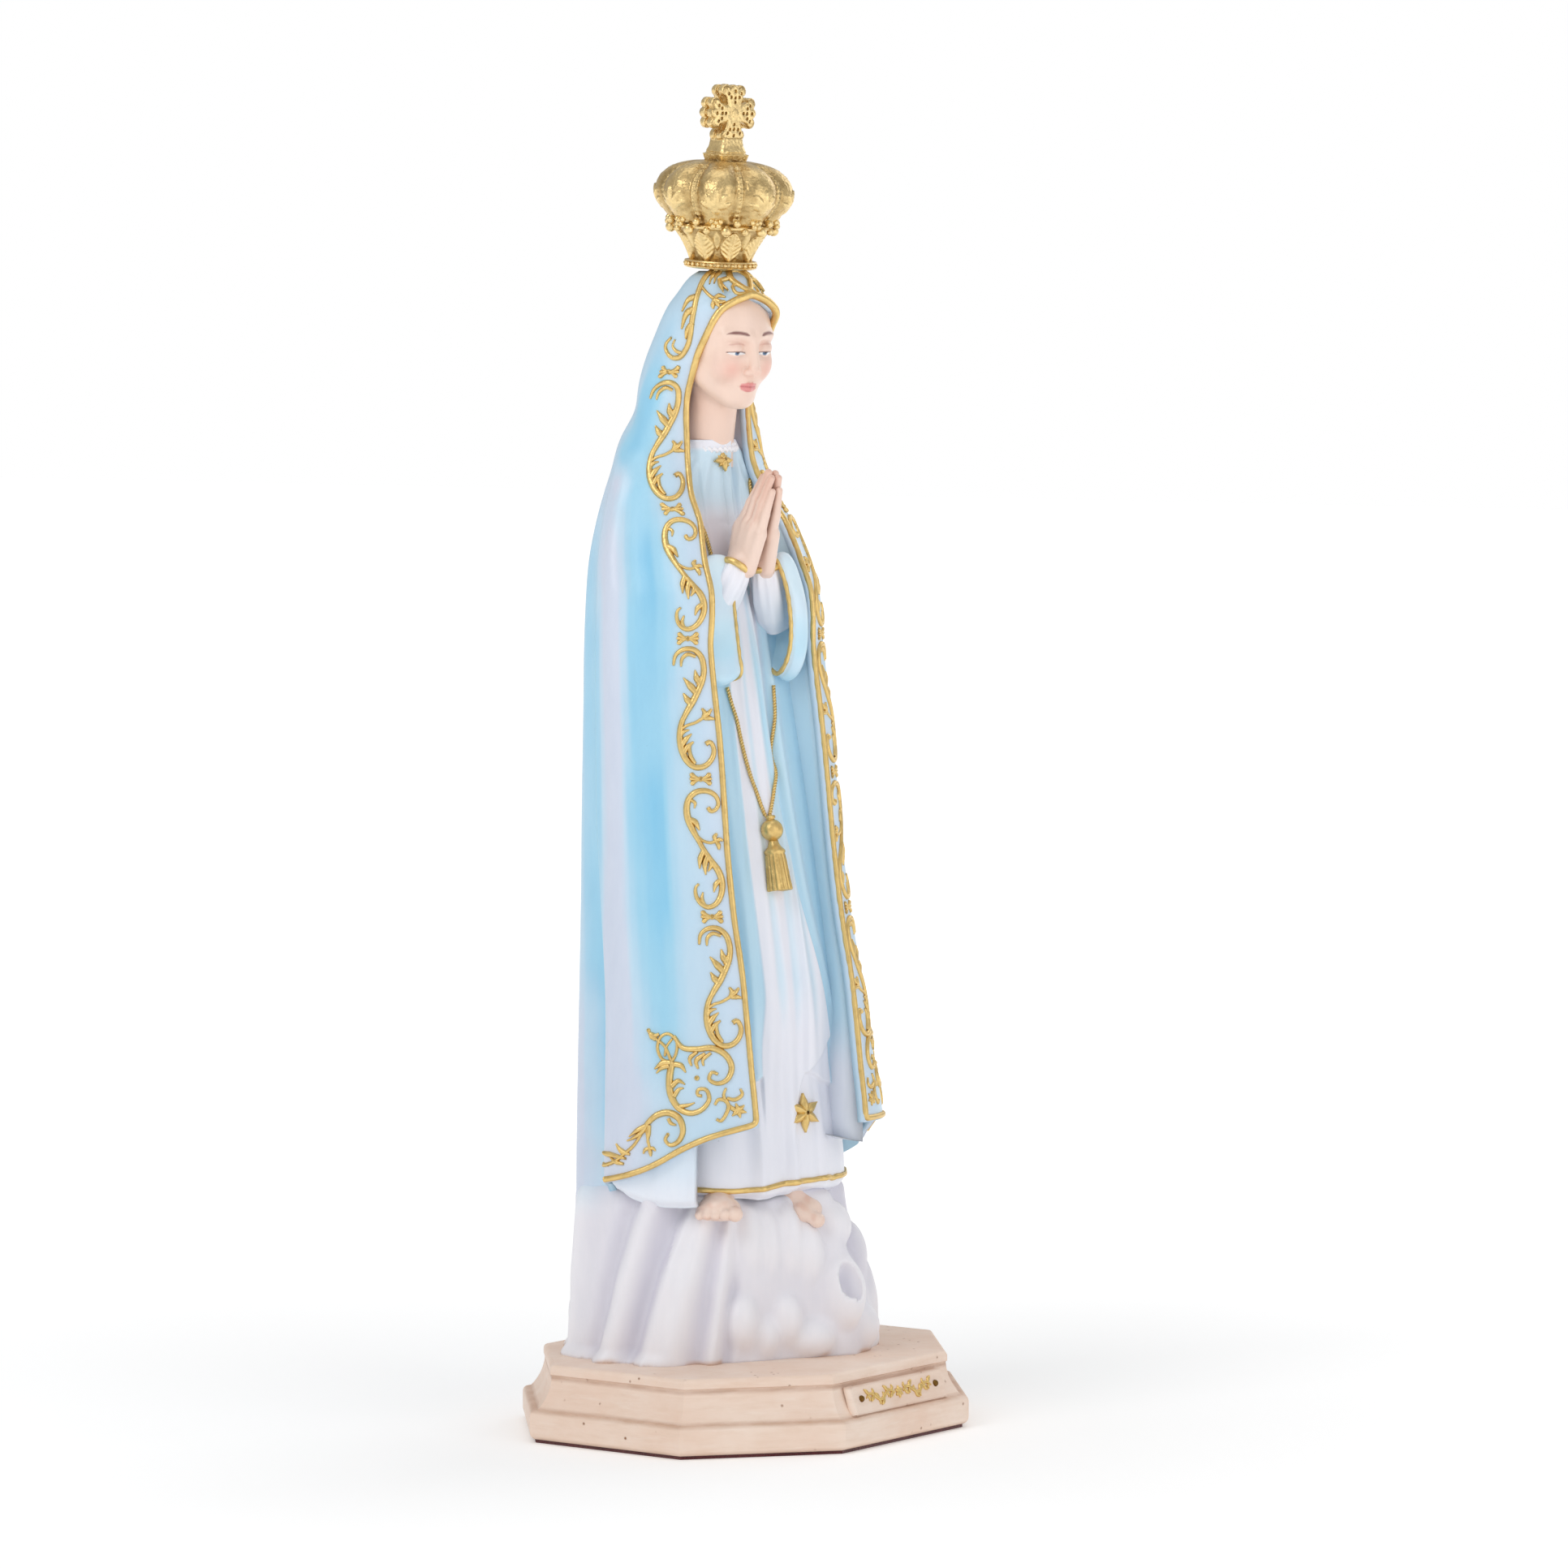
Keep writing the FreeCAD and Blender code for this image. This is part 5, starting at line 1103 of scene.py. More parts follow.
def build_cloud():
    step = 0.95
    V, Q = nets(cloud_f, (-66, -58, 23), (64, 60, 92), step, relax=1, newton=1)
    V[:, 2] = np.maximum(V[:, 2], 24.9)
    z = V[:, 2]
    # painted shade: hollows a little darker and cooler; some brown wash left where it meets the plinth
    al = np.degrees(np.arctan2(V[:, 0], V[:, 1]))
    r = np.hypot(V[:, 0], V[:, 1])
    base = pchip(FOOTPRINT[:, 0], FOOTPRINT[:, 1], al)
    dep = smooth(2.2, -4.2, r - base * (1 - 0.155 * smooth(50, 80, z) * (np.abs(al) < 60)) + 0.02 * (z - 40))
    C = mix(rgb("EFEDF2"), rgb("CCC9D8"), 0.65 * dep)
    n = noise(V, 7.0, 9)
    rim = smooth(27.4, 25.2, z + 1.6 * n) * smooth(0.02, 0.28, noise(V, 11.0, 4) + 0.12)
    C = mix(C, rgb("C79C78"), 0.8 * rim)
    # blue drift from the cloak
    C = mix(C, rgb("C9E6F6"), 0.5 * smooth(70, 86, z) * bump(al, -97, 9))
    B = Build()
    B.add(V, Q, None, C)
    B.object("cloud_body", "root", M_CLOUD, ["cloud"])


build_cloud()

# ---------------------------------------------------------------- plinth
def dress(node, mat, sharp=35):
    """Gives a carried-over CAD node its finish."""
    o = frame["nodes"][node]
    o.data.materials.clear()
    o.data.materials.append(mat)
    for p in o.data.polygons:
        p.material_index = 0


dress("felt_pad", M_FELT)
dress("plinth", M_PLINTH)
dress("plaque", M_PLINTH)
dress("plaque_studs", M_GOLD)
dress("crown_pin", M_STEEL)

# ---------------------------------------------------------------- head
NOD, HEAD_AT, HEAD_SIZE = math.radians(12), (2.2, 365.6), 1.07


def to_head(P):
    dF, dz = P[..., 1] - HEAD_AT[0], P[..., 2] - HEAD_AT[1]
    return np.stack([P[..., 0], dF * math.cos(NOD) - dz * math.sin(NOD), dF * math.sin(NOD) + dz * math.cos(NOD)], -1) / HEAD_SIZE


def head_f(P):
    q = to_head(P)
    m = q.copy()
    m[..., 0] = np.abs(m[..., 0])
    f = s_ell(q, (0, -2, 2.2), (14.1, 15.8, 15.6))
    f = u_(f, s_ell(m, (0, 1.2, -4.2), (12.1, 12.9, 16.0)), 3.0)
    f = u_(f, s_cap(m, (9.6, 0.5, -9.5), (2.6, 8.6, -16.6), 3.4, 3.3), 4.0)
    f = u_(f, s_ell(m, (0, 9.6, -16.6), (4.2, 4.0, 3.8)), 2.6)
    f = u_(f, s_ell(m, (6.3, 8.9, -6.6), (4.4, 4.3, 4.8)), 3.2)
    # brow and sockets
    f = u_(f, s_cap(m, (2.2, 12.4, 3.0), (8.6, 9.9, 3.2), 1.5, 1.2), 2.2)
    f = cut_(f, s_ell(m, (5.7, 15.0, -0.6), (4.0, 2.9, 2.6)), 2.2)
    # nose
    f = u_(f, s_cap(q, (0, 12.9, 2.4), (0, 15.9, -6.6), 1.25, 1.7), 1.5)
    f = u_(f, s_ell(q, (0, 16.3, -7.4), (1.75, 1.75, 1.55)), 1.0)
    f = u_(f, s_ell(m, (1.75, 14.6, -7.9), (1.25, 1.7, 1.15)), 0.7)
    f = cut_(f, s_ell(m, (0.85, 15.7, -9.15), (0.55, 0.8, 0.5)), 0.4)
    # mouth
    f = u_(f, s_ell(q, (0, 10.6, -12.3), (4.8, 3.6, 3.8)), 2.4)
    f = u_(f, s_cap(m, (0.75, 14.2, -11.75), (3.1, 13.0, -12.35), 0.72, 0.4), 0.45)
    f = u_(f, s_cap(m, (0.0, 14.2, -13.35), (2.3, 13.2, -13.0), 0.92, 0.5), 0.45)
    f = cut_(f, s_cap(m, (0, 15.3, -12.5), (3.5, 13.5, -12.55), 0.32), 0.35)
    f = cut_(f, s_ell(q, (0, 15.0, -15.0), (2.4, 1.1, 0.75)), 0.9)
    f = cut_(f, s_ell(q, (0, 15.9, -10.2), (0.5, 0.9, 0.9)), 0.5)
    # eyes under lowered lids
    ball = s_ell(m, (5.6, 10.3, -0.9), (3.1, 3.1, 3.1))
    f = u_(f, ball, 0.25)
    lid = both_(s_ell(m, (5.6, 10.3, -0.9), (3.5, 3.55, 3.5)), -(m[..., 2] + 1.55 + 0.05 * (m[..., 0] - 5.6) ** 2 - 0.10 * (m[..., 1] - 13)), 0.25)
    f = u_(f, lid, 0.35)
    low = both_(s_ell(m, (5.6, 10.25, -0.9), (3.4, 3.45, 3.4)), (m[..., 2] + 2.75 - 0.05 * (m[..., 0] - 5.6) ** 2), 0.25)
    f = u_(f, low, 0.4)
    f = f * HEAD_SIZE
    # the veil lies close over the hair
    a, b, c = section(P[..., 2])
    x, y = P[..., 0] / (a - 2.4), (P[..., 1] + c) / (b - 2.4)
    psi = np.degrees(np.arctan2(np.abs(x), y))
    open_ = smooth(-1.0, 4.0, edge_psi(P[..., 2]) - psi)
    f = np.maximum(f, (np.hypot(x, y) - 1) * np.minimum(a, b) - 16.0 * open_)
    # neck
    n = s_cap(P, (0, -11.6, 316), (0, -4.6, 352), 9.4, 8.6)
    n = u_(n, s_ell(P, (0, -12.5, 322), (14, 8.5, 6.5)), 5.0)
    g = P.copy()
    g[..., 0] = np.abs(g[..., 0])
    n = u_(n, s_cap(g, (1.6, -2.6, 330), (8.0, -4.2, 350), 0.8, 1.2), 2.0)
    f = u_(f, n, 3.0)
    return np.maximum(f, -(P[..., 1] + 12.0))


def paint_face(V):
    q = to_head(V)
    x, y, z = np.abs(q[:, 0]), q[:, 1], q[:, 2]
    front = smooth(6, 9, y)
    skin = rgb("F0D2C1")
    C = mix(skin, rgb("E6BBA8"), 0.35 * smooth(8, -2, y))
    C = mix(C, rgb("E9A898"), 0.62 * np.exp(-(((x - 7.0) / 3.4) ** 2) - (((z + 7.2) / 3.6) ** 2)) * front)
    C = mix(C, rgb("EDB9A8"), 0.35 * np.exp(-((x / 2.0) ** 2) - (((z + 7.6) / 1.8) ** 2)) * front)
    C = mix(C, rgb("DDAF9F"), 0.4 * np.exp(-(((x - 5.6) / 3.4) ** 2) - (((z - 1.0) / 1.5) ** 2)) * front)
    # painted shade: neck a little warmer and darker under the jaw
    C = mix(C, rgb("E3B6A2"), 0.45 * np.exp(-(((V[:, 2] - 345) / 6.0) ** 2)) * smooth(2, -4, V[:, 1]))
    # lips
    top = -11.35 - 0.035 * x**2 + 0.28 * np.exp(-((x - 0.8) ** 2) / 0.4)
    bot = -14.25 + 0.10 * x**2
    lips = smooth(3.35, 2.7, x) * smooth(top + 0.2, top - 0.2, z) * smooth(bot - 0.2, bot + 0.2, z) * front
    C = mix(C, rgb("DE7F80"), 0.85 * lips)
    line = np.exp(-(((z + 12.5) / 0.22) ** 2)) * smooth(3.3, 2.8, x) * front
    C = mix(C, rgb("B4565A"), 0.75 * line)
    # brows
    arch = 4.3 - 0.05 * (x - 5.4) ** 2 + 0.02 * (x - 5.4)
    w = 0.42 * smooth(2.2, 3.4, x) * smooth(9.6, 6.5, x) + 0.1
    brow = np.clip(1.4 - np.abs(z - arch) / w, 0, 1) * smooth(2.1, 2.7, x) * smooth(9.5, 9.0, x) * front
    C = mix(C, rgb("6A2C2C"), 0.9 * np.clip(brow, 0, 1))
    # eyes: white, iris, pupil, lid line
    slit_top = -1.55 - 0.05 * (x - 5.6) ** 2
    slit_bot = -2.75 + 0.05 * (x - 5.6) ** 2
    eye = smooth(slit_top + 0.10, slit_top - 0.10, z) * smooth(slit_bot - 0.12, slit_bot + 0.12, z) * smooth(3.0, 2.75, np.abs(x - 5.6)) * front
    C = mix(C, rgb("F4F2F2"), eye)
    d = np.hypot(x - 5.5, z + 1.85)
    C = mix(C, rgb("4F7296"), eye * smooth(1.05, 0.85, d))
    C = mix(C, rgb("1D1A22"), eye * smooth(0.5, 0.35, d))
    lash = np.clip(1.5 - np.abs(z - slit_top - 0.02) / 0.2, 0, 1) * smooth(3.3, 3.0, np.abs(x - 5.7)) * front
    C = mix(C, rgb("5A2A28"), 0.9 * np.clip(lash, 0, 1))
    crease = np.clip(1.2 - np.abs(z - (0.95 - 0.07 * (x - 5.6) ** 2)) / 0.25, 0, 1) * smooth(3.2, 2.4, np.abs(x - 5.7)) * front
    C = mix(C, rgb("C98F80"), 0.5 * crease)
    return C


def build_head():
    V, Q = nets(head_f, (-17, -13, 322), (17, 24, 387), 0.3, relax=0, newton=2)
    B = Build()
    B.add(V, Q, None, paint_face(V))
    B.object("head_and_neck", "root", M_SKIN, ["head"])
    # lace edge of the neckline
    a = np.linspace(0, 2 * np.pi, 260, endpoint=False)
    B = Build()
    for k, (r0, dz, h) in enumerate(((9.9, 0.0, 1.15), (10.9, -1.3, 0.9))):
        sc = 1 + 0.045 * np.abs(np.sin(a * (15 + 3 * k)))
        P = np.stack([r0 * sc * np.sin(a), -11.0 + r0 * sc * np.cos(a), 330.6 + dz - 1.2 * np.cos(a) + 0.35 * np.sin(a * (15 + 3 * k) * 2)], -1)
        b = np.linspace(0, 2 * np.pi, 8, endpoint=False)
        out = np.stack([np.sin(a), np.cos(a), 0 * a], -1)
        R = P[:, None] + h * (np.cos(b)[None, :, None] * out[:, None] + np.sin(b)[None, :, None] * np.array([0, 0, 1.0]))
        n = len(a)
        B.add(R.reshape(-1, 3), grid_faces(n, 8, True, True), None, rgb("F6F5FA"))
    B.object("neckline_trim", "root", M_GOWN)


build_head()

# ---------------------------------------------------------------- hands
U_, W_ = np.array([0, 0.257, 0.966]), np.array([0, 0.966, -0.257])
WRIST = np.array([0, 15.2, 289.5])


def hand_f(P, flip):
    """Right hand; flip = -1 gives the left one, a little different."""
    q = P - WRIST
    x = q[..., 0] * flip * -1  # 0 at the palms' meeting plane, growing outwards
    u, w = q @ U_, q @ W_
    S = np.stack([x, w, u], -1)
    k = 0 if flip > 0 else 0.5
    f = s_cap(S, (4.2, -3.4, 0), (2.9, -5.0, 12.5), 3.0, 2.8, ((1, 0, 0), 0.92))
    for a, b, r in (((4.4, -1.1, 0), (3.2, -1.4, 14.5), 3.1), ((4.4, 1.5, 0), (3.2, 2.0, 14.5), 3.0), ((4.0, 3.8, 0), (2.8, 5.4, 12.5), 2.7)):
        f = u_(f, s_cap(S, a, b, r, r - 0.4, ((1, 0, 0), 0.92)), 1.6)
    tips = (((2.7, -4.9, 12.5), (2.6, -2.3, 21.5), (1.55, 0.6, 31.0 - k), 1.95, 1.35), ((3.0, -1.6, 14), (2.8, 0.4, 23.5), (1.5, 2.7, 33.2 - k), 1.95, 1.35),
            ((2.9, 1.8, 14), (2.7, 3.1, 23), (1.5, 4.6, 31.8), 1.85, 1.3), ((2.5, 5.0, 12), (2.3, 5.7, 19.5), (1.4, 6.3, 27.6 + k), 1.7, 1.15))
    g = None
    for a, b, c, r0, r1 in tips:
        h = u_(s_cap(S, a, b, r0, 0.5 * (r0 + r1) + 0.12), s_cap(S, b, c, 0.5 * (r0 + r1) + 0.05, r1), 0.5)
        g = h if g is None else u_(g, h, 0.32)
    f = u_(f, g, 1.1)
    th = u_(s_cap(S, (3.4, -5.0, 3), (2.4, -7.2, 11), 2.3, 1.9), s_cap(S, (2.4, -7.2, 11), (1.5, -5.2, 18.5), 1.7, 1.3), 0.8)
    f = u_(f, th, 1.0)
    # wrist
    e = s_cap(P, (-5.2 * flip, 15.0, 290.5), (-10.0 * flip, 12.5, 280), 4.1, 4.6)
    f = u_(f, e, 2.4)
    return np.maximum(f, -(x - 0.06))


def build_hands():
    for flip, name, node in ((1, "right_hand_modelled", "right_hand"), (-1, "left_hand_modelled", "left_hand")):
        lo, hi = ((-13, 2, 276), (0.4, 34, 326)) if flip > 0 else ((-0.4, 2, 276), (13, 34, 326))
        V, Q = nets(lambda P: hand_f(P, flip), lo, hi, 0.33, relax=0, newton=2)
        q = V - WRIST
        u, w = q @ U_, q @ W_
        C = mix(rgb("F0D3C3"), rgb("E2B49F"), 0.55 * smooth(18, 33, u) + 0.2 * smooth(4, -4, u))
        # painted shade: warmer, darker grooves between the fingers
        for a in (-0.6, 1.9, 4.1):
            cw = a + (u - 24) * 0.14
            C = mix(C, rgb("CF957F"), 0.4 * bump(w, cw, 0.5) * smooth(12, 18, u))
        B = Build()
        B.add(V, Q, None, C)
        B.object(name, "root", M_SKIN, [node])


build_hands()

# ---------------------------------------------------------------- feet
def feet_f(P, right):
    if right:
        ax = np.array([-0.60, 0.80, 0.0])
        tip = np.array([-31.0, 37.0, 76.6])
    else:
        ax = np.array([0.60, 0.76, -0.25])
        ax = ax / np.linalg.norm(ax)
        tip = np.array([13.6, 38.0, 71.6])
    row = np.array([ax[1], -ax[0], 0.0])
    row /= np.linalg.norm(row)
    if not right:
        row = -row
    up = np.array([0, 0, 1.0])
    # row points to the big toe's side
    f = s_cap(P, tip - ax * 22 + up * 6, tip - ax * 6 + up * 1.2, 6.4, 4.6, (up, 0.85))
    f = u_(f, s_cap(P, tip - ax * 7 - row * 3.6, tip - ax * 7 + row * 3.6, 3.7, 3.9, (up, 0.9)), 2.5)
    g = None
    for k, (o, r, back, drop) in enumerate(((5.4, 2.35, 0.0, 0.0), (2.0, 1.75, 0.1, -0.1), (-1.1, 1.65, 1.0, -0.3), (-3.9, 1.55, 2.0, -0.5), (-6.3, 1.45, 3.2, -0.7))):
        a = tip - ax * (8 + back * 0.6) + row * o * 0.86 + up * (0.9 + drop)
        b = tip - ax * (1.6 + back) + row * o + up * (-0.7 + drop)
        h = u_(s_cap(P, a, b, r * 0.95, r), s_ell(P, b, (r * 1.08,) * 3), 0.4)
        g = h if g is None else u_(g, h, 0.25)
    return u_(f, g, 0.9)


def build_feet():
    for right, name, node, lo, hi in ((True, "right_foot_modelled", "right_foot", (-46, 12, 68), (-12, 46, 90)), (False, "left_foot_modelled", "left_foot", (-8, 12, 62), (28, 46, 88))):
        V, Q = nets(lambda P: feet_f(P, right), lo, hi, 0.36, relax=0, newton=2)
        C = mix(rgb("F1D6C6"), rgb("E0AE96"), 0.45 * smooth(0.1, 0.6, noise(V, 3.0, 3) + 0.2))
        B = Build()
        B.add(V, Q, None, C)
        B.object(name, "root", M_SKIN, [node])


build_feet()

# ---------------------------------------------------------------- sleeves
MOUTH = {
    "right": [(-6.6, 13.8, 291.2), (-8.4, 15.6, 284), (-8.7, 17.8, 271), (-8.7, 19.8, 260), (-8.5, 20.6, 254.6), (-8.6, 17.2, 252.2), (-9.5, 12, 253.6), (-10.5, 7.5, 260), (-11, 5, 270), (-10.5, 6, 281), (-8.6, 9.8, 288.6)],
    "left": [(7.6, 18.6, 291.6), (9.4, 21.6, 284), (10.2, 23.6, 272), (10.5, 22.8, 262), (10.5, 19.4, 255.4), (10.5, 16, 253.2), (10.5, 12.6, 255), (10.8, 8, 262), (11, 5.2, 272), (10.6, 6, 281), (9.2, 11, 288.6)],
}


def build_sleeves():
    gold = Build()
    cuffs = {}
    for side, s in (("right", -1), ("left", 1)):
        loop = np.array(MOUTH[side] + MOUTH[side][:1])
        n = 150
        M = spline(np.vstack([loop[-3:-1], loop, loop[1:3]]), n * 3)
        # keep one turn
        k0 = np.argmin(np.linalg.norm(M[: n] - loop[0], axis=1))
        k1 = 2 * n + np.argmin(np.linalg.norm(M[2 * n :] - loop[0], axis=1))
        seg = M[k0:k1]
        ln = np.concatenate([[0], np.cumsum(np.linalg.norm(np.diff(seg, axis=0), axis=1))])
        uu = np.linspace(0, ln[-1], n + 1)[:-1]
        M = np.stack([np.interp(uu, ln, seg[:, c]) for c in range(3)], 1)
        cen = M.mean(0)
        R = []
        a = np.linspace(0, 2 * np.pi, n, endpoint=False)

        def ring(depth, k, drop=0.0, fold=0.0):
            W = cen + (M - cen) * k
            W = W + (W - cen) / np.linalg.norm(W - cen, axis=1)[:, None] * (fold * np.cos(5 * a + 0.6))[:, None]
            W[:, 0] += s * depth
            W[:, 2] -= drop
            return W

        steps = [(7.5, 0.30), (7.0, 0.62), (5.2, 0.80), (2.2, 0.885), (0.5, 0.925), (-0.15, 0.955), (-0.1, 0.985), (0.4, 1.015), (1.4, 1.045)]
        R = [ring(d, k) for d, k in steps]
        grow = 1.0 if s < 0 else 0.55
        for d, k, dr, f in ((2.8, 1.075, 0.1, 0.15), (4.6, 1.11, 0.3, 0.35), (6.6, 1.13, 0.5, 0.5), (8.8, 1.13, 0.6, 0.5), (11, 1.10, 0.6, 0.4), (13, 1.04, 0.4, 0.2), (15, 0.9, 0.2, 0), (16.5, 0.6, 0, 0), (17, 0.2, 0, 0)):
            R.append(ring(d * grow, k, dr, f))
        R = np.array(R)
        # smooth in between
        m = 44
        idx = np.linspace(0, len(R) - 1, m)
        i0 = np.clip(np.floor(idx).astype(int), 0, len(R) - 2)
        fr = (idx - i0)[:, None, None]
        RR = R[i0] * (1 - fr) + R[i0 + 1] * fr
        for _ in range(2):
            RR[1:-1] = 0.25 * RR[:-2] + 0.5 * RR[1:-1] + 0.25 * RR[2:]
        V, Q, T = rings(RR)
        lev = np.repeat(np.linspace(0, len(R) - 1, m), n)
        # painted shade inside the sleeve's mouth
        inside = smooth(5.6, 3.6, lev)
        zz = RR.reshape(-1, 3)[:, 2]
        C = mix(rgb("D6ECF8"), rgb("BCE2F5"), smooth(285, 258, zz))
        C = mix(C, rgb("D8E6F6"), 0.7 * smooth(5.5, 6.2, lev) * smooth(9.5, 7.2, lev) * 0.6 + 0.35 * np.clip(np.cos(5 * np.tile(a, m) + 0.6), 0, 1) * smooth(6, 9, lev))
        C = mix(C, rgb("B9DDEE"), 0.85 * inside)
        C = np.vstack([C, C[:1], C[-1:]])
        B = Build()
        B.add(V, Q, T, C)
        B.object(side + "_sleeve_cloth", "root", M_CLOTH, [side + "_sleeve"])
        # gold edge
        P = np.vstack([M, M[:1]])
        up = np.array([-s * 1.0, 0, 0])
        T_ = np.gradient(P, axis=0)
        T_ /= np.linalg.norm(T_, axis=1)[:, None]
        S_ = np.cross(T_, up)
        S_ /= np.linalg.norm(S_, axis=1)[:, None]
        b = np.linspace(0, 2 * np.pi, 9, endpoint=False)
        wob = 1 + 0.10 * np.sin(np.arange(len(P)) * 0.9)
        wob[-1] = wob[0]
        rr = M[:, None] + (S_[:-1, None] * np.cos(b)[None, :, None] * 0.85 + up * np.sin(b)[None, :, None] * 0.65) * wob[:-1, None, None]
        gold.add(rr.reshape(-1, 3), grid_faces(n, 9, True, True), None, rgb("C9A352"), 1.0)

        # white under-sleeve with its gathers, and the gold cuff
        w0 = np.array([s * 5.6, 15.4, 289.6])
        w1 = np.array([s * 14.5, 11.0, 268.0]) if s > 0 else np.array([s * 12.4, 11.2, 272.5])
        ax = (w1 - w0) / np.linalg.norm(w1 - w0)
        e1 = np.cross(ax, [0, 1, 0])
        e1 /= np.linalg.norm(e1)
        e2 = np.cross(ax, e1)
        b = np.linspace(0, 2 * np.pi, 72, endpoint=False)
        Rg = []
        for t in np.linspace(0, 1, 30):
            r = np.interp(t, [0, 0.06, 0.2, 0.5, 0.8, 1], [4.7, 5.0, 5.6, 6.4, 6.2, 4.5] if s > 0 else [4.7, 5.15, 5.7, 6.0, 5.6, 4.2])
            g = 0.28 * np.sin(b * 11 + 2 * t) * np.interp(t, [0, 0.1, 0.5, 1], [0.4, 1, 0.5, 0]) + 0.3 * np.sin(b * 4 + 5 * t)
            c = w0 + (w1 - w0) * t
            Rg.append(c + e1 * ((r + g) * np.cos(b))[:, None] + e2 * ((r * 0.86 + g) * np.sin(b))[:, None])
        V, Q, T = rings(np.array(Rg))
        B = Build()
        # painted shade on the under-sleeve where it goes into the sleeve
        B.add(V, Q, T, mix(rgb("F1F0F8"), rgb("D5E6F4"), 0.5 * smooth(288, 272, V[:, 2])))
        B.object(side + "_undersleeve", "root", M_GOWN)
        c = w0 - ax * 0.2
        P = c + e1 * (5.25 * np.cos(b))[:, None] + e2 * (4.7 * np.sin(b))[:, None]
        P = P - ax * (0.5 * np.sin(2 * b + 0.4))[:, None]
        k = np.linspace(0, 2 * np.pi, 10, endpoint=False)
        rad = (P - c) / np.linalg.norm(P - c, axis=1)[:, None]
        rr = P[:, None] + rad[:, None] * (np.cos(k)[None, :, None] * 0.75) + ax * (np.sin(k)[None, :, None] * 1.15)
        Bc = Build()
        Bc.add(rr.reshape(-1, 3), grid_faces(len(b), 10, True, True), None, rgb("C9A352"), 1.0)
        Bc.object(side + "_cuff_band", "root", M_GOLD, [side + "_cuff"])
    gold.object("sleeve_edges", "root", M_GOLD, ["sleeve_piping"])


build_sleeves()

# ---------------------------------------------------------------- piping and scrollwork
VEIL_SCROLL = [
    ([(13.0, 388.4), (37.0, 388.4), (60.9, 387.4), (68.0, 384.5), (68.1, 380.6), (64.8, 375.9), (63.3, 371.2), (60.7, 366.8), (59.4, 363.2), (61.5, 359.9), (68.4, 358.9), (78.5, 360.6), (85.1, 363.5), (80.7, 365.8)], [0.6, 0.8, 0.9, 0.95, 1.0, 1.0, 0.95, 0.9, 0.9, 0.9, 0.85, 0.7, 0.6, 0.4]),
    ([(69.4, 379.4), (77.9, 377.9), (79.5, 374.4)], [1.0, 1.1, 0.3]),
    ([(64.3, 375.5), (72.5, 373.3), (72.2, 368.6)], [1.0, 1.2, 0.3]),
    ([(62.3, 370.7), (65.0, 368.4), (63.9, 365.3)], [0.9, 1.0, 0.3]),
    ([(61.5, 360.4), (70.5, 361.5), (75.9, 363.5), (75.2, 365.1)], [0.5, 0.6, 0.5, 0.3]),
    ([(66.6, 382.8), (53.1, 380.2), (43.3, 378.5)], [0.5, 0.5, 0.6]),
    ([(44.3, 378.7), (38.2, 379.6), (31.9, 379.1)], [0.6, 0.8, 0.3]),
    ([(44.2, 378.4), (37.0, 377.6), (32.6, 377.9)], [0.6, 0.8, 0.3]),
    ([(44.7, 378.2), (45.1, 376.7), (43.9, 375.3)], [0.6, 0.8, 0.3]),
    ([(44.1, 378.2), (39.7, 376.7), (37.4, 376.0)], [0.6, 0.8, 0.3]),
    ([(6.9, 388.1), (-17.6, 387.4), (-20.6, 385.7), (-12.1, 383.4), (-0.0, 381.2), (11.9, 380.2), (20.0, 380.9), (21.4, 382.4), (14.3, 383.2), (9.3, 382.5)], [0.9, 1.0, 1.1, 1.1, 1.0, 0.9, 0.75, 0.6, 0.55, 0.5]),
    ([(-25.9, 385.4), (-39.1, 384.1), (-32.3, 381.5)], [0.8, 0.8, 0.2]),
    ([(-40.0, 385.0), (-40.0, 383.4), (-40.0, 381.1)], [0.8, 0.8, 0.2]),
    ([(39.0, 387.4), (46.0, 385.8), (47.8, 383.6)], [0.8, 0.7, 0.2]),
    ([(50.0, 386.9), (54.8, 385.1), (54.7, 383.4)], [0.7, 0.6, 0.2]),
]
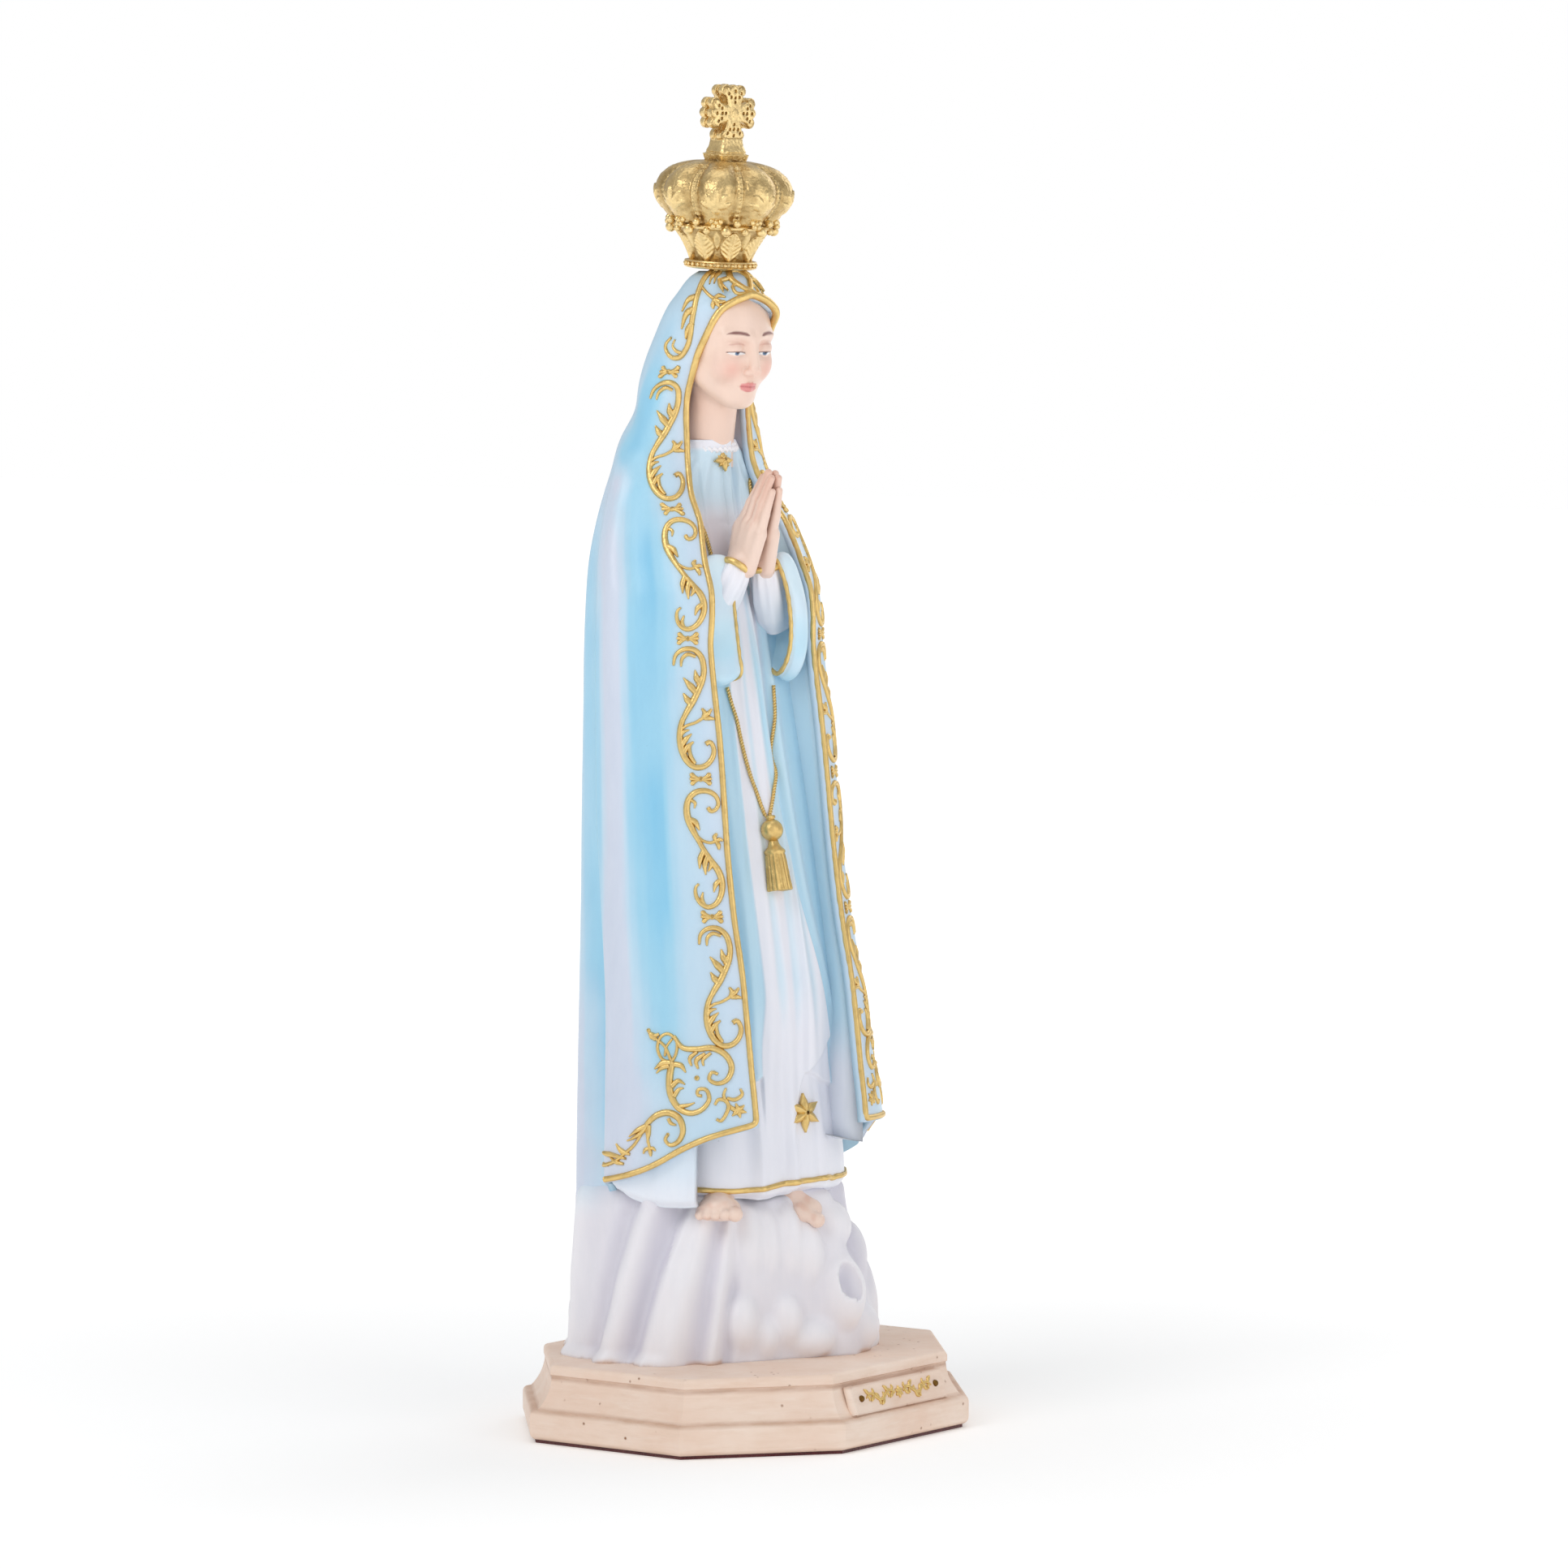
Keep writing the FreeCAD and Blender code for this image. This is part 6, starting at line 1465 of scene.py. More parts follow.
CORNER_SCROLL = [
    ([(66.9, 136.4), (65.3, 135.2), (63.5, 133.9)], [0.4, 1.1, 0.7]),
    ([(66.1, 134.4), (64.2, 135.1), (62.2, 135.7)], [0.5, 0.7, 0.5]),
    ([(57.9, 126.4), (61.5, 128.0), (63.0, 131.4), (61.7, 134.7), (58.3, 135.9), (54.7, 133.5), (55.0, 129.5), (57.1, 126.6)], [0.5, 0.5, 0.5, 0.5, 0.5, 0.5, 0.5, 0.5]),
    ([(63.5, 134.1), (59.9, 131.8), (57.9, 128.5), (56.6, 126.4)], [0.5, 0.5, 0.5, 0.6]),
    ([(56.5, 134.4), (59.3, 131.4), (59.9, 128.5)], [0.4, 0.4, 0.4]),
    ([(55.7, 135.2), (52.3, 131.6), (47.1, 131.1), (41.1, 131.5), (36.6, 129.0), (34.8, 125.1), (36.4, 121.2), (39.8, 120.0), (42.5, 121.4), (41.5, 123.7), (39.5, 123.0)], [0.5, 0.8, 0.9, 0.95, 1.0, 1.0, 0.95, 0.85, 0.7, 0.6, 0.5]),
    ([(48.7, 125.6), (49.4, 127.9), (46.5, 130.3)], [0.35, 0.7, 0.5]),
    ([(46.3, 124.7), (47.0, 127.2), (43.8, 129.8)], [0.35, 0.8, 0.5]),
    ([(44.4, 125.7), (44.6, 127.6), (41.8, 130.0)], [0.3, 0.6, 0.5]),
    ([(57.1, 126.4), (60.7, 126.3), (64.3, 124.3)], [0.9, 1.0, 0.25]),
    ([(57.9, 125.4), (61.3, 124.7), (63.6, 122.9)], [0.8, 0.8, 0.2]),
    ([(55.9, 126.0), (52.8, 125.5), (51.0, 123.4)], [0.9, 0.9, 0.25]),
    ([(56.6, 126.8), (58.0, 121.7), (57.7, 116.3), (54.8, 112.0), (49.8, 110.2), (45.1, 111.6), (42.6, 115.0), (43.7, 118.0), (46.6, 117.8), (46.7, 116.2), (45.1, 115.9)], [1.0, 1.15, 1.15, 1.1, 1.0, 0.9, 0.85, 0.75, 0.65, 0.55, 0.5]),
    ([(57.3, 118.7), (54.2, 120.6), (51.4, 119.5)], [0.9, 0.8, 0.2]),
    ([(56.4, 115.4), (54.0, 117.9), (52.0, 118.3)], [0.8, 0.7, 0.2]),
    ([(54.0, 112.2), (50.0, 112.9), (47.8, 113.7)], [0.7, 0.6, 0.2]),
    ([(40.7, 113.0), (39.5, 114.7), (37.3, 114.5), (36.0, 112.8), (36.8, 110.1), (38.7, 107.8), (40.2, 108.4)], [0.4, 0.55, 0.6, 0.65, 0.6, 0.55, 0.45]),
    ([(36.8, 118.5), (37.6, 116.0), (36.0, 113.2)], [0.35, 0.55, 0.6]),
    ([(36.5, 115.2), (33.7, 114.7), (31.1, 116.4), (31.8, 118.2)], [0.5, 0.65, 0.6, 0.35]),
    ([(36.2, 113.0), (34.1, 111.8)], [0.5, 0.5]),
]
HEM_SCROLL = [
    ([(59.1, 102.9), (60.2, 101.3), (58.1, 99.5), (54.6, 100.8), (52.8, 104.2), (54.1, 108.1), (58.6, 110.1), (63.4, 109.3), (67.4, 106.6), (70.0, 103.4), (73.9, 101.2), (75.9, 100.5)], [0.5, 0.6, 0.75, 0.9, 1.05, 1.1, 1.05, 1.0, 0.9, 0.8, 0.6, 0.25]),
    ([(58.9, 108.2), (57.9, 106.8), (55.6, 106.1)], [0.6, 0.6, 0.25]),
    ([(67.9, 105.8), (71.4, 104.2), (75.1, 101.9)], [0.8, 0.8, 0.2]),
    ([(66.9, 105.9), (67.1, 102.7), (67.6, 100.1)], [0.7, 0.7, 0.3]),
    ([(68.1, 104.7), (67.3, 100.7), (66.5, 98.0)], [0.45, 0.45, 0.5]),
    ([(66.8, 98.3), (68.5, 97.7), (69.2, 96.4)], [0.5, 0.6, 0.25]),
    ([(66.7, 98.1), (66.2, 96.8), (66.0, 95.6)], [0.5, 0.7, 0.3]),
    ([(66.5, 98.3), (65.0, 98.2), (64.0, 97.4)], [0.5, 0.6, 0.25]),
    ([(70.0, 102.8), (73.1, 99.0), (77.2, 96.0), (82.0, 93.2), (95.4, 90.0)], [0.45, 0.55, 0.6, 0.6, 0.4]),
    ([(81.1, 99.2), (78.3, 97.0), (74.5, 96.0)], [0.25, 0.9, 0.4]),
    ([(93.4, 96.1), (80.3, 95.1), (76.1, 94.5)], [0.25, 0.9, 0.4]),
    ([(96.3, 97.7), (96.6, 93.9), (85.0, 91.8)], [0.25, 0.5, 0.4]),
    ([(84.2, 94.4), (81.0, 93.2), (77.1, 92.7)], [0.25, 0.8, 0.4]),
]

DOTS = [(46.8, 121.7, 0.9), (66.9, 136.9, 0.7), (57.0, 126.6, 0.8), (44.4, 378.4, 0.8), (59.1, 103.0, 0.6)]
FLOWER = (32.6, 111.1)

A_UNIT = [
    ([(632, 120), (640, 84), (668, 62), (705, 62), (733, 86), (744, 128), (738, 172), (720, 212), (700, 250), (676, 288), (655, 330), (648, 378), (655, 425), (675, 465), (705, 487), (740, 482), (766, 455), (772, 420), (758, 396), (742, 404)],
     [.4, .6, .75, .85, .9, .9, .9, .95, 1.0, .95, .8, .9, 1.0, 1.05, 1.0, .9, .85, .8, .7, .75]),
    ([(660, 124), (664, 96), (686, 79), (714, 88)], [.3, .55, .6, .5]),
    ([(734, 192), (718, 168), (711, 136)], [.9, 1.0, .2]),
    ([(720, 226), (698, 200), (668, 164)], [.9, 1.1, .2]),
    ([(700, 262), (684, 248), (666, 220)], [.9, 1.0, .25]),
    ([(742, 150), (730, 172), (716, 190)], [.5, .7, .3]),
    ([(654, 350), (676, 336), (706, 326), (736, 309)], [.45, .45, .45, .5]),
    ([(734, 310), (742, 290), (732, 275)], [.5, .75, .35]),
    ([(738, 308), (756, 292), (768, 277)], [.5, .75, .35]),
    ([(738, 312), (760, 310), (777, 314)], [.5, .75, .35]),
    ([(652, 415), (668, 388), (692, 366)], [.8, .9, .2]),
    ([(660, 440), (676, 412), (694, 396)], [.8, .8, .2]),
    ([(704, 474), (686, 444), (684, 410), (698, 395)], [.55, .65, .55, .3]),
    ([(650, 372), (664, 358), (684, 352)], [.6, .6, .2]),
]
B_UNIT = [
    ([(752, 648), (762, 662), (782, 655), (790, 632), (778, 606), (748, 590), (712, 592), (685, 612), (674, 645), (678, 685), (695, 725), (718, 765), (738, 800), (765, 840), (790, 875), (803, 915), (800, 955), (780, 992), (750, 1005), (722, 990), (706, 962), (706, 935), (718, 922)],
     [.7, .6, .65, .75, .85, .9, .95, 1.0, 1.05, 1.0, .85, .75, .8, .9, 1.0, 1.0, .95, .9, .8, .75, .7, .55, .35]),
    ([(706, 744), (736, 768), (764, 775), (784, 768)], [.4, .45, .45, .5]),
    ([(782, 768), (778, 754), (786, 742)], [.5, .75, .35]),
    ([(784, 768), (798, 764), (808, 768)], [.5, .7, .35]),
    ([(782, 770), (792, 784), (794, 800)], [.5, .75, .35]),
    ([(682, 690), (704, 700), (722, 730)], [.8, .9, .25]),
    ([(742, 798), (726, 830), (722, 868)], [.8, .9, .2]),
    ([(754, 816), (742, 852), (744, 890)], [.8, .9, .2]),
    ([(768, 838), (762, 862), (752, 878)], [.7, .7, .2]),
    ([(802, 905), (780, 924), (772, 952)], [.7, .8, .2]),
    ([(740, 1002), (728, 978), (732, 952)], [.5, .6, .25]),
    ([(676, 650), (668, 668), (672, 690)], [.5, .5, .25]),
    ([(690, 622), (704, 632), (702, 652)], [.5, .5, .2]),
]


def add_stroke(B, P, N, w, high=1.0, color=rgb("C9A352"), groove=0.0):
    V, Q, T = bead(P, N, w, np.minimum(high, np.asarray(w) * 0.95 + 0.15), sink=0.5, sides=7, groove=groove)
    B.add(V, Q, T, color, 1.0)


def knob(B, P, N, r, flat=0.8):
    a = np.linspace(0, 2 * np.pi, 12, endpoint=False)
    e1 = np.cross(N, [0.3, 0.1, 1.0])
    e1 /= np.linalg.norm(e1)
    e2 = np.cross(N, e1)
    R = []
    for t in np.linspace(-0.25, 0.97, 6):
        c = math.sqrt(max(1 - t * t, 0.01)) * r
        R.append(P + N * (t * r * flat) + c * (np.cos(a)[:, None] * e1 + np.sin(a)[:, None] * e2))
    V, Q, T = rings(np.array(R))
    B.add(V, Q, T, rgb("C9A352"), 1.0)


def strokes_uv(B, units, side, x_edge, slope, y0, z_top, z_bot, y1):
    k = (z_top - z_bot) / (y1 - y0)
    for pts, w in units:
        p = np.array(pts, float)
        u = (x_edge + (p[:, 1] - y0) * slope - p[:, 0]) / 11.06
        z = z_top - (p[:, 1] - y0) * k
        n = max(8, int(len(pts) * 5))
        c = spline(np.stack([u, z], 1), n)
        ww = np.interp(np.linspace(0, 1, n), np.linspace(0, 1, len(w)), w) * 1.16
        ww[0] *= 0.8
        P, N = border(side, c[:, 0], c[:, 1])
        add_stroke(B, P, N, ww)


def bow(B, side, u, z, size=1.0):
    for s in (-1, 1):
        for du, dz, w in ((4.0, 2.1, .95), (4.3, 0.1, .7), (4.0, -2.1, .95)):
            c = spline([(u + 0.3 * s, z), (u + s * du * 0.5 * size, z + dz * 0.35 * size), (u + s * du * size, z + dz * size)], 9)
            P, N = border(side, c[:, 0], c[:, 1])
            add_stroke(B, P, N, np.interp(np.linspace(0, 1, 9), [0, 0.5, 0.85, 1], [.45, .6, w, .4]), 0.8)
    P, N = border(side, np.array(u), np.array(z))
    knob(B, P + N * 0.2, N, 0.95)


def strokes_pz(B, items, side, dz=0.0):
    for pts, w in items:
        n = max(8, len(pts) * 5)
        c = spline(pts, n)
        ww = np.interp(np.linspace(0, 1, n), np.linspace(0, 1, len(w)), w) * 1.12
        if side > 0:
            c[:, 1] += (hem_z(c[:, 0], 1) - hem_z(c[:, 0], -1)) * smooth(138, 108, c[:, 1])
        P, N = mantle(c[:, 0], side, c[:, 1] + dz)
        add_stroke(B, P, N, ww)


def build_gold():
    for side, tag in ((-1, "right"), (1, "left")):
        B = Build()
        for zt, zb in ((351.0, 312.0), (263.0, 223.6), (171.0, 132.2)):
            strokes_uv(B, A_UNIT, side, 780, 0.0742, 57, zt, zb, 488)
        for zt, zb in ((305.3, 269.3), (216.0, 177.6)):
            strokes_uv(B, B_UNIT, side, 818, 0.077, 588, zt, zb, 1005)
        for u, z in ((9.2, 354.3), (8.8, 308.6), (8.6, 266.2), (8.2, 219.8), (8.2, 174.4)):
            bow(B, side, u, z, 0.85)
        strokes_pz(B, VEIL_SCROLL, side)
        strokes_pz(B, CORNER_SCROLL, side)
        strokes_pz(B, HEM_SCROLL, side)
        for a, z, r in DOTS:
            P, N = mantle(np.array(a), side, np.array(z))
            knob(B, P + N * 0.1, N, r)
        a0, z0 = FLOWER
        for k in range(6):
            t = math.radians(60 * k + 15)
            c = spline([(a0, z0), (a0 + 1.6 * math.cos(t), z0 + 1.25 * math.sin(t)), (a0 + 3.1 * math.cos(t), z0 + 2.5 * math.sin(t))], 7)
            P, N = mantle(c[:, 0], side, c[:, 1])
            add_stroke(B, P, N, np.array([.5, .7, .85, .8, .6, .4, .2]), 0.8)
        B.object("scrollwork_" + tag, "root", M_GOLD, ["mantle_scrollwork_" + tag])

    # piping: hem, front edge, round the face and down again
    B = Build()
    parts = []
    for side in (-1, 1):
        ps = np.linspace(87.0, 27.0, 60)
        zz = hem_z(ps, side) + 1.3
        P1, N1 = mantle(ps, side, zz)
        zc = float(hem_z(edge_psi(104.0), side)) + 1.3
        z = np.concatenate([np.linspace(zc, 365, 260), 365 + (380.2 - 365) * (1 - (1 - np.linspace(0, 1, 60)[1:]) ** 1.8)])
        e = edge_psi(z)
        arc = 1.0 / np.maximum(np.radians(1) * 20, 0.1)
        P2, N2 = border(side, 0.9 + 0 * z, z)
        parts.append((np.vstack([P1, P2]), np.vstack([N1, N2])))
    P = np.vstack([parts[0][0], parts[1][0][::-1]])
    N = np.vstack([parts[0][1], parts[1][1][::-1]])
    keep = np.concatenate([[True], np.linalg.norm(np.diff(P, axis=0), axis=1) > 0.15])
    P, N = P[keep], N[keep]
    s = np.concatenate([[0], np.cumsum(np.linalg.norm(np.diff(P, axis=0), axis=1))])
    n = 900
    u = np.linspace(0, s[-1], n)
    P = np.stack([np.interp(u, s, P[:, c]) for c in range(3)], 1)
    N = np.stack([np.interp(u, s, N[:, c]) for c in range(3)], 1)
    for _ in range(3):
        P[1:-1] = 0.25 * P[:-2] + 0.5 * P[1:-1] + 0.25 * P[2:]
        N[1:-1] = 0.25 * N[:-2] + 0.5 * N[1:-1] + 0.25 * N[2:]
    N /= np.linalg.norm(N, axis=1)[:, None]
    w = 1.02 + 0.30 * smooth(340, 372, P[:, 2]) + 0.10 * noise(P, 3.0, 6)
    V, Q, T = bead(P + N * 0.12, N, w, 0.92 * w, sink=1.2, sides=11)
    B.add(V, Q, T, rgb("C9A352"), 1.0)
    B.object("cloak_piping", "root", M_GOLD, ["mantle_piping"])

    # hem of the gown
    L = np.linspace(-38, 40, 240)
    z = 84.0 + 0.9 * np.sin(L / 7.5 + 0.5) * 0.5 - 1.1 * smooth(-4, -24, L) + 0.5 * smooth(8, 20, L) - 0.5 * bump(L, 21.5, 1.5)
    P, N = gown_point(L, z, 0.2)
    for _ in range(2):
        P[1:-1] = 0.25 * P[:-2] + 0.5 * P[1:-1] + 0.25 * P[2:]
    V, Q, T = bead(P, N, 0.95 + 0.12 * noise(P, 3, 8), 0.8, sink=0.8, sides=9)
    B = Build()
    B.add(V, Q, T, rgb("C9A352"), 1.0)
    B.object("gown_hem_gold", "root", M_GOLD, ["gown_hem_piping"])


build_gold()


# ---------------------------------------------------------------- cord, tassel, star, brooch
def twisted(B, P, N, r, pitch=2.0):
    s = np.concatenate([[0], np.cumsum(np.linalg.norm(np.diff(P, axis=0), axis=1))])
    n = int(s[-1] / 0.22)
    u = np.linspace(0, s[-1], n)
    P = np.stack([np.interp(u, s, P[:, c]) for c in range(3)], 1)
    N = np.stack([np.interp(u, s, N[:, c]) for c in range(3)], 1)
    _, S, U = frames(P, N)
    for k in range(2):
        a = 2 * np.pi * u / pitch / 1.0 + k * np.pi
        C = P + (S * np.cos(a)[:, None] + U * np.sin(a)[:, None]) * r * 0.52
        V, Q, T = tube(C, r * 0.62, 7, U)
        B.add(V, Q, T, rgb("C9A352"), 1.0)


def build_small():
    B = Build()
    for pts in ([(-9.2, 249), (-7.9, 240), (-5.2, 223), (-2.9, 212.5), (-0.9, 206.2)], [(9.2, 249), (8.6, 236), (5.6, 220), (2.7, 211), (0.4, 206.2)]):
        c = spline(pts, 60)
        P, N = gown_point(c[:, 0], c[:, 1], 0.55)
        for _ in range(6):
            P[1:-1] = 0.25 * P[:-2] + 0.5 * P[1:-1] + 0.25 * P[2:]
        twisted(B, P, N, 0.62)
    for s in (-1, 1):
        c = spline([(s * 13.2, 318), (s * 11.6, 308), (s * 9.6, 299), (s * 8.6, 292)], 40)
        P, N = gown_point(c[:, 0], c[:, 1], 0.55)
        twisted(B, P, N, 0.62)
    B.object("rope_modelled", "root", M_GOLD, ["rope_relief"])

    # ball and tassel, hanging with the slope of the gown
    def lean(P, a, b):
        """Local z runs from a down to b."""
        d = (b - a) / np.linalg.norm(b - a)
        e1 = np.array([1.0, 0, 0])
        e2 = np.cross(d, e1)
        e2 /= np.linalg.norm(e2)
        return a + P[..., 0:1] * e1 + P[..., 1:2] * e2 + P[..., 2:3] * d

    a, b = np.array([-0.2, 25.6, 206.6]), np.array([0.4, 30.4, 179.8])
    B = Build()
    pr = [(0.4, 0.0), (1.5, 0.1), (1.75, 0.6), (1.5, 1.1), (1.2, 1.4)]
    pr += [(3.75 * math.sin(t), 5.0 - 3.75 * math.cos(t)) for t in np.linspace(0.36, 2.72, 22)]
    pr += [(1.4, 8.7), (1.0, 9.0)]
    V, Q, T = lathe(pr, 48)
    B.add(lean(V, a, b), Q, T, rgb("C9A352"), 0.9)
    B.object("ball_modelled", "root", M_GOLD, ["pendant_ball"])

    B = Build()

    def fringe(al, z, r):
        f = smooth(12.8, 13.8, z) * (0.30 * np.cos(al * 17 + 0.12 * z) + 0.10 * np.sin(al * 29))
        return r * (1 + 0.075 * f) + 0.28 * f + 0.12 * noise(np.stack([al * 6, z * 1.2, 0 * z], -1), 1.0, 4) * smooth(12.8, 13.8, z)

    pr = [(0.8, 8.3), (1.6, 8.5), (1.7, 9.1), (1.9, 9.8), (2.3, 10.6), (2.9, 11.3), (3.45, 11.9), (3.6, 12.4), (3.35, 12.9), (3.2, 13.2)]
    pr += [(float(np.interp(t, [0, 0.2, 0.7, 1], [3.25, 3.5, 3.95, 4.25])), 13.2 + 12.0 * t) for t in np.linspace(0.03, 1, 44)]
    pr += [(3.9, 25.5), (2.6, 25.3), (1.0, 25.2)]
    V, Q, T = lathe(pr, 110, fringe)
    B.add(lean(V, a, b), Q, T, rgb("C9A352"), np.clip(0.8 + 0 * V[:, 0], 0, 1))
    B.object("tassel_modelled", "root", M_GOLD, ["tassel"])

    def petals(B, c, n_, e1, e2, count, length, width, high, turn=0.0, curl=0.0):
        for k in range(count):
            t = 2 * math.pi * k / count + turn
            d = e1 * math.cos(t) + e2 * math.sin(t)
            m = 10
            x = np.linspace(0.05, 1, m)
            P = c + d * (x * length)[:, None] + n_ * (0.5 + curl * x**2 - 0.9 * x)[:, None]
            w = np.interp(x, [0, 0.35, 0.6, 1], [0.5 * width, width, 0.85 * width, 0.12])
            V, Q, T = bead(P, np.broadcast_to(n_, P.shape), w, high * np.interp(x, [0, 0.4, 1], [0.9, 1, 0.35]), sink=0.7, sides=9, groove=-0.35)
            B.add(V, Q, T, rgb("C9A352"), 1.0)

    # star of leaves on the skirt
    P, N = gown_point(np.array(7.0), np.array(107.0), 0.5)
    N = N / np.linalg.norm(N)
    e1 = np.cross([0, 0, 1.0], N)
    e1 /= np.linalg.norm(e1)
    e2 = np.cross(N, e1)
    B = Build()
    petals(B, P, N, e1, e2, 6, 6.6, 1.75, 1.5, math.radians(30), 0.3)
    knob(B, P + N * 0.6, N, 1.1, 0.9)
    B.object("star_modelled", "root", M_GOLD, ["gown_star"])

    # brooch at the collar
    c = np.array([-0.2, -0.6, 324.6])
    n_ = np.array([0, 0.93, 0.36])
    n_ /= np.linalg.norm(n_)
    P, N = gown_point(np.array(-0.2), np.array(324.4), 0.3)
    c = np.array([float(P[0]), float(P[1]) , float(P[2])])
    e1, e2 = np.array([1.0, 0, 0]), np.cross(n_, [1.0, 0, 0])
    B = Build()
    petals(B, c + n_ * 0.2, n_, e1, e2, 4, 3.7, 1.25, 1.0, 0.0, 0.6)
    petals(B, c, n_, e1, e2, 4, 2.7, 0.9, 0.8, math.pi / 4, 0.6)
    knob(B, c + n_ * 0.8, n_, 0.95, 0.9)
    for k in range(4):
        t = math.pi / 4 + math.pi / 2 * k
        knob(B, c + n_ * 0.5 + (e1 * math.cos(t) + e2 * math.sin(t)) * 1.5, n_, 0.45, 1.0)
    B.object("brooch_modelled", "root", M_GOLD, ["collar_brooch"])


build_small()

# ---------------------------------------------------------------- crown
TIP = math.radians(4.5)


def crown_frame(P):
    """Crown's own x, y, z' to the figure's L, F, z."""
    P = np.asarray(P, float)
    c, s = math.cos(TIP), math.sin(TIP)
    return np.stack([P[..., 0], -1.3 + P[..., 1] * c + P[..., 2] * s, 388.9 - P[..., 1] * s + P[..., 2] * c], -1)


CROWN_COL = rgb("C2A05A")


def ball_at(B, c, r, n=12, gold=1.0, squash=1.0):
    a = np.linspace(0, 2 * np.pi, n, endpoint=False)
    R = []
    for t in np.linspace(-0.96, 0.96, 9):
        q = math.sqrt(1 - t * t) * r
        R.append(np.stack([c[0] + q * np.cos(a), c[1] + q * np.sin(a), np.full(n, c[2] + t * r * squash)], -1))
    V, Q, T = rings(np.array(R))
    B.add(crown_frame(V), Q, T, CROWN_COL, gold)


def rosette(B, ang, R, z, lean=0.25):
    out = np.array([math.cos(ang), math.sin(ang), lean])
    out /= np.linalg.norm(out)
    e1 = np.array([-math.sin(ang), math.cos(ang), 0])
    e2 = np.cross(out, e1)
    c = np.array([R * math.cos(ang), R * math.sin(ang), z])
    for k in range(5):
        t = 2 * math.pi * k / 5 + math.pi / 2
        ball_at(B, c + e1 * math.cos(t) * 1.55 + e2 * math.sin(t) * 1.4, 1.0, 9)
    ball_at(B, c + out * 0.35, 0.9, 9)


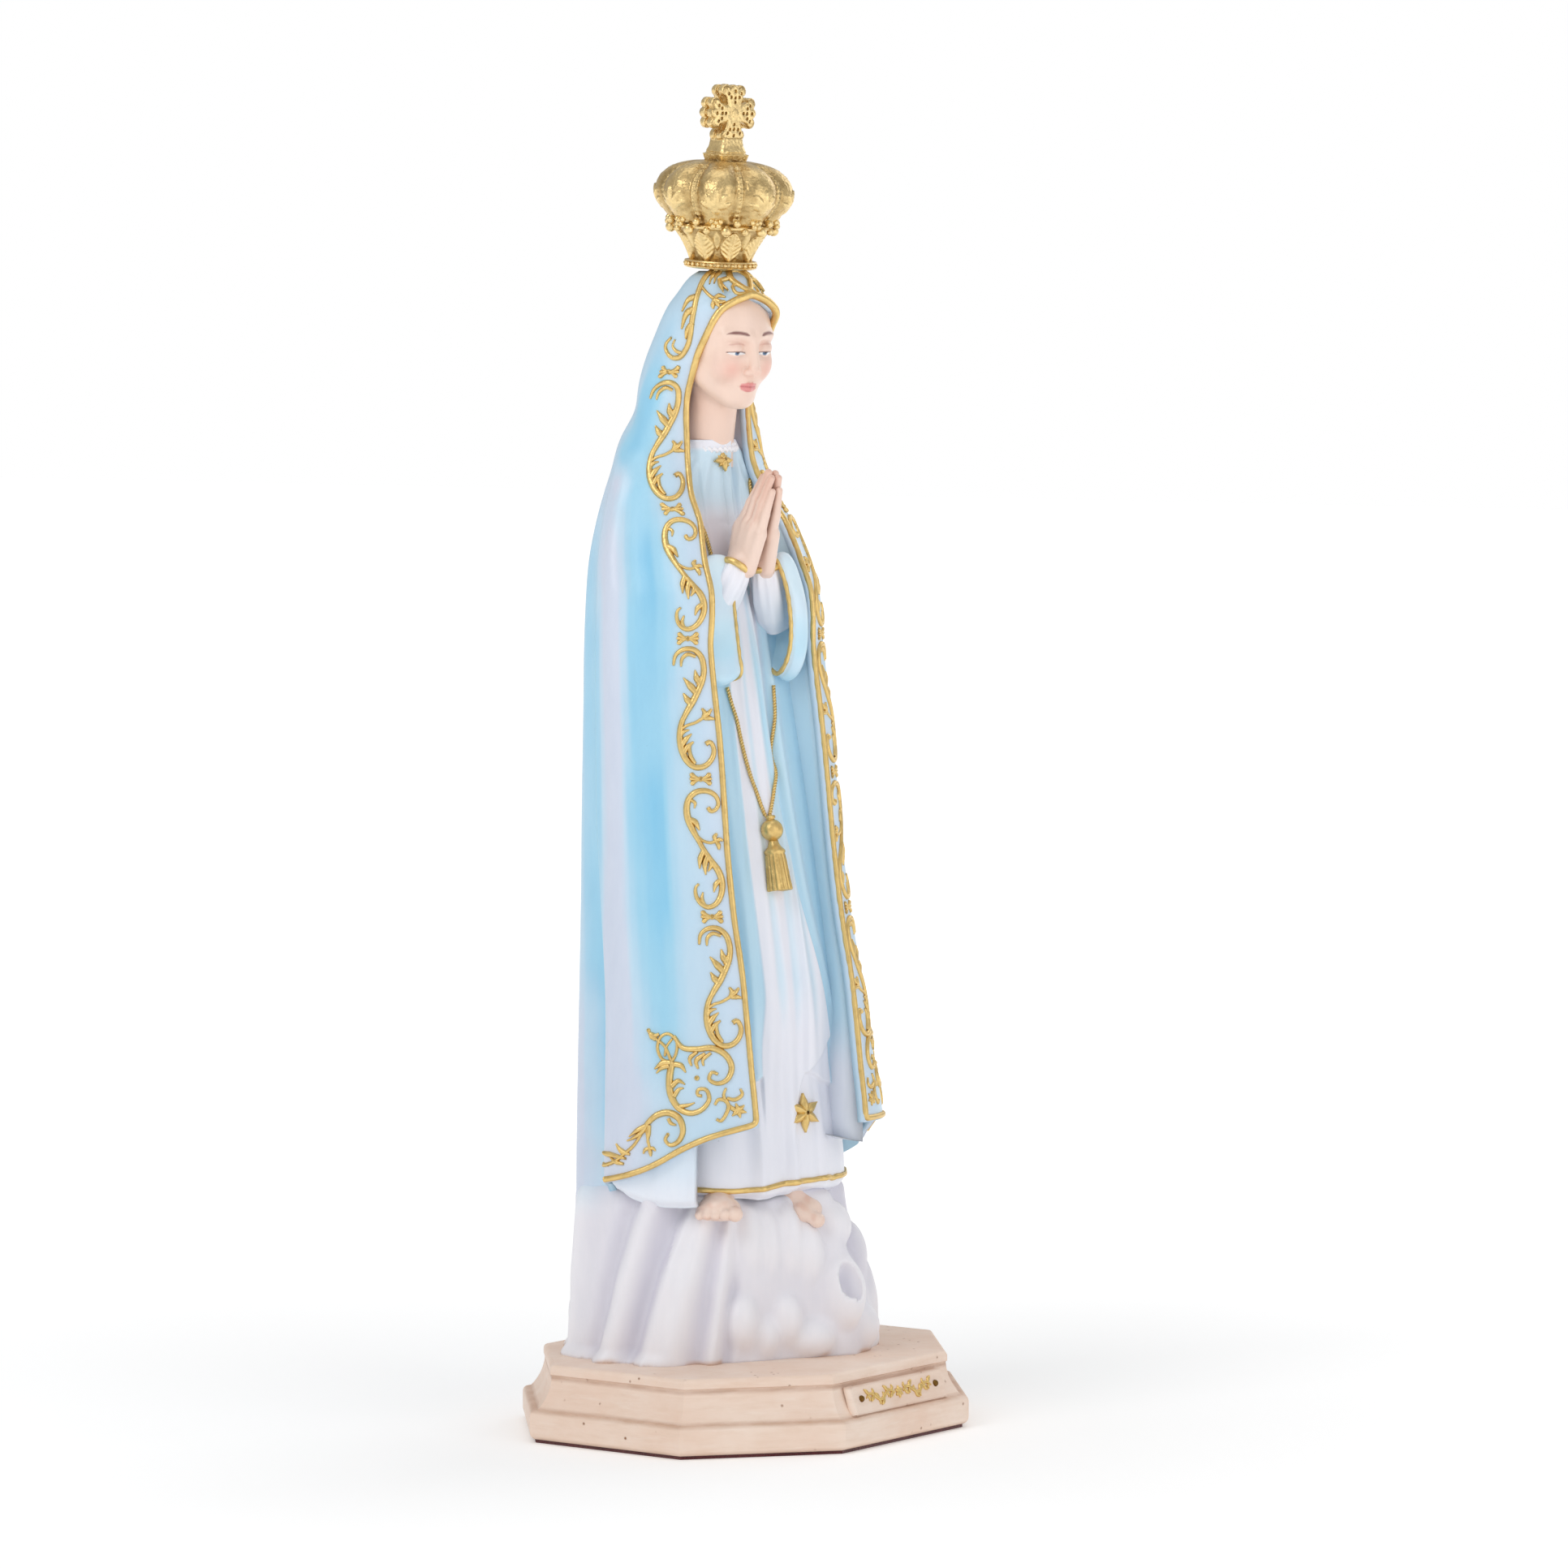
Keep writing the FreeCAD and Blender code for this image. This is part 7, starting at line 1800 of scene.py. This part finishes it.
def build_crown():
    # band
    def band(al, z, r):
        return r + 0.05 * noise(np.stack([al * 12, z, 0 * z], -1), 1.2, 61)

    pr = [(8.8, 0.0), (11.2, 0.0), (12.0, 0.3), (12.25, 0.7), (11.6, 1.0), (11.5, 1.9), (12.2, 2.2), (12.0, 2.6), (11.2, 2.75), (8.8, 2.75)]
    B = Build()
    a = np.linspace(0, 2 * np.pi, 120, endpoint=False)
    R = np.stack([np.stack([r * np.cos(a), r * np.sin(a), np.full(120, z)], -1) for r, z in pr + [pr[0]]])
    R = R[:-1]
    V = R.reshape(-1, 3)
    V[:, :2] *= (1 + 0.004 * noise(V, 1.5, 61))[:, None]
    n = len(pr)
    Q = grid_faces(n, 120, wrap_u=True, wrap_v=True)
    # painted light and shade: the band's outer lips lit full, the rest shaded
    B.add(crown_frame(V), Q, None, CROWN_COL, 0.6 + 0.4 * (np.hypot(V[:, 0], V[:, 1]) > 11.9))
    for k in range(30):
        t = 2 * math.pi * k / 30
        ball_at(B, np.array([11.75 * math.cos(t), 11.75 * math.sin(t), 1.45]), 0.72, 9)
    B.object("crown_band_cast", "crown", M_CROWN, ["crown_band"], sharp=50)

    # cup with eight upright leaves
    zs = np.linspace(2.65, 13.3, 62)
    na = 288
    al = np.linspace(0, 2 * np.pi, na, endpoint=False)
    A, Z = np.meshgrid(al, zs)
    t = (Z - 2.65) / 10.65
    base = 9.6 + 6.3 * (0.55 * t + 0.45 * t**2)
    ph = (A * 8 / (2 * np.pi)) % 1 - 0.5
    x = np.abs(ph) * 2
    half = 0.97 * np.sin(np.clip(t * 1.04, 0, 1) * np.pi * 0.93 + 0.14) ** 0.8 * (1 - 0.32 * t)
    edge = half - x
    leaf = smooth(0, 0.13, edge)
    rib = np.exp(-((x / 0.10) ** 2)) * leaf * (t < 0.93)
    vein = 0.16 * np.sin((t * 14 - x * 5.0) * 2 * np.pi / 2.0) * leaf * smooth(0.12, 0.3, x)
    ph2 = (A * 8 / (2 * np.pi) + 0.5) % 1 - 0.5
    x2 = np.abs(ph2) * 2
    leaf2 = smooth(0, 0.12, 0.30 * np.sin(np.clip((t - 0.32) / 0.66, 0, 1) * np.pi) - x2) * (1 - leaf)
    h = 1.15 * leaf * (1 - 0.25 * x / np.maximum(half, 0.1)) + 0.42 * rib + vein + 0.65 * leaf2
    h += 0.10 * noise(np.stack([np.cos(A) * base, np.sin(A) * base, Z], -1), 0.9, 62)
    Rr = base - 0.3 + h
    R = np.stack([Rr * np.cos(A), Rr * np.sin(A), Z], -1)
    # painted light and shade: the leaves lit, the gaps between them shaded
    rows, gold = [R], [np.clip(0.42 + 0.58 * leaf + leaf2 * 0.5, 0, 1)]
    top = [(16.5, 13.45), (17.0, 13.9), (16.9, 14.5), (16.2, 14.9), (15.0, 14.7), (14.2, 14.0), (12.0, 13.6), (9.8, 13.3)]
    for r, z in top:
        rows.append(np.stack([r * np.cos(al), r * np.sin(al), np.full(na, z)], -1)[None])
        gold.append(np.full((1, na), 0.9))
    # painted shade on the inside of the cup
    for r, z in [(9.1, 12.0), (7.9, 8.0), (7.7, 2.65)]:
        rows.append(np.stack([r * np.cos(al), r * np.sin(al), np.full(na, z)], -1)[None])
        gold.append(np.full((1, na), 0.2))
    R = np.vstack(rows)
    G = np.vstack(gold)
    B = Build()
    B.add(crown_frame(R.reshape(-1, 3)), grid_faces(R.shape[0], na, wrap_u=True, wrap_v=True), None, CROWN_COL, G.ravel())
    B.object("crown_cup_cast", "crown", M_CROWN, ["crown_cup"])

    # beads and rosettes round the rim
    B = Build()
    for k in range(16):
        t = 2 * math.pi * (k + 0.5) / 16
        c = np.array([16.75 * math.cos(t), 16.75 * math.sin(t), 13.2])
        if k % 2:
            ball_at(B, c + [0.5 * math.cos(t), 0.5 * math.sin(t), 0], 1.8, 14)
        else:
            ball_at(B, c, 1.25, 12)
    for k in range(16):
        t = 2 * math.pi * k / 16
        if k % 2 == 0:
            rosette(B, t, 18.1, 16.0)
        else:
            ball_at(B, np.array([17.9 * math.cos(t), 17.9 * math.sin(t), 16.0]), 1.35, 12)
    B.object("crown_beads_cast", "crown", M_CROWN, ["crown_beads"])

    # bulb: eight lobes, a rib in each groove, a palmette on each lobe
    prof = np.array([(13.6, 12.6), (14.6, 13.6), (17.6, 16.0), (20.9, 20.0), (22.7, 23.0), (23.2, 25.6), (22.6, 28.6), (20.9, 31.2), (17.8, 33.6), (14.0, 35.0), (10.6, 35.7), (8.2, 35.9)])
    pp = spline(prof, 110)
    na = 384
    al = np.linspace(0, 2 * np.pi, na, endpoint=False)
    A, _ = np.meshgrid(al, pp[:, 0])
    Rr, Z = pp[:, 0][:, None] + 0 * A, pp[:, 1][:, None] + 0 * A
    f = np.clip((Z - 13.5) / 4.0, 0, 1) * np.clip((36.2 - Z) / 2.0, 0, 1)
    lob = np.abs(np.sin(A * 4 + math.pi / 2)) ** 0.55
    g = np.exp(-((np.arccos(np.clip(np.abs(np.sin(A * 4 + math.pi / 2)), 0, 1)) - math.pi / 2) / 0.17) ** 2)
    d = -4.6 * (1 - lob) * f + 2.3 * g * f
    d += 0.22 * g * f * np.sin(pp[:, 1][:, None] * 2 * np.pi / 1.5)
    # palmette
    ph = ((A * 8 / (2 * np.pi) + 0.5) % 1 - 0.5) * 2.0
    s = np.linspace(0, 1, len(pp))[:, None] + 0 * A
    px, py = ph * Rr * 0.39, (s - 0.30) * 42.0
    pal = np.zeros_like(px)
    for q in range(-2, 3):
        dx, dy = math.sin(q * 0.52), math.cos(q * 0.52)
        ln = 8.2 - 1.0 * abs(q)
        tt = np.clip((px * dx + py * dy) / ln, 0, 1)
        rad = np.hypot(px - dx * ln * tt, py - dy * ln * tt)
        wd = 0.30 + 0.85 * np.sin(np.pi * np.clip(tt, 0, 1)) ** 0.7
        pal = np.maximum(pal, np.clip(1 - (rad / wd) ** 2, 0, 1) ** 0.5)
    pal = np.maximum(pal, np.clip(1 - (np.hypot(px, py + 0.6) / 1.5) ** 2, 0, 1) ** 0.5)
    d += 0.62 * pal * f
    P3 = np.stack([Rr * np.cos(A), Rr * np.sin(A), Z], -1)
    d += (0.25 * noise(P3, 1.1, 63) + 0.15 * noise(P3, 0.55, 64)) * f
    R = np.stack([(Rr + d) * np.cos(A), (Rr + d) * np.sin(A), Z + 0.25 * d * np.clip((Z - 27) / 8, 0, 1)], -1)
    # painted light and shade: ribs, palmettes and lobe crowns lit, the grooves shaded
    gold = np.clip(0.30 + 0.6 * g + 0.45 * pal + 0.5 * lob**2, 0, 1)
    rows = [R]
    G = [gold]
    # painted shade on the inner surface of the bulb
    for r, z in [(6.2, 35.9), (5.6, 33.6), (7.8, 33.2), (11.5, 32.6), (15.8, 30.6), (19.2, 27.2), (19.6, 24.0), (17.0, 20.2), (13.0, 16.2), (11.2, 12.6)]:
        rows.append(np.stack([r * np.cos(al), r * np.sin(al), np.full(na, z)], -1)[None])
        G.append(np.full((1, na), 0.15))
    R = np.vstack(rows)
    G = np.vstack(G)
    B = Build()
    B.add(crown_frame(R.reshape(-1, 3)), grid_faces(R.shape[0], na, wrap_u=True, wrap_v=True), None, CROWN_COL, G.ravel())
    B.object("crown_bulb_cast", "crown", M_CROWN, ["crown_bulb"])

    # stem and cross
    def box(q, h, r):
        d = np.abs(q) - (np.asarray(h) - r)
        return np.linalg.norm(np.maximum(d, 0), axis=-1) + np.minimum(d.max(-1), 0) - r

    def sdf(P):
        x, y, z = P[..., 0], P[..., 1], P[..., 2]
        w1 = np.interp(z, [34.9, 36.0, 37.0, 38.2, 39.0, 41.0, 43.4], [5.6, 5.6, 5.9, 6.3, 5.4, 4.6, 4.3])
        q = np.stack([x, y, z - 39.2], -1)
        k = w1 / 6.0
        stem = np.maximum(box(q / k[..., None], (6.0, 6.0, 30), 2.4) * k, np.maximum(35.0 - z, z - 43.6))
        groove = np.abs(z - 38.55) - 0.35
        stem = np.maximum(stem, -np.maximum(groove, -(stem + 0.6)))
        cz = z - 51.9
        dep = np.abs(y) - (4.0 - 0.9 * np.clip((np.abs(x) + np.abs(cz) - 8) / 6, 0, 1))

        def arm(u, v):
            half = np.interp(np.abs(u), [0, 2.0, 4.5, 7.2, 9.6], [2.6, 2.7, 3.2, 4.5, 5.0])
            a = np.maximum(np.abs(v) - half, np.abs(u) - 8.0)
            for off in (-3.3, 0, 3.3):
                a = np.minimum(a, np.hypot(np.abs(u) - 7.5, v - off) - (2.0 if off == 0 else 1.85))
            return a

        plan = np.minimum(arm(x, cz), arm(cz, x))
        plan = np.minimum(plan, np.maximum(np.abs(x) - 4.4, np.abs(cz + 8.2) - 2.4))
        body = np.maximum(plan, dep)
        e = np.maximum(plan + 0.9, 0) + np.maximum(dep + 0.9, 0)
        body = np.maximum(body, np.hypot(np.maximum(plan + 0.9, 0), np.maximum(dep + 0.9, 0)) - 0.9)
        side = np.abs(y) - 0.75
        body = np.maximum(body, -np.maximum(side, -(plan + 0.75)))
        pits = np.full(x.shape, 9.0)
        for px, pz in ((6.6, -2.6), (6.6, 2.6), (7.4, 0), (5.2, 0), (5.4, -1.7), (5.4, 1.7), (3.7, 0)):
            for qx, qz in ((px, pz), (-px, pz), (pz, px), (pz, -px)):
                pits = np.minimum(pits, np.hypot(x - qx, cz - qz) - 0.52)
        body = np.maximum(body, -np.maximum(pits, 2.9 - np.abs(y)))
        boss = np.maximum(np.hypot(x, cz) - 1.3, np.abs(y) - 4.25)
        d = np.minimum(np.minimum(stem, body), boss)
        return d + 0.14 * noise(P, 0.9, 65) + 0.07 * noise(P, 0.45, 66)

    V, Q = nets(sdf, (-12.5, -8.2, 34.2), (12.5, 8.2, 63.5), 0.3, 1, 2)
    B = Build()
    hol = 1 - smooth(3.0, 3.5, np.abs(V[:, 1])) * (V[:, 2] > 42)
    # painted shade deep in the cross's recesses
    B.add(crown_frame(V), Q, None, CROWN_COL, np.clip(0.95 - 0.5 * ((np.abs(V[:, 1]) < 3.5) & (np.abs(V[:, 1]) > 2.9) & (V[:, 2] > 43)), 0, 1))
    B.object("crown_cross_cast", "crown", M_CROWN, ["crown_cross"])


build_crown()

# ---------------------------------------------------------------- plaque ornament
def build_plaque():
    """A plain leaf scroll across the plate."""
    up = np.array([0, 0.30902, 0.95106])
    out = np.array([0, -0.95106, 0.30902])
    o = np.array([0, -65.2, 11.4])

    def at(x, v, h=0.0):
        x, v = np.asarray(x, float), np.asarray(v, float)
        return o + x[..., None] * np.array([1.0, 0, 0]) + v[..., None] * up + out * h

    B = Build()

    def line(pts, w, high=0.55):
        c = spline(pts, max(8, len(pts) * 5))
        P = at(c[:, 0], c[:, 1], 0.02)
        ww = np.interp(np.linspace(0, 1, len(P)), np.linspace(0, 1, len(w)), w)
        V, Q, T = bead(P, np.broadcast_to(out, P.shape), ww, np.minimum(high, ww + 0.1), sink=0.3, sides=7)
        B.add(V / 1000.0, Q, T, rgb("C9A352"), 1.0, metres=True)

    mid = 4.95
    for s in (-1, 1):
        x = np.linspace(2.4, 18.6, 30)
        wv = mid + 1.25 * np.sin((x - 2.4) / 16.2 * 3 * np.pi)
        line(np.stack([s * x, wv], 1), [0.4, 0.62, 0.62, 0.62, 0.62, 0.55, 0.25])
        for k in range(6):
            t = 2.4 + 16.2 * (k + 0.5) / 6.0 * 1.0
            c = mid + 1.25 * math.sin((t - 2.4) / 16.2 * 3 * math.pi)
            d = -1 if k % 2 else 1
            d = -d
            line([(s * (t - 0.3), c), (s * (t + 0.5), c + d * 1.3), (s * (t + 1.7), c + d * 2.2)], [0.35, 0.85, 0.2], 0.6)
            line([(s * (t + 0.3), c), (s * (t - 0.5), c - d * 1.0), (s * (t - 0.2), c - d * 2.0)], [0.3, 0.6, 0.2], 0.5)
    for k in range(6):
        a = math.radians(60 * k + 30)
        line([(0, mid), (0.95 * math.cos(a), mid + 0.95 * math.sin(a)), (2.1 * math.cos(a), mid + 2.1 * math.sin(a))], [0.35, 0.75, 0.25], 0.65)
    B.object("plaque_scroll", "root", M_GOLD)


build_plaque()

# ---------------------------------------------------------------- stage
def stage():
    sc = bpy.context.scene
    # flat pale floor
    me = bpy.data.meshes.new("floor")
    s = 9.0
    me.from_pydata([(-s, -s, 0), (s, -s, 0), (s, s, 0), (-s, s, 0)], [], [(0, 1, 2, 3)])
    fl = bpy.data.objects.new("floor", me)
    sc.collection.objects.link(fl)
    t = Tree("floor_white")
    n = t.noise(3, 2)
    t.link(t.mix(n, (0.93, 0.93, 0.93), (0.95, 0.95, 0.95)), t.b.inputs["Base Color"])
    t.b.inputs["Roughness"].default_value = 0.85
    t.b.inputs["Emission Color"].default_value = (1, 1, 1, 1)
    d = t.node("ShaderNodeVectorMath", operation="LENGTH")
    t.link(t.obj, d.inputs[0])
    t.link(t.range(d.outputs["Value"], 0.12, 1.3, 0.16, 0.66), t.b.inputs["Emission Strength"])
    me.materials.append(t.m)

    w = bpy.data.worlds.new("studio")
    sc.world = w
    w.use_nodes = True
    nt = w.node_tree
    nt.nodes.clear()
    o = nt.nodes.new("ShaderNodeOutputWorld")
    bg = nt.nodes.new("ShaderNodeBackground")
    bg.inputs[0].default_value = (1.0, 1.0, 1.0, 1)
    bg.inputs[1].default_value = 0.50
    # the backdrop itself is white
    plain = nt.nodes.new("ShaderNodeBackground")
    plain.inputs[0].default_value = (1.0, 1.0, 1.0, 1)
    plain.inputs[1].default_value = 1.0
    path = nt.nodes.new("ShaderNodeLightPath")
    both = nt.nodes.new("ShaderNodeMixShader")
    nt.links.new(path.outputs["Is Camera Ray"], both.inputs[0])
    nt.links.new(bg.outputs[0], both.inputs[1])
    nt.links.new(plain.outputs[0], both.inputs[2])
    nt.links.new(both.outputs[0], o.inputs[0])

    def area(name, loc, target, size, power, colour=(1, 1, 1)):
        d = bpy.data.lights.new(name, "AREA")
        d.energy, d.size, d.color = power, size, colour
        ob = bpy.data.objects.new(name, d)
        sc.collection.objects.link(ob)
        ob.location = loc
        ob.rotation_mode = "QUATERNION"
        ob.rotation_quaternion = (Vector(target) - Vector(loc)).to_track_quat("-Z", "Y")
        return ob

    mid = (0, 0, 0.22)
    az = math.radians(-53.5)
    fwd = Vector((-math.sin(az), math.cos(az), 0))
    right = Vector((math.cos(az), math.sin(az), 0))
    cam_dir = -fwd
    up = Vector((0, 0, 1))
    area("key", tuple(cam_dir * 1.0 - right * 0.9 + up * 1.25), mid, 0.9, 7.4)
    area("fill", tuple(cam_dir * 1.1 + right * 1.1 + up * 0.7), mid, 1.2, 4.4)
    area("top", tuple(up * 1.6 + fwd * 0.2), mid, 1.0, 3.0)
    area("rim", tuple(fwd * 1.0 + right * 0.8 + up * 0.9), mid, 0.9, 3.0)

    cam = bpy.data.cameras.new("camera")
    co = bpy.data.objects.new("camera", cam)
    sc.collection.objects.link(co)
    cam.sensor_width = 36.0
    cam.lens = 36.0 * 8825.34 / 1932
    cam.clip_start, cam.clip_end = 0.05, 60
    D, zc = 2.4, 0.380717
    co.location = (math.sin(az) * D, -math.cos(az) * D, zc)
    b = az + math.radians(-0.31703)
    p = math.radians(-3.92499)
    d = Vector((-math.sin(b) * math.cos(p), math.cos(b) * math.cos(p), math.sin(p)))
    co.rotation_mode = "QUATERNION"
    co.rotation_quaternion = d.to_track_quat("-Z", "Y")
    sc.camera = co
    sc.view_settings.view_transform = "Standard"


stage()
